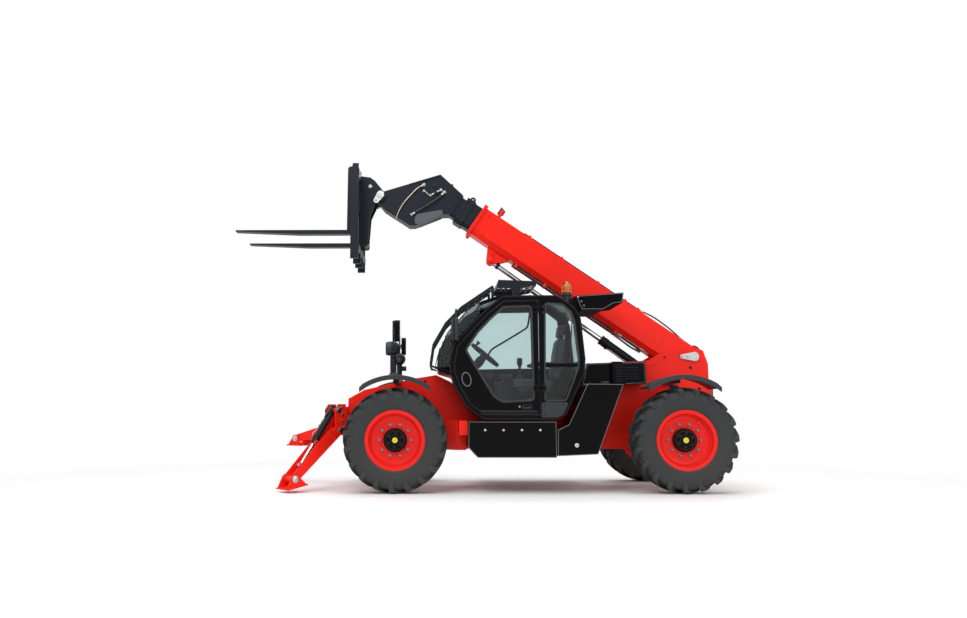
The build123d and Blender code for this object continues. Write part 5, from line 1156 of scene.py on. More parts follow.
class HANDLER_OT_nose(bpy.types.Operator):
    """Make the second section's wear pad bolts and the pin in its ear"""
    bl_idname = "handler.nose"
    bl_label = "Second section"

    end: size("End", "Front of the second section along the boom", 3.372)

    def execute(self, context):
        sizes = context.scene.handler_sizes
        bolt, weld, pad, pin = (bmesh.new() for _ in range(4))
        for sign in (1, -1):
            for above in (0.062, -0.030, -0.185):
                for along in (-0.090, -0.030):
                    add_bolt(bolt, boom_cheek(self.end + along, above, sign * 0.140), 0.018, 0.011)
            add_weld(weld, route(on_boom, (self.end - 0.121, 0.105, sign * 0.127),
                                 (self.end - 0.121, -0.175, sign * 0.127)), sizes.weld * 0.8)
        for y in (-0.090, 0.090):
            for along in (-0.090, -0.030):
                add_bolt(bolt, boom_top(self.end + along, y, 0.107), 0.018, 0.011)
        ear = on_boom(3.312, 0.127)
        add_rod(pin, ear - LEFT * 0.078, ear + LEFT * 0.078, 0.0135, 20, 0.002)
        for sign in (1, -1):
            add_revolved(bolt, facing(ear + LEFT * sign * 0.070, LEFT * sign),
                         [(0, 0.022), (0.004, 0.022)], 24)
            add_weld(weld, route(on_boom, (3.276, 0.109, sign * 0.072),
                                 (3.348, 0.109, sign * 0.072)), sizes.weld)
        front = facing(on_boom(self.end, 0, 0), BOOM_DIR, BOOM_UP)
        for y in (-0.070, 0.070):
            add_block(pad, front @ offset(y, 0.078, -0.008), (0.060, 0.014, 0.026))
            add_block(pad, front @ offset(y, -0.214, -0.008), (0.060, 0.014, 0.026))
        finish_piece(bolt, "second_section_bolts", "boom_mid", "satin", bevel=0.001)
        finish_piece(pin, "second_section_pin", "boom_mid", "zinc")
        finish_piece(weld, "second_section_welds", "boom_mid", "satin", angle=70)
        finish_piece(pad, "second_section_pads", "boom_mid", "rubber", bevel=0.002)
        return {"FINISHED"}


class HANDLER_OT_head(bpy.types.Operator):
    """Make the boom head's pipe, hoses, fittings, welds and bolts"""
    bl_idname = "handler.head"
    bl_label = "Boom head"

    half: size("Half width", "Head's side plates from the middle plane", 0.118)

    def execute(self, context):
        sizes = context.scene.handler_sizes
        metal, pipe, hose, weld, box, bolt = (bmesh.new() for _ in range(6))
        y = self.half
        banjo = facing(ahead(-0.316, y, 3.734), LEFT)
        add_revolved(metal, banjo, [(0, 0.024), (0.012, 0.024), (0.014, 0.017), (0.024, 0.017)], 6)
        add_pipe(pipe, route(ahead, (-0.330, y + 0.016, 3.742), (-0.235, y + 0.020, 3.690),
                             (-0.140, y + 0.020, 3.594), (-0.060, y + 0.018, 3.500),
                             (-0.015, y + 0.017, 3.427), (0.018, y + 0.013, 3.352),
                             (0.030, y + 0.006, 3.300)), 0.0085, 14, 8)
        add_fitting(metal, facing(ahead(-0.330, y + 0.016, 3.742), Vector((0.9, 0, -0.5))), 0.010)
        add_hose(hose, metal, route(ahead, (-0.575, y + 0.022, 3.640), (-0.500, y + 0.032, 3.565),
                                    (-0.366, y + 0.036, 3.475), (-0.250, y + 0.032, 3.405),
                                    (-0.153, y + 0.022, 3.345)), 0.0115)
        for shift in (0.0, 0.045):
            add_revolved(metal, facing(ahead(-0.575 + shift, y, 3.640 + shift * 0.6), LEFT),
                         [(0, 0.022), (0.016, 0.022), (0.018, 0.015), (0.036, 0.015)], 6)
        add_hose(hose, metal, route(ahead, (-0.530, y + 0.022, 3.667), (-0.480, y + 0.028, 3.640),
                                    (-0.430, y + 0.026, 3.612), (-0.391, y + 0.016, 3.593)), 0.009)
        elbow = ahead(-0.316, y, 3.657)
        add_revolved(metal, facing(elbow, LEFT), [(0, 0.019), (0.014, 0.019), (0.016, 0.013),
                                                  (0.030, 0.013)], 6)
        add_pipe(pipe, [elbow + LEFT * 0.022, ahead(-0.352, y + 0.022, 3.628),
                        ahead(-0.391, y + 0.010, 3.593)], 0.0085, 12, 5)
        add_revolved(bolt, facing(ahead(-0.454, y, 3.721), LEFT),
                     [(0, 0.026), (0.006, 0.026), (0.010, 0.021), (0.011, 0.010), (0.008, 0.009),
                      (0.008, 0)], 28)
        for sign in (1, -1):
            face = sign * self.half
            for along in (3.450, 3.490, 3.530, 3.570):
                for above in (-0.052, 0.050):
                    add_bolt(bolt, boom_cheek(along, above, face), 0.015, 0.009)
            pin = facing(HEAD_PIN + LEFT * (face + sign * 0.001), LEFT * sign)
            add_weld(weld, [pin @ Vector((u, v, 0.0)) for u, v in circle(0.076, 24)], sizes.weld * 0.7)
            outline = [(3.452, 0.104), (3.800, 0.150)]
            add_weld(weld, [on_boom(a, z - 0.012, face) for a, z in outline], sizes.weld)
            add_weld(weld, [on_boom(a, z, sign * (self.half + 0.001))
                            for a, z in ((3.545, -0.262), (3.722, -0.545), (3.782, -0.588),
                                         (4.150, -0.600))], sizes.weld * 0.8)
        for sign in (1, -1):
            patch = [(-0.233, 3.366), (-0.550, 3.420), (-0.550, 3.356), (-0.250, 3.236), (-0.200, 3.240),
                     (-0.200, 3.330)]
            add_plate(box, side_place(sign * self.half, sign),
                      round_corners(side_points(patch, sign), 0.03), 0.006)
        link = facing(on_boom(3.640, 0.128, 0), BOOM_UP, BOOM_DIR)
        for x in (-0.060, 0.060):
            add_bolt(bolt, link @ offset(x, 0.0, 0.012), 0.018, 0.010)
        finish_piece(bolt, "head_bolts", "boom_inner", "satin", bevel=0.001)
        finish_piece(metal, "head_fittings", "boom_inner", "zinc", bevel=0.0012)
        finish_piece(pipe, "head_pipe", "boom_inner", "tan_pipe")
        finish_piece(hose, "head_hoses", "boom_inner", "rubber")
        finish_piece(weld, "head_welds", "boom_inner", "satin", angle=70)
        finish_piece(box, "head_patches", "boom_inner", "grey_satin", bevel=0.002)
        return {"FINISHED"}


KEEPER_Y = 0.1645  # keepers' inner faces from the middle plane
EAR_WELD_Y = 0.151
RAIL_FACE = 0.231  # front of the carriage's rails, ahead of the head pin


class HANDLER_OT_carriage(bpy.types.Operator):
    """Make the coupler's keeper plates, pins, hoses and the forks' hooks and latches"""
    bl_idname = "handler.carriage"
    bl_label = "Carriage and forks"

    ear: size("Ears", "Coupler ears' outer faces from the middle plane", 0.150)
    spread: size("Forks", "Forks from the middle plane", 0.430)

    def at(self, x, y, z):
        """Point given from the head pin: forward, left and up."""
        return HEAD_PIN + Vector((x, y, z))

    def execute(self, context):
        sizes = context.scene.handler_sizes
        plate, pin, dark, weld, hose, metal, hook = (bmesh.new() for _ in range(7))
        for sign in (1, -1):
            out = LEFT * sign
            head = facing(HEAD_PIN + out * KEEPER_Y, out, UP)
            add_revolved(pin, head, [(0, 0.031), (0.010, 0.031), (0.013, 0.027), (0.013, 0.008),
                                     (0.010, 0.007), (0.010, 0)], 36)
            down = Vector((0.099, 0.0, -0.141)).normalized()
            tie = facing(self.at(-0.010, sign * KEEPER_Y, 0.014), out, out.cross(down))
            add_plate(plate, tie, capsule(0.094, 0.046, 0.034), 0.008)
            for share in (0.0, 0.094):
                spot = tie @ offset(share, 0, 0.008)
                # Near-black disc at each end of the tie plate: painted shade in a hole
                add_revolved(dark, spot, [(0, 0.010), (0.0015, 0.009), (0.0015, 0)], 20)
            for x, z in ((0.085, 0.185), (0.128, 0.215)):
                # Near-black discs on the coupler's ears: painted shade in holes
                add_revolved(dark, facing(self.at(x, sign * self.ear, z), out),
                             [(0, 0.012), (0.002, 0.011), (0.001, 0.008), (0.001, 0)], 20)
            add_bolt(metal, facing(self.at(0.120, sign * self.ear, 0.120), out), 0.024, 0.014)
            face = sign * (self.ear + 0.001)
            add_weld(weld, route(self.at, (RAIL_FACE, face, 0.24), (RAIL_FACE, face, -0.63)), sizes.weld)
            fork = self.at(0.327, sign * self.spread, 0.262)
            add_block(hook, facing(fork + Vector((-0.017, 0, 0.010)), UP, LEFT), (0.100, 0.112, 0.019))
            add_rod(metal, fork + Vector((-0.02, 0, 0.018)),
                    fork + Vector((-0.02, 0, 0.036)), 0.012, 18, 0.002)
            add_rod(metal, fork + Vector((-0.02, -0.030, 0.033)), fork + Vector((-0.02, 0.030, 0.033)),
                    0.005, 12, 0.001)
            for z in (-0.02, 0.205):
                for y in (-0.045, 0.045):
                    # Near-black discs beside each fork: painted shade in holes
                    add_revolved(dark, facing(self.at(0.379 if z < 0 else 0.3685, sign * self.spread + y, z),
                                              FORWARD), [(0, 0.006), (0.001, 0.005), (0.001, 0)], 12)
            for index in range(2):
                y = sign * (0.060 + 0.024 * index)
                add_hose(hose, metal, route(self.at, (0.172, y, -0.170), (0.162, y, -0.235),
                                            (0.166, y, -0.330), (0.184, y, -0.415),
                                            (0.204, y, -0.470)), 0.0095)
        for level in (0.150, -0.250, -0.760):
            for y in (-0.558, -0.160, 0.160, 0.558):
                for side in (-1, 1):
                    add_weld(weld, route(self.at, (RAIL_FACE, y + side * 0.023, level + 0.004),
                                         (RAIL_FACE, y + side * 0.023, level + 0.086)), sizes.weld)
        for x, z in ((0.120, 0.175), (0.185, -0.600)):
            for sign in (1, -1):
                ring = [self.at(x + u, sign * EAR_WELD_Y, z + v) for u, v in circle(0.042, 16)]
                add_weld(weld, ring, sizes.weld * 0.8)
        finish_piece(plate, "head_pin_keepers", "head_link", "white", bevel=0.0015)
        finish_piece(pin, "head_pin_ends", "head_link", "zinc", bevel=0.001)
        # flat near-black discs: painted shade in the holes
        finish_piece(dark, "carriage_hole_shade", "carriage", "rubber")
        finish_piece(weld, "carriage_welds", "carriage", "satin", angle=60)
        finish_piece(hook, "fork_hooks", "carriage", "satin", bevel=0.003)
        finish_piece(hose, "coupler_hoses", "carriage", "rubber")
        finish_piece(metal, "carriage_fittings", "carriage", "zinc", bevel=0.001)
        return {"FINISHED"}


# ------------------------------------------------------------------ cylinders and stabilisers

class HANDLER_OT_cylinders(bpy.types.Operator):
    """Make the lift cylinder's gland, ports, pipe, grease nipples and pins"""
    bl_idname = "handler.cylinders"
    bl_label = "Lift cylinder"

    length: size("Barrel", "Barrel's front end from its base pin", 1.010)

    def execute(self, context):
        gland, metal, pipe, rod = (bmesh.new() for _ in range(4))
        over = LIFT_DIR.cross(LEFT) * -1
        front = facing(LIFT_BASE + LIFT_DIR * self.length, LIFT_DIR, over)
        add_revolved(gland, front, [
            (-0.060, 0.0553), (-0.058, 0.060), (-0.004, 0.060), (0.0, 0.0565), (0.004, 0.0565),
            (0.006, 0.0605), (0.034, 0.0605), (0.037, 0.056), (0.037, 0.034), (0.043, 0.0335),
        ], 40)
        for index in range(6):
            notch = front @ spin(math.tau * index / 6)
            add_block(gland, notch @ offset(0.060, 0, 0.020), (0.006, 0.012, 0.020))
        for along in (0.125, 0.930):
            port = facing(LIFT_BASE + LIFT_DIR * along, LIFT_DIR, over)
            port = port @ spin(math.pi / 2 - 0.9) @ offset(0.050, 0, 0)
            add_block(gland, port, (0.034, 0.040, 0.046))
            add_revolved(metal, port @ Matrix.Rotation(math.pi / 2, 4, "Y"),
                         [(0.017, 0.016), (0.030, 0.016), (0.032, 0.011), (0.038, 0.011)], 6)
        side = (LEFT * 0.62 + over * 0.78).normalized()
        line = [LIFT_BASE + LIFT_DIR * along + side * reach for along, reach in (
            (0.125, 0.086), (0.150, 0.080), (0.190, 0.066), (0.260, 0.064), (0.620, 0.064), (0.860, 0.064),
            (0.900, 0.070), (0.930, 0.086),
        )]
        add_pipe(pipe, line, 0.0068, 12, 4)
        for along in (0.360, 0.720):
            strap = facing(LIFT_BASE + LIFT_DIR * along, LIFT_DIR, over)
            add_revolved(gland, strap, [(0, 0.0553), (0.0005, 0.0572), (0.018, 0.0572), (0.0185, 0.0553)], 40)
        for place, turn in ((LIFT_BASE, -0.6), (LIFT_BASE + LIFT_DIR * 0.10, 0.4)):
            nipple = facing(place + over * 0.058 + LIFT_DIR * 0.02, over)
            add_revolved(metal, nipple, [(0, 0.006), (0.008, 0.006), (0.010, 0.0035), (0.014, 0.0035)], 10)
        for sign in (1, -1):
            washer = facing(LIFT_BASE + LEFT * sign * 0.046, LEFT * sign)
            add_revolved(metal, washer, [(0, 0.050), (0.010, 0.050), (0.012, 0.047)], 32)
        add_pipe(pipe, [
            LIFT_BASE + LIFT_DIR * 0.125 + side * 0.086,
            LIFT_BASE + LIFT_DIR * 0.070 + side * 0.100,
            LIFT_BASE + LIFT_DIR * 0.010 + side * 0.092,
            LIFT_BASE - LIFT_DIR * 0.030 + side * 0.060,
        ], 0.0085, 12, 6)
        finish_piece(gland, "lift_gland", "lift_barrel", "satin", bevel=0.0012)
        finish_piece(metal, "lift_ports", "lift_barrel", "zinc", bevel=0.0008)
        finish_piece(pipe, "lift_pipe", "lift_barrel", "zinc")
        reach = (Vector(on_boom(2.697, -0.383)) - LIFT_BASE).length
        head = facing(LIFT_BASE + LIFT_DIR * (reach - 0.125), LIFT_DIR, over)
        add_revolved(rod, head, [(0, 0.0325), (0.004, 0.040), (0.030, 0.040), (0.036, 0.034)], 32)
        finish_piece(rod, "lift_rod_head", "lift_rod", "satin", bevel=0.001)
        return {"FINISHED"}


class HANDLER_OT_stabilisers(bpy.types.Operator):
    """Make the stabilisers' pins, keepers, ram fittings, hoses, welds and treads"""
    bl_idname = "handler.stabilisers"
    bl_label = "Stabilisers"

    bracket: size("Bracket", "Bracket plates' outer faces from a leg's middle", 0.122)
    leg: size("Leg", "Leg's side plates' outer faces from its middle", 0.098)
    length: size("Length", "Foot pin from the leg's pivot", 0.785)

    def execute(self, context):
        sizes = context.scene.handler_sizes
        for side, sign in SIDES:
            self.brackets(sizes, side, sign)
            self.legs(sizes, side, sign)
            self.feet(sizes, side, sign)
            self.rams(side, sign)
        return {"FINISHED"}

    def brackets(self, sizes, side, sign):
        """Pin heads, keepers and welds on a bracket."""
        upright = leg_place(side, sign, 0.0)
        metal, weld = bmesh.new(), bmesh.new()
        for depth in (self.bracket, -self.bracket):
            for x, y in ((0.0, 0.0), (0.030, 0.232)):
                face = on_face(upright, x, y, depth)
                add_revolved(metal, face, [(0, 0.034), (0.006, 0.034), (0.008, 0.031), (0.008, 0.022),
                                           (0.016, 0.022), (0.018, 0.019), (0.018, 0)], 30)
                flip = 1 if depth > 0 else -1
                add_keeper(metal, face @ spin(flip * 2.5), 0.052, 0.016, 0.012, 0.010, (1.0,))
            edge = 0.001 if depth > 0 else -0.001
            add_weld(weld, [upright @ Vector((-0.070, y, depth + edge)) for y in (0.075, 0.265)], sizes.weld)
            for y in (0.110, 0.180):
                add_bolt(metal, on_face(upright, -0.030, y, depth), sizes.bolt * 0.9, 0.010)
        finish_piece(metal, f"{side}_bracket_pins", "chassis", "nut", bevel=0.001)
        finish_piece(weld, f"{side}_bracket_welds", "chassis", "red", angle=70)

    def legs(self, sizes, side, sign):
        """Weld beads and a lug with its bolt on a leg."""
        place = leg_place(side, sign)
        weld, metal, lug = bmesh.new(), bmesh.new(), bmesh.new()
        for depth in (self.leg, -self.leg):
            edge = depth + (0.001 if depth > 0 else -0.001)
            add_weld(weld, [place @ Vector((x, y, edge)) for x, y in ((0.10, -0.046), (0.70, -0.040))],
                     sizes.weld * 0.8)
            for x, radius in ((0.0, 0.036), (self.length, 0.034)):
                ring = [place @ Vector((x + u, v, edge)) for u, v in circle(radius, 16)]
                add_weld(weld, ring, sizes.weld * 0.6)
        tab = place @ offset(0.300, 0.084, -0.060)
        add_plate(lug, tab, [(-0.035, -0.020), (0.035, -0.020), (0.022, 0.034), (-0.022, 0.034)], 0.012)
        add_bolt(metal, tab @ offset(0, 0.012, 0) @ Matrix.Rotation(math.pi, 4, "X"), 0.014, 0.008)
        finish_piece(weld, f"{side}_leg_welds", f"{side}_leg", "red", angle=70)
        finish_piece(metal, f"{side}_leg_pins", f"{side}_leg", "nut", bevel=0.001)
        finish_piece(lug, f"{side}_leg_lug", f"{side}_leg", "red", bevel=0.002)

    def feet(self, sizes, side, sign):
        """Pin washers, ribs and welds on a foot."""
        pivot = Vector(JOINTS[f"{side}_foot_swing"]["pos_m"])
        place = leg_place(side, sign, FOOT_TILT[side])
        place.translation = pivot
        metal, rib, weld = bmesh.new(), bmesh.new(), bmesh.new()
        for depth in (0.122, -0.122):
            face = on_face(place, 0.0, 0.0, depth)
            add_revolved(metal, face, [(0, 0.040), (0.005, 0.040), (0.007, 0.037), (0.007, 0.023),
                                       (0.013, 0.022), (0.015, 0.019), (0.015, 0)], 32)
            out = 1 if depth > 0 else -1
            edge = depth + 0.002 * out
            add_weld(weld, [place @ Vector((x, -0.080, edge)) for x in (-0.108, 0.108)], sizes.weld)
            for x in (-0.070, 0.0, 0.070):
                gusset = place @ offset(x, -0.080, depth) @ Matrix.Rotation(math.pi / 2, 4, "Y")
                line = [(0.0, 0.0), (-0.028 * out, 0.0), (0.0, 0.045)]
                add_plate(rib, gusset @ offset(0, 0, -0.004), line, 0.008)
        for z in (-0.110, -0.037, 0.037, 0.110):
            add_block(rib, place @ offset(0.0, -0.0965, z), (0.236, 0.003, 0.022))
        finish_piece(metal, f"{side}_foot_pins", f"{side}_foot", "steel", bevel=0.001)
        finish_piece(rib, f"{side}_foot_ribs", f"{side}_foot", "red", bevel=0.001)
        finish_piece(weld, f"{side}_foot_welds", f"{side}_foot", "red", angle=70)

    def rams(self, side, sign):
        """Gland, port, hose loop and grease nipples on a ram."""
        base = Vector(JOINTS[f"{side}_ram_swing"]["pos_m"])
        along = Vector(JOINTS[f"{side}_ram_slide"]["axis"]).normalized()
        if along.z > 0:
            along = -along
        pin = Vector((-sign * math.sin(LEG_SPLAY), math.cos(LEG_SPLAY), 0))
        over = along.cross(pin).normalized()
        if over.dot(FORWARD) < 0:
            over = -over
        body = f"{side}_ram_barrel"
        gland, metal, hose = bmesh.new(), bmesh.new(), bmesh.new()
        end = facing(base + along * 0.455, along, pin)
        add_revolved(gland, end, [(-0.050, 0.0382), (-0.048, 0.0415), (-0.006, 0.0415), (0.0, 0.038),
                                  (0.006, 0.036), (0.008, 0.024), (0.012, 0.0225)], 32)
        for reach in (0.085, 0.385):
            port = facing(base + along * reach + over * 0.034, over, along)
            add_block(gland, port @ offset(0, 0, 0.004), (0.030, 0.036, 0.022))
            add_revolved(metal, port, [(0.015, 0.013), (0.026, 0.013), (0.028, 0.009), (0.034, 0.009)], 6)
        add_pipe(metal, [base + along * reach + over * lift for reach, lift in (
            (0.385, 0.066), (0.360, 0.070), (0.330, 0.056), (0.240, 0.050), (0.160, 0.050), (0.130, 0.050),
        )], 0.0055, 10, 5)
        top = base + along * 0.130 + over * 0.050
        add_pipe(hose, [top, base + along * 0.085 + over * 0.052 + pin * 0.02,
                        base + along * 0.020 + over * 0.040 + pin * 0.03,
                        base - along * 0.035 + over * 0.010 + pin * 0.03,
                        base - along * 0.046 - over * 0.045 + pin * 0.015], 0.008, 12, 8)
        add_pipe(hose, [
            base + along * 0.085 + over * 0.066, base + along * 0.050 + over * 0.082,
            base - along * 0.005 + over * 0.066, base - along * 0.050 + over * 0.016,
            base - along * 0.052 - over * 0.040,
        ], 0.008, 12, 8)
        nipple = facing(base + over * 0.043, over)
        add_revolved(metal, nipple, [(0, 0.006), (0.008, 0.006), (0.010, 0.0035), (0.013, 0.0035)], 10)
        finish_piece(gland, f"{side}_ram_gland", body, "satin", bevel=0.001)
        finish_piece(metal, f"{side}_ram_ports", body, "zinc", bevel=0.0006)
        finish_piece(hose, f"{side}_ram_hoses", body, "rubber")


# ------------------------------------------------------------------ cab

CAB_LEFT = 1.120  # cab's outer faces, both to the left of the middle plane
CAB_RIGHT = 0.275
CAB_EDGE = [
    (-1.205, 2.195), (-1.823, 2.205), (-2.027, 2.060), (-2.085, 1.940), (-2.128, 1.483), (-2.115, 1.319),
    (-1.901, 0.869), (-1.799, 0.809), (-0.982, 0.812), (-0.799, 0.951), (-0.677, 1.155), (-0.615, 1.320),
    (-0.606, 1.443), (-0.650, 1.650), (-0.846, 1.872), (-1.033, 2.060),
]
DOOR_PANE = [
    (-0.800, 1.588), (-0.928, 1.780), (-1.074, 1.935), (-1.219, 2.065), (-1.525, 2.075),
    (-1.540, 1.032), (-1.208, 1.013), (-1.107, 1.073), (-1.006, 1.237),
]
REAR_PANE = [
    (-1.690, 2.110), (-1.880, 2.095), (-1.970, 2.010), (-2.008, 1.900), (-2.050, 1.480),
    (-2.040, 1.385), (-1.900, 1.032), (-1.675, 1.022),
]
RIGHT_PANE = [
    (-0.700, 1.480), (-0.760, 1.720), (-0.940, 1.990), (-1.080, 2.100), (-1.800, 2.110),
    (-1.940, 2.000), (-2.010, 1.420), (-0.720, 1.400),
]
LOW_PANEL = [
    (-1.628, 1.004), (-1.934, 1.004), (-1.868, 0.868), (-1.800, 0.835), (-1.628, 0.835),
]
SCREEN_LINE = [(-0.478, 1.400), (-0.488, 1.560), (-0.594, 1.796), (-0.804, 2.034), (-0.954, 2.132)]
BOSS = (-0.798, 1.259)  # middle of the door's blank oval boss


class HANDLER_OT_cab(bpy.types.Operator):
    """Make the cab's window seals, low panel, hinges, rear pane, wiper and bolts"""
    bl_idname = "handler.cab"
    bl_label = "Cab"

    def execute(self, context):
        seal, trim, bolt, panel = (bmesh.new() for _ in range(4))
        left = side_place(CAB_LEFT - 0.002)
        right = side_place(CAB_RIGHT + 0.002, -1)
        rear = round_corners(side_points(REAR_PANE), 0.034)
        add_band(seal, left, inset(rear, -0.012), 0.016, 0.005)
        add_band(trim, left, inset(rear, -0.017), 0.004, 0.004)
        side = round_corners(side_points(RIGHT_PANE, -1), 0.040)
        add_band(seal, right, inset(side, -0.014), 0.022, 0.006)
        frame_edge = round_corners(side_points(CAB_EDGE), 0.070, 5)
        add_band(trim, left, inset(frame_edge, 0.004), 0.010, 0.006)
        add_band(seal, side_place(CAB_LEFT - 0.030), inset(frame_edge, 0.048), 0.012, 0.016)
        add_plate(panel, left, round_corners(side_points(LOW_PANEL), 0.018), 0.006)
        for z in (0.972, 0.868):
            add_bolt(bolt, left @ offset(1.665, z, 0.006), 0.012, 0.005)
        for z in (1.130, 2.010):
            leaf = side_place(CAB_LEFT) @ offset(1.652, z + 0.030, 0)
            add_plate(trim, leaf, rounded(0.060, 0.096, 0.012), 0.006)
            for dz in (-0.030, 0.030):
                add_bolt(bolt, leaf @ offset(0.010, dz, 0.006), 0.014, 0.006)
            for end in (-0.014, 0.062):
                add_rod(trim, ahead(-1.606, CAB_LEFT + 0.018, z + end),
                        ahead(-1.606, CAB_LEFT + 0.018, z + end + 0.012), 0.0125, 18, 0.002)
        self.screen(seal, trim, bolt)
        self.back(seal)
        for along in range(5):
            x = -1.25 - 0.14 * along
            for y in (1.000, 0.310):
                add_bolt(bolt, facing(ahead(x, y, 2.2155), UP), 0.014, 0.006)
        for x, z in ((-2.049, 2.193), (-2.095, 2.141), (-2.123, 2.090)):
            add_bolt(bolt, side_place(1.070) @ offset(-x, z, 0), 0.014, 0.006)
        finish_piece(seal, "cab_seals", "chassis", "rubber", bevel=0.001)
        finish_piece(trim, "cab_trim", "chassis", "gloss", bevel=0.0012)
        finish_piece(bolt, "cab_bolts", "chassis", "satin", bevel=0.0008)
        finish_piece(panel, "cab_low_panel", "chassis", "plastic", bevel=0.002)
        return {"FINISHED"}

    def screen(self, seal, trim, bolt):
        """Windscreen's seal, black border and wiper."""
        for y0, y1 in ((0.322, 0.345), (1.016, 1.039)):
            for (x0, z0), (x1, z1) in zip(SCREEN_LINE, SCREEN_LINE[1:]):
                start, end = ahead(x0 + 0.002, (y0 + y1) / 2, z0), ahead(x1 + 0.002, (y0 + y1) / 2, z1)
                run = facing((start + end) / 2, end - start, FORWARD)
                add_block(seal, run, (y1 - y0, 0.006, (end - start).length + 0.004))
        for x, z in (SCREEN_LINE[0], SCREEN_LINE[-1]):
            add_rod(seal, ahead(x, 0.325, z + 0.004), ahead(x, 1.037, z + 0.004), 0.009, 12)
        pivot = ahead(-0.462, 0.700, 1.410)
        add_rod(trim, pivot - FORWARD * 0.02, pivot + FORWARD * 0.016, 0.016, 20, 0.003)
        add_pipe(trim, [pivot + FORWARD * 0.012, ahead(-0.468, 0.66, 1.50),
                        ahead(-0.505, 0.61, 1.64)], 0.005, 8, 5)
        add_pipe(seal, route(ahead, (-0.484, 0.60, 1.46), (-0.487, 0.595, 1.55), (-0.530, 0.59, 1.66),
                             (-0.575, 0.585, 1.76)), 0.006, 8, 5)
        for y in (0.318, 1.044):
            for share in (0.2, 0.5, 0.8):
                spot = ahead(-0.594 + 0.106 * (1 - share), y, 1.796 - 0.236 * (1 - share))
                add_bolt(bolt, facing(spot + FORWARD * 0.006, Vector((0.9, 0, 0.4))), 0.012, 0.005)

    def back(self, seal):
        """Rear window: pane and seal."""
        pane = bmesh.new()
        middle = facing(ahead(-2.082, 0.658, 1.710), -FORWARD)
        lean = Matrix.Rotation(math.radians(3.0), 4, "X")
        outline = rounded(0.610, 0.500, 0.040)
        add_plate(pane, middle @ lean, outline, 0.005)
        add_band(seal, middle @ lean @ offset(0, 0, -0.003), inset(outline, -0.010), 0.022, 0.012)
        finish_piece(pane, "rear_pane", "chassis", "glass")


class HANDLER_OT_door(bpy.types.Operator):
    """Make the door's window seal, rim, sill, boss, handle and grab bar"""
    bl_idname = "handler.door"
    bl_label = "Door"

    def execute(self, context):
        seal, trim, boss, bar, grey = (bmesh.new() for _ in range(5))
        left = side_place(CAB_LEFT - 0.002)
        pane = round_corners(side_points(DOOR_PANE), 0.040)
        add_band(seal, left, inset(pane, -0.014), 0.020, 0.006)
        add_band(trim, left, inset(pane, -0.020), 0.005, 0.005)
        inner = side_place(CAB_LEFT - 0.044, -1)
        add_band(seal, inner, inset(round_corners(side_points(DOOR_PANE, -1), 0.040), -0.014), 0.020, 0.004)
        for z, tall in ((0.900, 0.012), (0.880, 0.006)):
            sill = [(-0.960, z), (-1.585, z), (-1.585, z + tall), (-0.955, z + tall)]
            add_plate(grey, left, side_points(sill), 0.007)
        middle = left @ offset(-BOSS[0], BOSS[1], 0.0) @ spin(0.24)
        oval = [(0.054 * u, 0.082 * v) for u, v in circle(1.0, 40)[:-1]]
        add_band(boss, middle, oval, 0.010, 0.011)
        dish = [(x * 0.84, y * 0.89) for x, y in oval]
        add_plate(trim, middle, dish, 0.006)
        pull = left @ offset(1.470, 0.955, 0.0)
        add_band(trim, pull, rounded(0.120, 0.060, 0.014), 0.009, 0.009)
        add_plate(seal, pull, rounded(0.100, 0.040, 0.010), 0.004)
        add_block(trim, pull @ offset(0.0, 0.006, 0.008), (0.088, 0.018, 0.006))
        add_revolved(bar, pull @ offset(-0.085, 0, 0.002),
                     [(0, 0.012), (0.004, 0.012), (0.005, 0.010), (0.005, 0)], 20)
        inside = CAB_LEFT - 0.060
        add_pipe(trim, route(ahead, (-1.520, CAB_LEFT - 0.046, 2.050), (-1.518, inside, 2.000),
                             (-1.502, inside, 1.900), (-1.488, inside, 1.850), (-1.440, inside, 1.812),
                             (-1.250, inside, 1.696), (-1.100, inside, 1.606), (-1.060, inside, 1.560),
                             (-1.045, CAB_LEFT - 0.046, 1.530)), 0.0105, 14, 6)
        for x, z in ((-1.520, 2.062), (-0.948, 1.420)):
            add_revolved(trim, facing(ahead(x, CAB_LEFT - 0.044, z), -LEFT), [(0, 0.022), (0.006, 0.020)], 20)
        latch = facing(ahead(-0.880, CAB_LEFT - 0.050, 1.280), -LEFT)
        add_block(grey, latch @ offset(0, 0, 0.010), (0.060, 0.120, 0.030), 0.9)
        add_block(grey, latch @ offset(0.030, 0.020, 0.030), (0.090, 0.018, 0.014))
        finish_piece(seal, "door_seals", "door", "rubber", bevel=0.001)
        finish_piece(trim, "door_trim", "door", "gloss", bevel=0.001)
        finish_piece(boss, "door_boss", "door", "grey_gloss", bevel=0.002)
        finish_piece(bar, "door_lock", "door", "nut", bevel=0.0008)
        finish_piece(grey, "door_sill", "door", "plastic", bevel=0.001)
        return {"FINISHED"}


# ------------------------------------------------------------------ inside the cab

SEAT_Y = 0.700
CAB_FLOOR_Z = 0.859


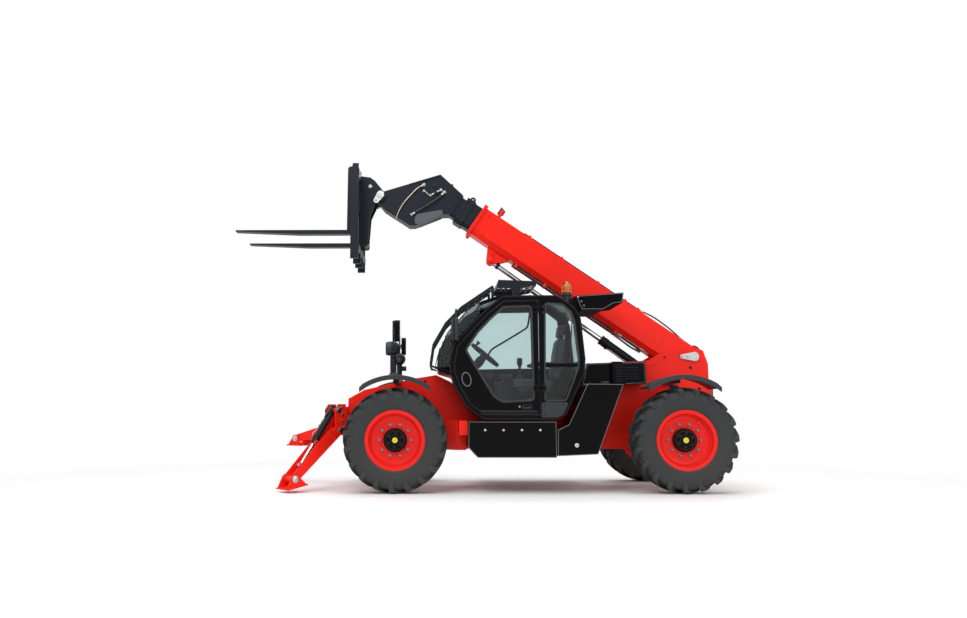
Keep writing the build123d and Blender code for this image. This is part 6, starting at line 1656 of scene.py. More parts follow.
def add_cushion(bm, place, size, corner, crown, grooves=(), piping=0.0, count=22):
    """Crowned cushion centred on place, thick along Z, with sewn grooves across X or Y."""
    half = [value / 2 for value in size]
    found = {}
    grid = [-1 + 2 * i / count for i in range(count + 1)]

    def vert(spot):
        key = tuple(round(value, 5) for value in spot)
        if key not in found:
            full = Vector([spot[i] * half[i] for i in range(3)])
            core = Vector([max(-half[i] + corner, min(half[i] - corner, full[i])) for i in range(3)])
            out = full - core
            point = core + out.normalized() * corner if out.length > 1e-6 else full
            u, v = point.x / half[0], point.y / half[1]
            swell = crown * max(0.0, 1 - u ** 4) * max(0.0, 1 - v ** 4)
            for axis, at, width, depth in grooves:
                gap = (point.x if axis == "x" else point.y) - at
                swell -= depth * math.exp(-(gap / width) ** 2)
            if spot[2] > 0:
                point.z += swell * min(1.0, spot[2])
            waist = 1 - 0.02 * (1 - spot[2] ** 2)
            found[key] = bm.verts.new(place @ Vector((point.x * waist, point.y * waist, point.z)))
        return found[key]

    for axis in range(3):
        for level in (-1, 1):
            for a, b in zip(grid, grid[1:]):
                for c, d in zip(grid, grid[1:]):
                    corners = []
                    for p, q in ((a, c), (b, c), (b, d), (a, d)):
                        spot = [p, q]
                        spot.insert(axis, level)
                        corners.append(vert(spot))
                    bm.faces.new(corners)
    if piping:
        line = rounded(size[0] - corner * 0.6, size[1] - corner * 0.6, corner, 5)
        ring = [place @ Vector((x, y, half[2] - corner * 0.30)) for x, y in line]
        add_pipe(bm, ring + ring[:1], piping, 6, 1)


class HANDLER_OT_seat(bpy.types.Operator):
    """Make the driver's seat: cushions, suspension, arm rests and belt"""
    bl_idname = "handler.seat"
    bl_label = "Seat"

    def execute(self, context):
        base, gaiter, belt, metal = (bmesh.new() for _ in range(4))
        floor = 0.860
        add_block(base, facing(ahead(-1.580, SEAT_Y, floor + 0.020), UP), (0.360, 0.360, 0.040))
        add_block(base, facing(ahead(-1.580, SEAT_Y, 1.150), UP), (0.400, 0.380, 0.030))
        profile = [(0.0, 0.160)]
        for fold in range(7):
            profile += [(0.018 + 0.034 * fold, 0.190), (0.035 + 0.034 * fold, 0.160)]
        start = facing(ahead(-1.580, SEAT_Y, floor + 0.040), UP)
        add_revolved(gaiter, start, profile, 4)
        bmesh.ops.rotate(gaiter, cent=start.translation, matrix=Matrix.Rotation(math.pi / 4, 3, "Z"),
                         verts=gaiter.verts)
        back_dir = Vector((-0.17, 0, 0.985)).normalized()
        cushion = facing(ahead(-1.560, SEAT_Y, 1.208), Vector((-0.035, 0, 1)), FORWARD)
        bottom, back, head, arm = (bmesh.new() for _ in range(4))
        add_cushion(bottom, cushion, (0.425, 0.470, 0.092), 0.038, 0.018,
                    [("x", -0.130, 0.008, 0.010), ("x", 0.130, 0.008, 0.010), ("y", 0.060, 0.008, 0.008),
                     ("y", -0.080, 0.008, 0.008)], 0.005)
        up_back = facing(ahead(-1.868, SEAT_Y, 1.500), back_dir.cross(LEFT) * -1, back_dir)
        add_cushion(back, up_back, (0.415, 0.480, 0.088), 0.036, 0.016,
                    [("x", -0.125, 0.008, 0.010), ("x", 0.125, 0.008, 0.010), ("y", 0.0, 0.008, 0.008),
                     ("y", 0.120, 0.008, 0.008), ("y", -0.120, 0.008, 0.008)], 0.005)
        top = facing(ahead(-1.912, SEAT_Y, 1.826), back_dir.cross(LEFT) * -1, back_dir)
        add_cushion(head, top, (0.270, 0.150, 0.066), 0.030, 0.008, [], 0.004, 16)
        for sign in (1, -1):
            rest = facing(ahead(-1.680, SEAT_Y + sign * 0.196, 1.440), UP, FORWARD)
            add_cushion(arm, rest, (0.056, 0.290, 0.044), 0.020, 0.002, [], 0.0, 10)
            add_rod(metal, ahead(-1.836, SEAT_Y + sign * 0.196, 1.420),
                    ahead(-1.810, SEAT_Y + sign * 0.150, 1.420), 0.012, 14, 0.002)
            add_rod(metal, ahead(-1.94, SEAT_Y + sign * 0.050, 1.70),
                    ahead(-1.952, SEAT_Y + sign * 0.050, 1.79), 0.007, 10)
        add_block(base, facing(ahead(-1.600, SEAT_Y + 0.200, 1.160), UP), (0.300, 0.024, 0.050))
        add_pipe(belt, route(ahead, (-1.790, SEAT_Y + 0.205, 1.210),
                             (-1.700, SEAT_Y + 0.190, 1.275), (-1.640, SEAT_Y + 0.120, 1.282),
                             (-1.610, SEAT_Y + 0.040, 1.280)), 0.008, 6, 6)
        add_block(belt, facing(ahead(-1.760, SEAT_Y - 0.195, 1.270), UP), (0.040, 0.022, 0.110))
        add_block(metal, facing(ahead(-1.605, SEAT_Y + 0.035, 1.284), UP), (0.045, 0.050, 0.012))
        soft = [(bottom, "seat_cushion", 0.6), (back, "seat_back", 0.6), (head, "seat_headrest", 0.7),
                (arm, "seat_armrests", 0.8)]
        for bm, name, fill in soft:
            made = finish_piece(bm, name, "chassis", "vinyl", angle=80)
            if name == "seat_cushion":
                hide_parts("seat")
        finish_piece(base, "seat_base", "chassis", "plastic", bevel=0.004)
        finish_piece(gaiter, "seat_gaiter", "chassis", "rubber")
        finish_piece(belt, "seat_belt", "chassis", "webbing")
        finish_piece(metal, "seat_metal", "chassis", "zinc", bevel=0.001)
        return {"FINISHED"}


class HANDLER_OT_controls(bpy.types.Operator):
    """Make the dashboard, pedals, levers, floor mat and the steering wheel's parts"""
    bl_idname = "handler.controls"
    bl_label = "Controls"

    def execute(self, context):
        dark, metal, dial, red, glow = (bmesh.new() for _ in range(5))
        tilt = Vector((-math.sin(math.radians(40)), 0, math.cos(math.radians(40))))
        hub = facing(ahead(-1.030, SEAT_Y, 1.556), tilt, FORWARD)
        add_revolved(dark, hub, [(0.008, 0.052), (0.020, 0.050), (0.026, 0.040), (0.028, 0.0)], 28)
        for index in range(48):
            angle = math.tau * index / 48
            grip = hub @ spin(angle) @ offset(0.185, 0, 0)
            add_block(dark, grip, (0.0318, 0.010, 0.0318))
        knob = hub @ spin(2.2) @ offset(0.185, 0, 0.016)
        add_revolved(dark, knob, [(0, 0.012), (0.018, 0.010), (0.024, 0.022), (0.044, 0.024),
                                  (0.052, 0.014), (0.053, 0)], 20)
        add_revolved(dark, hub, [(-0.030, 0.040), (-0.080, 0.052), (-0.150, 0.052), (-0.170, 0.045)], 24)
        for sign in (1, -1):
            stalk = hub @ offset(0, 0, -0.060)
            add_pipe(dark, [stalk @ Vector((sign * 0.04, 0.0, 0.0)),
                            stalk @ Vector((sign * 0.11, 0.0, 0.010)),
                            stalk @ Vector((sign * 0.170, 0.005, 0.018))], 0.007, 10, 5)
            add_rod(dark, stalk @ Vector((sign * 0.160, 0.004, 0.017)),
                    stalk @ Vector((sign * 0.195, 0.006, 0.020)), 0.011, 14, 0.002)
        top = facing(ahead(-0.775, SEAT_Y, 1.425), Vector((-0.14, 0, 1)), FORWARD)
        add_block(dark, top @ offset(0, 0, 0.012), (0.360, 0.190, 0.030), 0.9)
        binnacle = facing(ahead(-0.885, SEAT_Y, 1.452), Vector((-0.75, 0, 0.66)), UP)
        add_plate(dark, binnacle, rounded(0.300, 0.100, 0.030), 0.020)
        for x, radius in ((-0.085, 0.034), (0.0, 0.040), (0.085, 0.034)):
            face = binnacle @ offset(x, 0, 0.020)
            add_revolved(metal, face, [(0, radius), (0.004, radius), (0.004, radius - 0.004),
                                       (0.001, radius - 0.005)], 28)
            add_revolved(dial, face, [(0.0, radius - 0.005), (0.0015, radius - 0.006), (0.0015, 0)], 28)
            add_block(glow, face @ spin(0.8 + x * 9) @ offset(0.010, 0, 0.003), (0.030, 0.0025, 0.001))
        arm_top = CAB_FLOOR_Z + 0.400
        for index in range(6):
            x = -1.250 - 0.045 * index
            add_block(dark, facing(ahead(x, 0.372, arm_top + 0.006), UP), (0.026, 0.018, 0.012))
        for index in range(3):
            add_block(red if index == 0 else dark,
                      facing(ahead(-1.260 - 0.05 * index, 0.425, arm_top + 0.008), UP),
                      (0.030, 0.024, 0.016))
        gaiter = [(0.0, 0.062)]
        for fold in range(5):
            shrink = 0.058 - 0.008 * fold
            gaiter += [(0.012 + 0.014 * fold, shrink), (0.019 + 0.014 * fold, shrink - 0.010)]
        stick = facing(ahead(-1.460, 0.417, arm_top), UP)
        add_revolved(dark, stick, gaiter, 20)
        grip = [(0.170, 0.014), (0.185, 0.022), (0.215, 0.024), (0.235, 0.030), (0.262, 0.034),
                (0.280, 0.026), (0.284, 0.0)]
        add_revolved(dark, stick, grip, 22)
        add_revolved(red, stick @ offset(0.012, -0.022, 0.250) @ Matrix.Rotation(1.2, 4, "X"),
                     [(0, 0.007), (0.012, 0.007), (0.013, 0)], 12)
        for y, tall in ((0.600, 0.110), (0.800, 0.130)):
            foot = facing(ahead(-0.985, y, 0.980), Vector((-0.80, 0, 0.60)), UP)
            add_plate(dark, foot, rounded(0.075, tall, 0.012), 0.012)
            for rib in range(5):
                add_block(dark, foot @ offset(0, (rib - 2) * 0.020, 0.013), (0.064, 0.007, 0.005))
            add_pipe(metal, [foot.translation, ahead(-0.960, y, 1.040),
                             ahead(-0.930, y, 1.120)], 0.008, 10, 4)
        for rib in range(12):
            add_block(dark, facing(ahead(-1.06 - 0.02 * rib, 0.730, 0.862), UP, LEFT), (0.008, 0.560, 0.006))
        for x, z, width in ((-1.10, 1.330, 0.10), (-1.30, 1.320, 0.16)):
            add_block(dark, facing(ahead(x, 0.340, z), LEFT), (width, 0.060, 0.020))
        add_pipe(dark, route(ahead, (-0.70, 0.335, 1.40), (-0.72, 0.345, 1.70),
                             (-0.93, 0.345, 1.96)), 0.012, 12, 6)
        finish_piece(dark, "control_mouldings", "chassis", "plastic", bevel=0.002)
        finish_piece(metal, "control_metal", "chassis", "zinc", bevel=0.001)
        finish_piece(dial, "dial_faces", "chassis", "plastic")
        finish_piece(red, "control_buttons", "chassis", "rim", bevel=0.001)
        finish_piece(glow, "dial_needles", "chassis", "white")
        return {"FINISHED"}


# ------------------------------------------------------------------ lamps and mirrors

MAST = (0.025, 0.985)  # forward of the front axle, left
MAST_LAMP_Y = 1.166  # front lamp's middle, to the left


class HANDLER_OT_lamps(bpy.types.Operator):
    """Make the head lamps, indicators, beacon, tail lamps and mirror glasses"""
    bl_idname = "handler.lamps"
    bl_label = "Lamps and mirrors"

    def execute(self, context):
        ring, lens, silver, amber, glass, red = (bmesh.new() for _ in range(6))
        for sign in (1, -1):
            x, y = MAST
            lamp = facing(ahead(x, sign * y, 1.613), FORWARD)
            add_revolved(ring, lamp, [(0.020, 0.0825), (0.060, 0.079), (0.078, 0.074), (0.084, 0.070),
                                      (0.084, 0.064), (0.074, 0.062)], 40)
            add_revolved(silver, lamp, [(0.030, 0.018), (0.045, 0.044), (0.070, 0.062), (0.072, 0.062)], 40)
            add_revolved(lens, lamp, [(0.074, 0.0635), (0.080, 0.0630), (0.087, 0.045), (0.090, 0.020),
                                      (0.0905, 0.0)], 40)
            add_revolved(ring, facing(ahead(x, sign * y, 1.310), UP),
                         [(0, 0.052), (0.006, 0.052), (0.022, 0.042), (0.030, 0.037)], 32)
            add_bolt_ring(silver, facing(ahead(x, sign * y, 1.313), UP), 4, 0.047, 0.009, 0.004, 0.8)
            for z in (1.40, 1.47, 1.53):
                add_revolved(ring, facing(ahead(x, sign * y, z), UP),
                             [(0, 0.0363), (0.002, 0.0375), (0.008, 0.0375), (0.010, 0.0363)], 32)
            flasher = facing(ahead(x - 0.062, sign * (y + 0.030), 1.462), UP)
            add_revolved(amber, flasher, [(0, 0.0305), (0.002, 0.0315), (0.042, 0.0315), (0.048, 0.028)], 28)
            for z in (-0.006, 0.048):
                add_revolved(ring, flasher @ offset(0, 0, z), [(0, 0.031), (0.006, 0.031)], 28)
            pane = facing(ahead(-0.052, sign * 1.170, 1.797), -FORWARD)
            add_plate(glass, pane, rounded(0.130, 0.216, 0.034), 0.002)
            add_band(ring, pane, rounded(0.150, 0.236, 0.042), 0.009, 0.004)
            hold = facing(ahead(0.004, sign * 1.170, 1.797), FORWARD)
            add_block(ring, hold @ offset(0, 0, 0.005), (0.050, 0.070, 0.012), 0.8)
            add_rod(ring, ahead(x - 0.014, sign * 1.128, 1.800), ahead(x - 0.014, sign * 1.170, 1.800),
                    0.013, 16, 0.002)
            add_revolved(silver, facing(ahead(x, sign * (y + 0.008), 1.930), UP),
                         [(0, 0.0105), (0.003, 0.0105)], 6)
            tail = facing(ahead(-3.7975, sign * 0.205, 1.180), -FORWARD)
            add_band(ring, tail, rounded(0.076, 0.196, 0.016), 0.006, 0.005)
            add_plate(red, tail @ offset(0, -0.032, 0), rounded(0.060, 0.058, 0.006), 0.007)
            add_plate(amber, tail @ offset(0, 0.032, 0), rounded(0.060, 0.058, 0.006), 0.007)
            add_plate(lens, tail @ offset(0, 0.078, 0), rounded(0.060, 0.024, 0.006), 0.007)
            add_revolved(red, tail @ offset(0, -0.078, 0), [(0, 0.012), (0.006, 0.011), (0.006, 0)], 20)
        cab_pane = facing(ahead(-0.704, MAST_LAMP_Y, 1.805), -FORWARD)
        add_plate(glass, cab_pane, rounded(0.070, 0.250, 0.016), 0.002)
        add_band(ring, cab_pane, rounded(0.084, 0.268, 0.020), 0.006, 0.004)
        shell = facing(ahead(-0.700, MAST_LAMP_Y, 1.808), FORWARD)
        add_loft(ring, shell, ((0.0, 0.086, 0.266, 0.020), (0.030, 0.086, 0.266, 0.026),
                               (0.060, 0.072, 0.250, 0.030), (0.074, 0.040, 0.210, 0.018)))
        post = route(ahead, (-0.680, MAST_LAMP_Y, 1.925), (-0.682, MAST_LAMP_Y, 2.005),
                     (-0.684, 1.150, 2.040), (-0.686, 1.080, 2.046))
        add_pipe(ring, post, 0.0104, 14, 6)
        finish_piece(ring, "lamp_rings", "chassis", "plastic", bevel=0.001)
        finish_piece(lens, "lamp_lenses", "chassis", "lens")
        finish_piece(silver, "lamp_reflectors", "chassis", "lamp_face")
        finish_piece(amber, "indicator_lenses", "chassis", "amber")
        finish_piece(glass, "mirror_glasses", "chassis", "mirror")
        finish_piece(red, "tail_lenses", "chassis", "red_lens")
        self.beacon()
        return {"FINISHED"}

    def beacon(self):
        """Amber beacon on its black foot."""
        foot, dome, bulb = bmesh.new(), bmesh.new(), bmesh.new()
        place = facing(ahead(-1.965, 0.900, 2.240), UP)
        add_revolved(foot, place, [(-0.122, 0.047), (-0.060, 0.047), (-0.020, 0.050), (-0.012, 0.0575),
                                   (0.018, 0.0575), (0.022, 0.054), (0.022, 0.0)], 36)
        add_revolved(dome, place, [(0.020, 0.0545), (0.030, 0.0555), (0.090, 0.0530), (0.118, 0.0480),
                                   (0.136, 0.036), (0.146, 0.018), (0.149, 0.0)], 40)
        for index in range(24):
            rib = place @ spin(math.tau * index / 24)
            add_block(dome, rib @ offset(0.0545, 0, 0.062), (0.0036, 0.005, 0.066))
        add_revolved(bulb, place, [(0.022, 0.030), (0.060, 0.030), (0.062, 0.020), (0.075, 0.026),
                                   (0.112, 0.026), (0.116, 0.0)], 24)
        made = finish_piece(dome, "beacon_dome", "chassis", "amber")
        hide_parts("beacon")
        finish_piece(foot, "beacon_foot", "chassis", "plastic", bevel=0.001)
        finish_piece(bulb, "beacon_lamp", "chassis", "amber_core")


# ------------------------------------------------------------------ boxes, hood and fenders

BOX_FACE = 1.118  # outer faces of the boxes and panels, to the left of the middle plane
BACK_PANEL_FACE = 0.520
FIN_FACE = 0.610
ROOF_BOX_FACE = 1.070
STEP_SIDE = [(-0.820, 0.790), (-0.816, 0.506), (-0.918, 0.395), (-1.790, 0.395), (-1.790, 0.790)]
TANK_SIDE = [
    (-1.806, 0.700), (-1.800, 0.412), (-2.246, 0.432), (-2.546, 1.205), (-2.150, 1.211),
    (-2.128, 1.180), (-1.950, 0.800), (-1.930, 0.760),
]


class HANDLER_OT_boxes(bpy.types.Operator):
    """Make the bolts, treads, lock and cap of the boxes on the left side, and paler bands along their edges that
    are painted edge highlights
    """
    bl_idname = "handler.boxes"
    bl_label = "Side boxes"

    def execute(self, context):
        bolt, edge, rubber, cap, grille, dark = (bmesh.new() for _ in range(6))
        face = side_place(BOX_FACE)
        for x in (-1.001, -1.205, -1.408, -1.611):
            spot = face @ offset(-x, 0.697, 0)
            add_revolved(bolt, spot, [(0, 0.015), (0.002, 0.015), (0.007, 0.012), (0.009, 0.006),
                                      (0.009, 0)], 24)
        lock = face @ offset(2.013, 0.530, 0)
        add_revolved(bolt, lock, [(0, 0.024), (0.003, 0.024), (0.006, 0.020), (0.006, 0.013),
                                  (0.004, 0.012), (0.004, 0)], 30)
        # Near-black bar in the lock: painted shade of its key slot
        add_block(rubber, lock @ spin(0.5) @ offset(0, 0, 0.005), (0.014, 0.0035, 0.003))
        # Paler grey bands along the outlines of the tank, step box, back panel and roof box: painted edge
        # highlights
        add_band(edge, face, inset(side_points(TANK_SIDE), 0.002), 0.006, 0.003)
        add_band(edge, face, inset(side_points(STEP_SIDE), 0.002), 0.005, 0.002)
        for row in range(3):
            for step in range(23):
                stud = ahead(-0.852 - 0.041 * step, 1.090 - 0.040 * row, 0.7915)
                add_block(rubber, facing(stud, UP), (0.010, 0.022, 0.005))
        filler = facing(ahead(-2.360, 0.990, 1.207), UP)
        add_revolved(cap, filler, [(0, 0.052), (0.008, 0.052), (0.010, 0.046), (0.030, 0.046),
                                   (0.034, 0.042), (0.034, 0.0)], 36)
        for index in range(12):
            rib = filler @ spin(math.tau * index / 12)
            add_block(cap, rib @ offset(0.046, 0, 0.020), (0.004, 0.007, 0.018))
        for index in range(5):
            x = -2.290 - 0.046 * index
            add_block(grille, facing(ahead(x, 0.560, 1.213), UP), (0.030, 0.240, 0.004))
        panel = side_place(BACK_PANEL_FACE)
        for index in range(6):
            slot = panel @ offset(2.760, 1.290 + 0.026 * index, 0.001)
            add_block(grille, slot, (0.180, 0.008, 0.004))
        for x, z in ((-2.270, 1.445), (-2.270, 1.245), (-2.900, 1.460), (-2.900, 1.250), (-2.600, 1.250)):
            add_bolt(dark, panel @ offset(-x, z, 0), 0.014, 0.006)
        add_band(edge, panel, inset(side_points([(-2.190, 1.224), (-2.560, 1.224), (-2.930, 1.238),
                                                 (-2.925, 1.482), (-2.250, 1.462)]), 0.0), 0.006, 0.003)
        fin = side_place(FIN_FACE)
        for index in range(8):
            slot = fin @ offset(2.602, 1.260 + 0.026 * index, 0.001)
            add_block(grille, slot, (0.078, 0.009, 0.005))
        roof = side_place(ROOF_BOX_FACE)
        for x, z in ((-2.064, 2.190), (-2.100, 2.141), (-2.128, 2.092)):
            add_revolved(bolt, roof @ offset(-x, z, 0), [(0, 0.009), (0.004, 0.008), (0.004, 0)], 14)
        add_band(edge, roof, inset(side_points([(-2.050, 2.200), (-2.575, 2.234), (-2.562, 2.130),
                                                (-2.464, 2.121), (-2.345, 2.051), (-2.108, 2.052),
                                                (-2.085, 2.100)]), 0.0), 0.006, 0.003)
        for index in range(7):
            slot = facing(ahead(-2.576, 0.480 + 0.07 * index, 2.184), -FORWARD)
            add_block(grille, slot, (0.040, 0.060, 0.004))
        finish_piece(bolt, "box_bolts", "chassis", "steel", bevel=0.0006)
        finish_piece(dark, "box_dark_bolts", "chassis", "satin", bevel=0.0006)
        # painted edge highlights, in paler grey
        finish_piece(edge, "box_edge_highlights", "chassis", "grey_gloss", bevel=0.0008)
        finish_piece(rubber, "box_treads", "chassis", "rubber")
        finish_piece(cap, "filler_cap", "chassis", "plastic", bevel=0.001)
        finish_piece(grille, "box_grilles", "chassis", "satin", bevel=0.0008)
        return {"FINISHED"}


HOOD_RIGHT = -1.120  # hood's outer face


class HANDLER_OT_hood(bpy.types.Operator):
    """Make the engine hood's louvres, latches, grille, seams and the tub's bolts"""
    bl_idname = "handler.hood"
    bl_label = "Engine hood"

    def execute(self, context):
        frame_bm, mesh_bm, latch, bolt, seal = (bmesh.new() for _ in range(5))
        face = facing(ahead(0, HOOD_RIGHT, 0), -LEFT)
        for column in range(5):
            for row in range(3):
                x = -1.700 + 0.150 * (column - 2)
                z = 1.110 + 0.060 * (row - 1)
                slot = face @ offset(x, z, 0)
                add_band(frame_bm, slot, rounded(0.132, 0.034, 0.010), 0.006, 0.004)
                lip = slot @ Matrix.Rotation(math.radians(-32), 4, "X") @ offset(0, 0.004, -0.006)
                add_block(mesh_bm, lip, (0.118, 0.020, 0.002))
        for x in (-1.080, -2.300):
            hold = face @ offset(x, 1.055, 0)
            add_plate(latch, hold, rounded(0.060, 0.036, 0.008), 0.005)
            add_block(latch, hold @ offset(0, -0.002, 0.009), (0.018, 0.050, 0.010), 0.8)
            add_revolved(bolt, hold @ offset(0.020, 0, 0.005),
                         [(0, 0.006), (0.003, 0.005), (0.003, 0)], 14)
        line = [(-0.900, 1.205), (-2.530, 1.205), (-2.530, 1.199), (-0.900, 1.199)]
        add_plate(frame_bm, face, line, 0.004)
        end = facing(ahead(-2.550, 0, 0), -FORWARD)
        for row in range(6):
            for column in range(12):
                spot = end @ offset(0.700 + 0.034 * (column - 5.5), 1.150 + 0.030 * (row - 2.5), 0)
                add_block(mesh_bm, spot, (0.024, 0.018, 0.004))
        add_band(frame_bm, end @ offset(0.700, 1.150, 0), rounded(0.440, 0.210, 0.020), 0.010, 0.006)
        top = facing(ahead(-1.700, -0.640, 1.420), UP, FORWARD)
        add_band(frame_bm, top, rounded(0.420, 1.150, 0.040), 0.008, 0.004)
        for index in range(18):
            add_block(mesh_bm, top @ offset(0, -0.470 + 0.055 * index, 0.001), (0.340, 0.022, 0.004))
        finish_piece(frame_bm, "hood_frames", "engine_lid", "plastic", bevel=0.001)
        finish_piece(mesh_bm, "hood_grilles", "engine_lid", "satin", bevel=0.0006)
        finish_piece(latch, "hood_latches", "engine_lid", "rubber", bevel=0.0015)
        finish_piece(bolt, "hood_bolts", "engine_lid", "zinc")
        tub = bmesh.new()
        for x in (-1.100, -1.500, -1.900, -2.250):
            add_bolt(tub, face @ offset(x, 0.960, 0), 0.016, 0.007)
            if x > -2.2:
                add_bolt(tub, face @ offset(x, 0.480, 0), 0.016, 0.007)
        step = [(-1.350, 0.560), (-1.350, 0.700), (-1.050, 0.700), (-1.050, 0.560)]
        add_band(seal, face, round_corners(step, 0.02), 0.010, 0.006)
        finish_piece(tub, "tub_bolts", "chassis", "nut", bevel=0.0006)
        finish_piece(seal, "tub_frames", "chassis", "plastic", bevel=0.001)
        self.engine()
        return {"FINISHED"}

    def engine(self):
        """Ribs, cover and pipes on the plain engine block."""
        cast, cover, pipe, metal = (bmesh.new() for _ in range(4))
        low, high = (Vector(corner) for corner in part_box("engine_block"))
        middle = (low + high) / 2
        top = facing(Vector((middle.x, middle.y, high.z)), UP, FORWARD)
        add_block(cover, top @ offset(0, 0, 0.020), (0.240, 0.700, 0.040), 0.92)
        for index in range(4):
            cap = top @ offset(0, -0.240 + 0.160 * index, 0.040)
            add_revolved(metal, cap, [(0, 0.020), (0.010, 0.018), (0.012, 0.012), (0.012, 0)], 20)
        add_pipe(pipe, [top @ Vector((0.150, -0.300, 0.020)),
                        top @ Vector((0.180, -0.100, 0.050)), top @ Vector((0.180, 0.200, 0.050)),
                        top @ Vector((0.100, 0.420, 0.030))], 0.032, 16, 8)
        add_pipe(cast, [top @ Vector((-0.130, -0.300, 0.010)),
                        top @ Vector((-0.165, -0.150, 0.030)), top @ Vector((-0.165, 0.250, 0.030)),
                        top @ Vector((-0.120, 0.360, 0.010))], 0.036, 16, 8)
        filter_place = top @ offset(0.160, -0.430, -0.02)
        add_revolved(cover, filter_place, [(0, 0.050), (0.010, 0.056), (0.080, 0.056), (0.090, 0.046),
                                           (0.090, 0.0)], 28)
        right = facing(Vector((middle.x, low.y, middle.z)), -LEFT)
        for index in range(7):
            add_block(cast, right @ offset(-0.420 + 0.140 * index, 0, 0.004), (0.030, 0.520, 0.012))
        for index in range(8):
            add_bolt(metal, right @ offset(-0.490 + 0.140 * index, 0.280, 0.0), 0.018, 0.010)
        finish_piece(cast, "engine_castings", "chassis", "iron", bevel=0.004)
        finish_piece(cover, "engine_covers", "chassis", "plastic", bevel=0.004)
        finish_piece(pipe, "engine_pipe", "chassis", "rubber")
        finish_piece(metal, "engine_bolts", "chassis", "zinc", bevel=0.001)


class HANDLER_OT_fenders(bpy.types.Operator):
    """Make the fenders' ribs, edge lips and bolts"""
    bl_idname = "handler.fenders"
    bl_label = "Fenders"

    reach: size("Radius", "Fenders' outer radius", 0.683)
    middle: size("Middle", "Height of the fenders' centre line", 0.617)

    def execute(self, context):
        for end, axle in (("front", FRONT_AXLE), ("rear", REAR_AXLE)):
            rib, bolt = bmesh.new(), bmesh.new()
            for sign in (1, -1):
                for y, wide, tall in ((0.720, 0.024, 0.006), (0.810, 0.030, 0.008),
                                      (1.050, 0.030, 0.008), (1.150, 0.022, 0.010)):
                    self.arc(rib, axle, sign * y, wide, tall, 0.598)
                for x in (-0.33, 0.33):
                    angle = math.asin(x / self.reach)
                    out = FORWARD * math.sin(angle) + UP * math.cos(angle)
                    spot = Vector((axle.x, sign * 0.930, self.middle)) + out * self.reach
                    add_revolved(bolt, facing(spot, out), [(0, 0.010), (0.004, 0.008), (0.004, 0)], 16)
                for x in (-0.020, 0.020):
                    for y in (0.70, 0.78):
                        add_bolt(bolt, facing(Vector((axle.x + x, sign * y, 1.3005)), UP), 0.014, 0.006)
            finish_piece(rib, f"{end}_fender_ribs", "chassis", "plastic",
                         bevel=0.002)
            finish_piece(bolt, f"{end}_fender_bolts", "chassis", "satin", bevel=0.0008)
        return {"FINISHED"}

    def arc(self, bm, axle, y, wide, tall, span):
        """Raised rib along a fender's top, from end to end."""
        rings = []
        for index in range(25):
            angle = span * (index / 12 - 1)
            out = FORWARD * math.sin(angle) + UP * math.cos(angle)
            ends = 1.0 if 0 < index < 24 else 0.0
            base = Vector((axle.x, y, self.middle)) + out * (self.reach - 0.001)
            lift = out * (tall * ends + 0.001)
            slope = LEFT * (wide / 2)
            rings.append([bm.verts.new(p) for p in (
                base - slope, base - slope * 0.7 + lift, base + slope * 0.7 + lift, base + slope)])
        join_rings(bm, rings)


# ------------------------------------------------------------------ stage

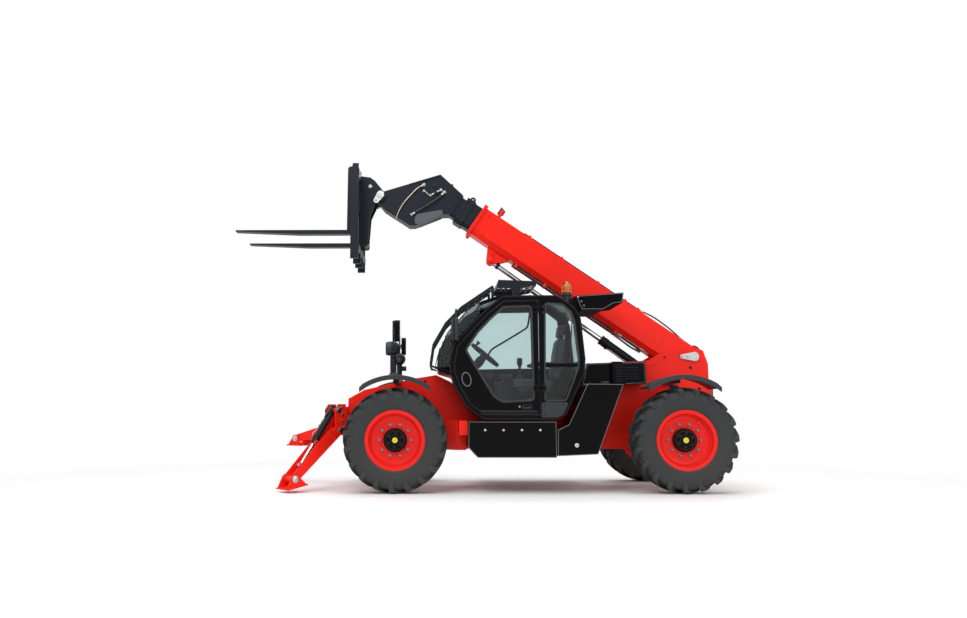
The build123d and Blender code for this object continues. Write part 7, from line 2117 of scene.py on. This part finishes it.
class HANDLER_OT_stage(bpy.types.Operator):
    """Make the floor, the lamps, the surround and the camera"""
    bl_idname = "handler.stage"
    bl_label = "Stage"

    reach: size("Reach", "Radius of the floor that takes shadows", 9.0)

    def floor_material(self):
        """White floor whose edge fades into the white surround."""
        material = bpy.data.materials.new("studio_floor")
        material.use_nodes = True
        tree = material.node_tree
        shader = tree.nodes["Principled BSDF"]
        set_inputs(shader, Base_Color=(0.93, 0.93, 0.93, 1), Roughness=0.6, Specular_IOR_Level=0.2)
        out = tree.nodes["Material Output"]
        white = add_node(tree, "ShaderNodeEmission", Strength=1.0)
        place = tree.nodes.new("ShaderNodeTexCoord")
        reach = add_node(tree, "ShaderNodeVectorMath", {"operation": "LENGTH"})
        tree.links.new(place.outputs["Object"], reach.inputs[0])
        fade = add_node(tree, "ShaderNodeMapRange", {"interpolation_type": "SMOOTHSTEP"},
                        From_Min=self.reach * 0.35, From_Max=self.reach * 0.9)
        tree.links.new(reach.outputs["Value"], fade.inputs["Value"])
        mix = tree.nodes.new("ShaderNodeMixShader")
        tree.links.new(fade.outputs["Result"], mix.inputs[0])
        tree.links.new(shader.outputs[0], mix.inputs[1])
        tree.links.new(white.outputs[0], mix.inputs[2])
        tree.links.new(mix.outputs[0], out.inputs["Surface"])
        return material

    def surround(self, scene, strength):
        """Plain surround: white where the camera, gloss and glass see it, softer as light."""
        world = bpy.data.worlds.new("studio_surround")
        scene.world = world
        world.use_nodes = True
        tree = world.node_tree
        back = tree.nodes["Background"]
        back.inputs["Color"].default_value = (1.0, 1.0, 1.0, 1.0)
        path = tree.nodes.new("ShaderNodeLightPath")
        seen = math_node(tree, "ADD", path.outputs["Is Camera Ray"], path.outputs["Is Transmission Ray"])
        seen = math_node(tree, "ADD", seen, path.outputs["Is Glossy Ray"], clamp=True)
        lit = math_node(tree, "MULTIPLY", seen, 1.0 - strength)
        total = math_node(tree, "ADD", lit, strength, clamp=True)
        tree.links.new(total, back.inputs["Strength"])

    def lamp(self, name, place, target, width, height, power):
        """Soft rectangular lamp that points at a target."""
        data = bpy.data.lights.new(name, "AREA")
        data.shape = "RECTANGLE"
        data.size, data.size_y = width, height
        data.energy = power
        made = bpy.data.objects.new(name, data)
        bpy.context.scene.collection.objects.link(made)
        made.location = place
        made.rotation_euler = (Vector(target) - Vector(place)).to_track_quat("-Z", "Y").to_euler()

    def execute(self, context):
        scene = context.scene
        stage = scene.handler_stage
        middle = (Vector(CAD_BOX[0]) + Vector(CAD_BOX[1])) / 2
        bm = bmesh.new()
        bm.faces.new([bm.verts.new((x, y, 0.0)) for x, y in circle(self.reach, 96)[:-1]])
        mesh = bpy.data.meshes.new("floor")
        bm.to_mesh(mesh)
        bm.free()
        floor = bpy.data.objects.new("floor", mesh)
        scene.collection.objects.link(floor)
        mesh.materials.append(self.floor_material())
        self.surround(scene, stage.sky)
        self.lamp("key_lamp", (3.5, 7.5, 7.5), middle, 5.0, 4.0, stage.key)
        self.lamp("fill_lamp", (-5.0, 7.0, 4.0), middle, 4.0, 4.0, stage.fill)
        self.lamp("rim_lamp", (-2.0, -6.0, 6.5), middle, 5.0, 3.0, stage.fill)
        self.lamp("top_lamp", (middle.x, middle.y, 9.0), middle, 9.0, 9.0, stage.top)
        data = bpy.data.cameras.new("camera")
        data.lens = stage.lens
        data.sensor_width = 36.0
        data.sensor_fit = "HORIZONTAL"
        data.shift_x = stage.shift
        camera = bpy.data.objects.new("camera", data)
        scene.collection.objects.link(camera)
        camera.location = ahead(*stage.eye)
        across = Vector((math.sin(stage.heading), -math.cos(stage.heading), 0.0))
        look = across * math.cos(stage.pitch) + UP * math.sin(stage.pitch)
        camera.rotation_euler = look.to_track_quat("-Z", "Y").to_euler()
        scene.camera = camera
        scene.view_settings.view_transform = "Standard"
        return {"FINISHED"}


# ------------------------------------------------------------------ panel and run

OPERATORS = (
    HANDLER_OT_finishes, HANDLER_OT_tyres, HANDLER_OT_wheels, HANDLER_OT_frame, HANDLER_OT_axles,
    HANDLER_OT_boom, HANDLER_OT_nose, HANDLER_OT_head, HANDLER_OT_carriage, HANDLER_OT_cylinders,
    HANDLER_OT_stabilisers, HANDLER_OT_cab, HANDLER_OT_door, HANDLER_OT_seat, HANDLER_OT_controls,
    HANDLER_OT_lamps, HANDLER_OT_boxes, HANDLER_OT_hood, HANDLER_OT_fenders, HANDLER_OT_stage,
)


class HANDLER_PT_build(bpy.types.Panel):
    """Lists the steps that dress the handler"""
    bl_label = "Handler"
    bl_idname = "HANDLER_PT_build"
    bl_space_type = "VIEW_3D"
    bl_region_type = "UI"
    bl_category = "Handler"

    def draw(self, context):
        for operator in OPERATORS:
            self.layout.operator(operator.bl_idname)


GROUPS = (
    ("handler_colours", HandlerColours), ("handler_sizes", HandlerSizes), ("handler_stage", StageSettings),
)


def register():
    """Register the property groups, the operators and the panel."""
    for name, group in GROUPS:
        bpy.utils.register_class(group)
        setattr(bpy.types.Scene, name, PointerProperty(type=group))
    for shown in (*OPERATORS, HANDLER_PT_build):
        bpy.utils.register_class(shown)


def unregister():
    """Undo register in reverse order."""
    for shown in reversed((*OPERATORS, HANDLER_PT_build)):
        bpy.utils.unregister_class(shown)
    for name, group in reversed(GROUPS):
        delattr(bpy.types.Scene, name)
        bpy.utils.unregister_class(group)


def main():
    """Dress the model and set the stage."""
    register()
    for operator in OPERATORS:
        category, name = operator.bl_idname.split(".")
        getattr(getattr(bpy.ops, category), name)()


if __name__ == "__main__":
    main()
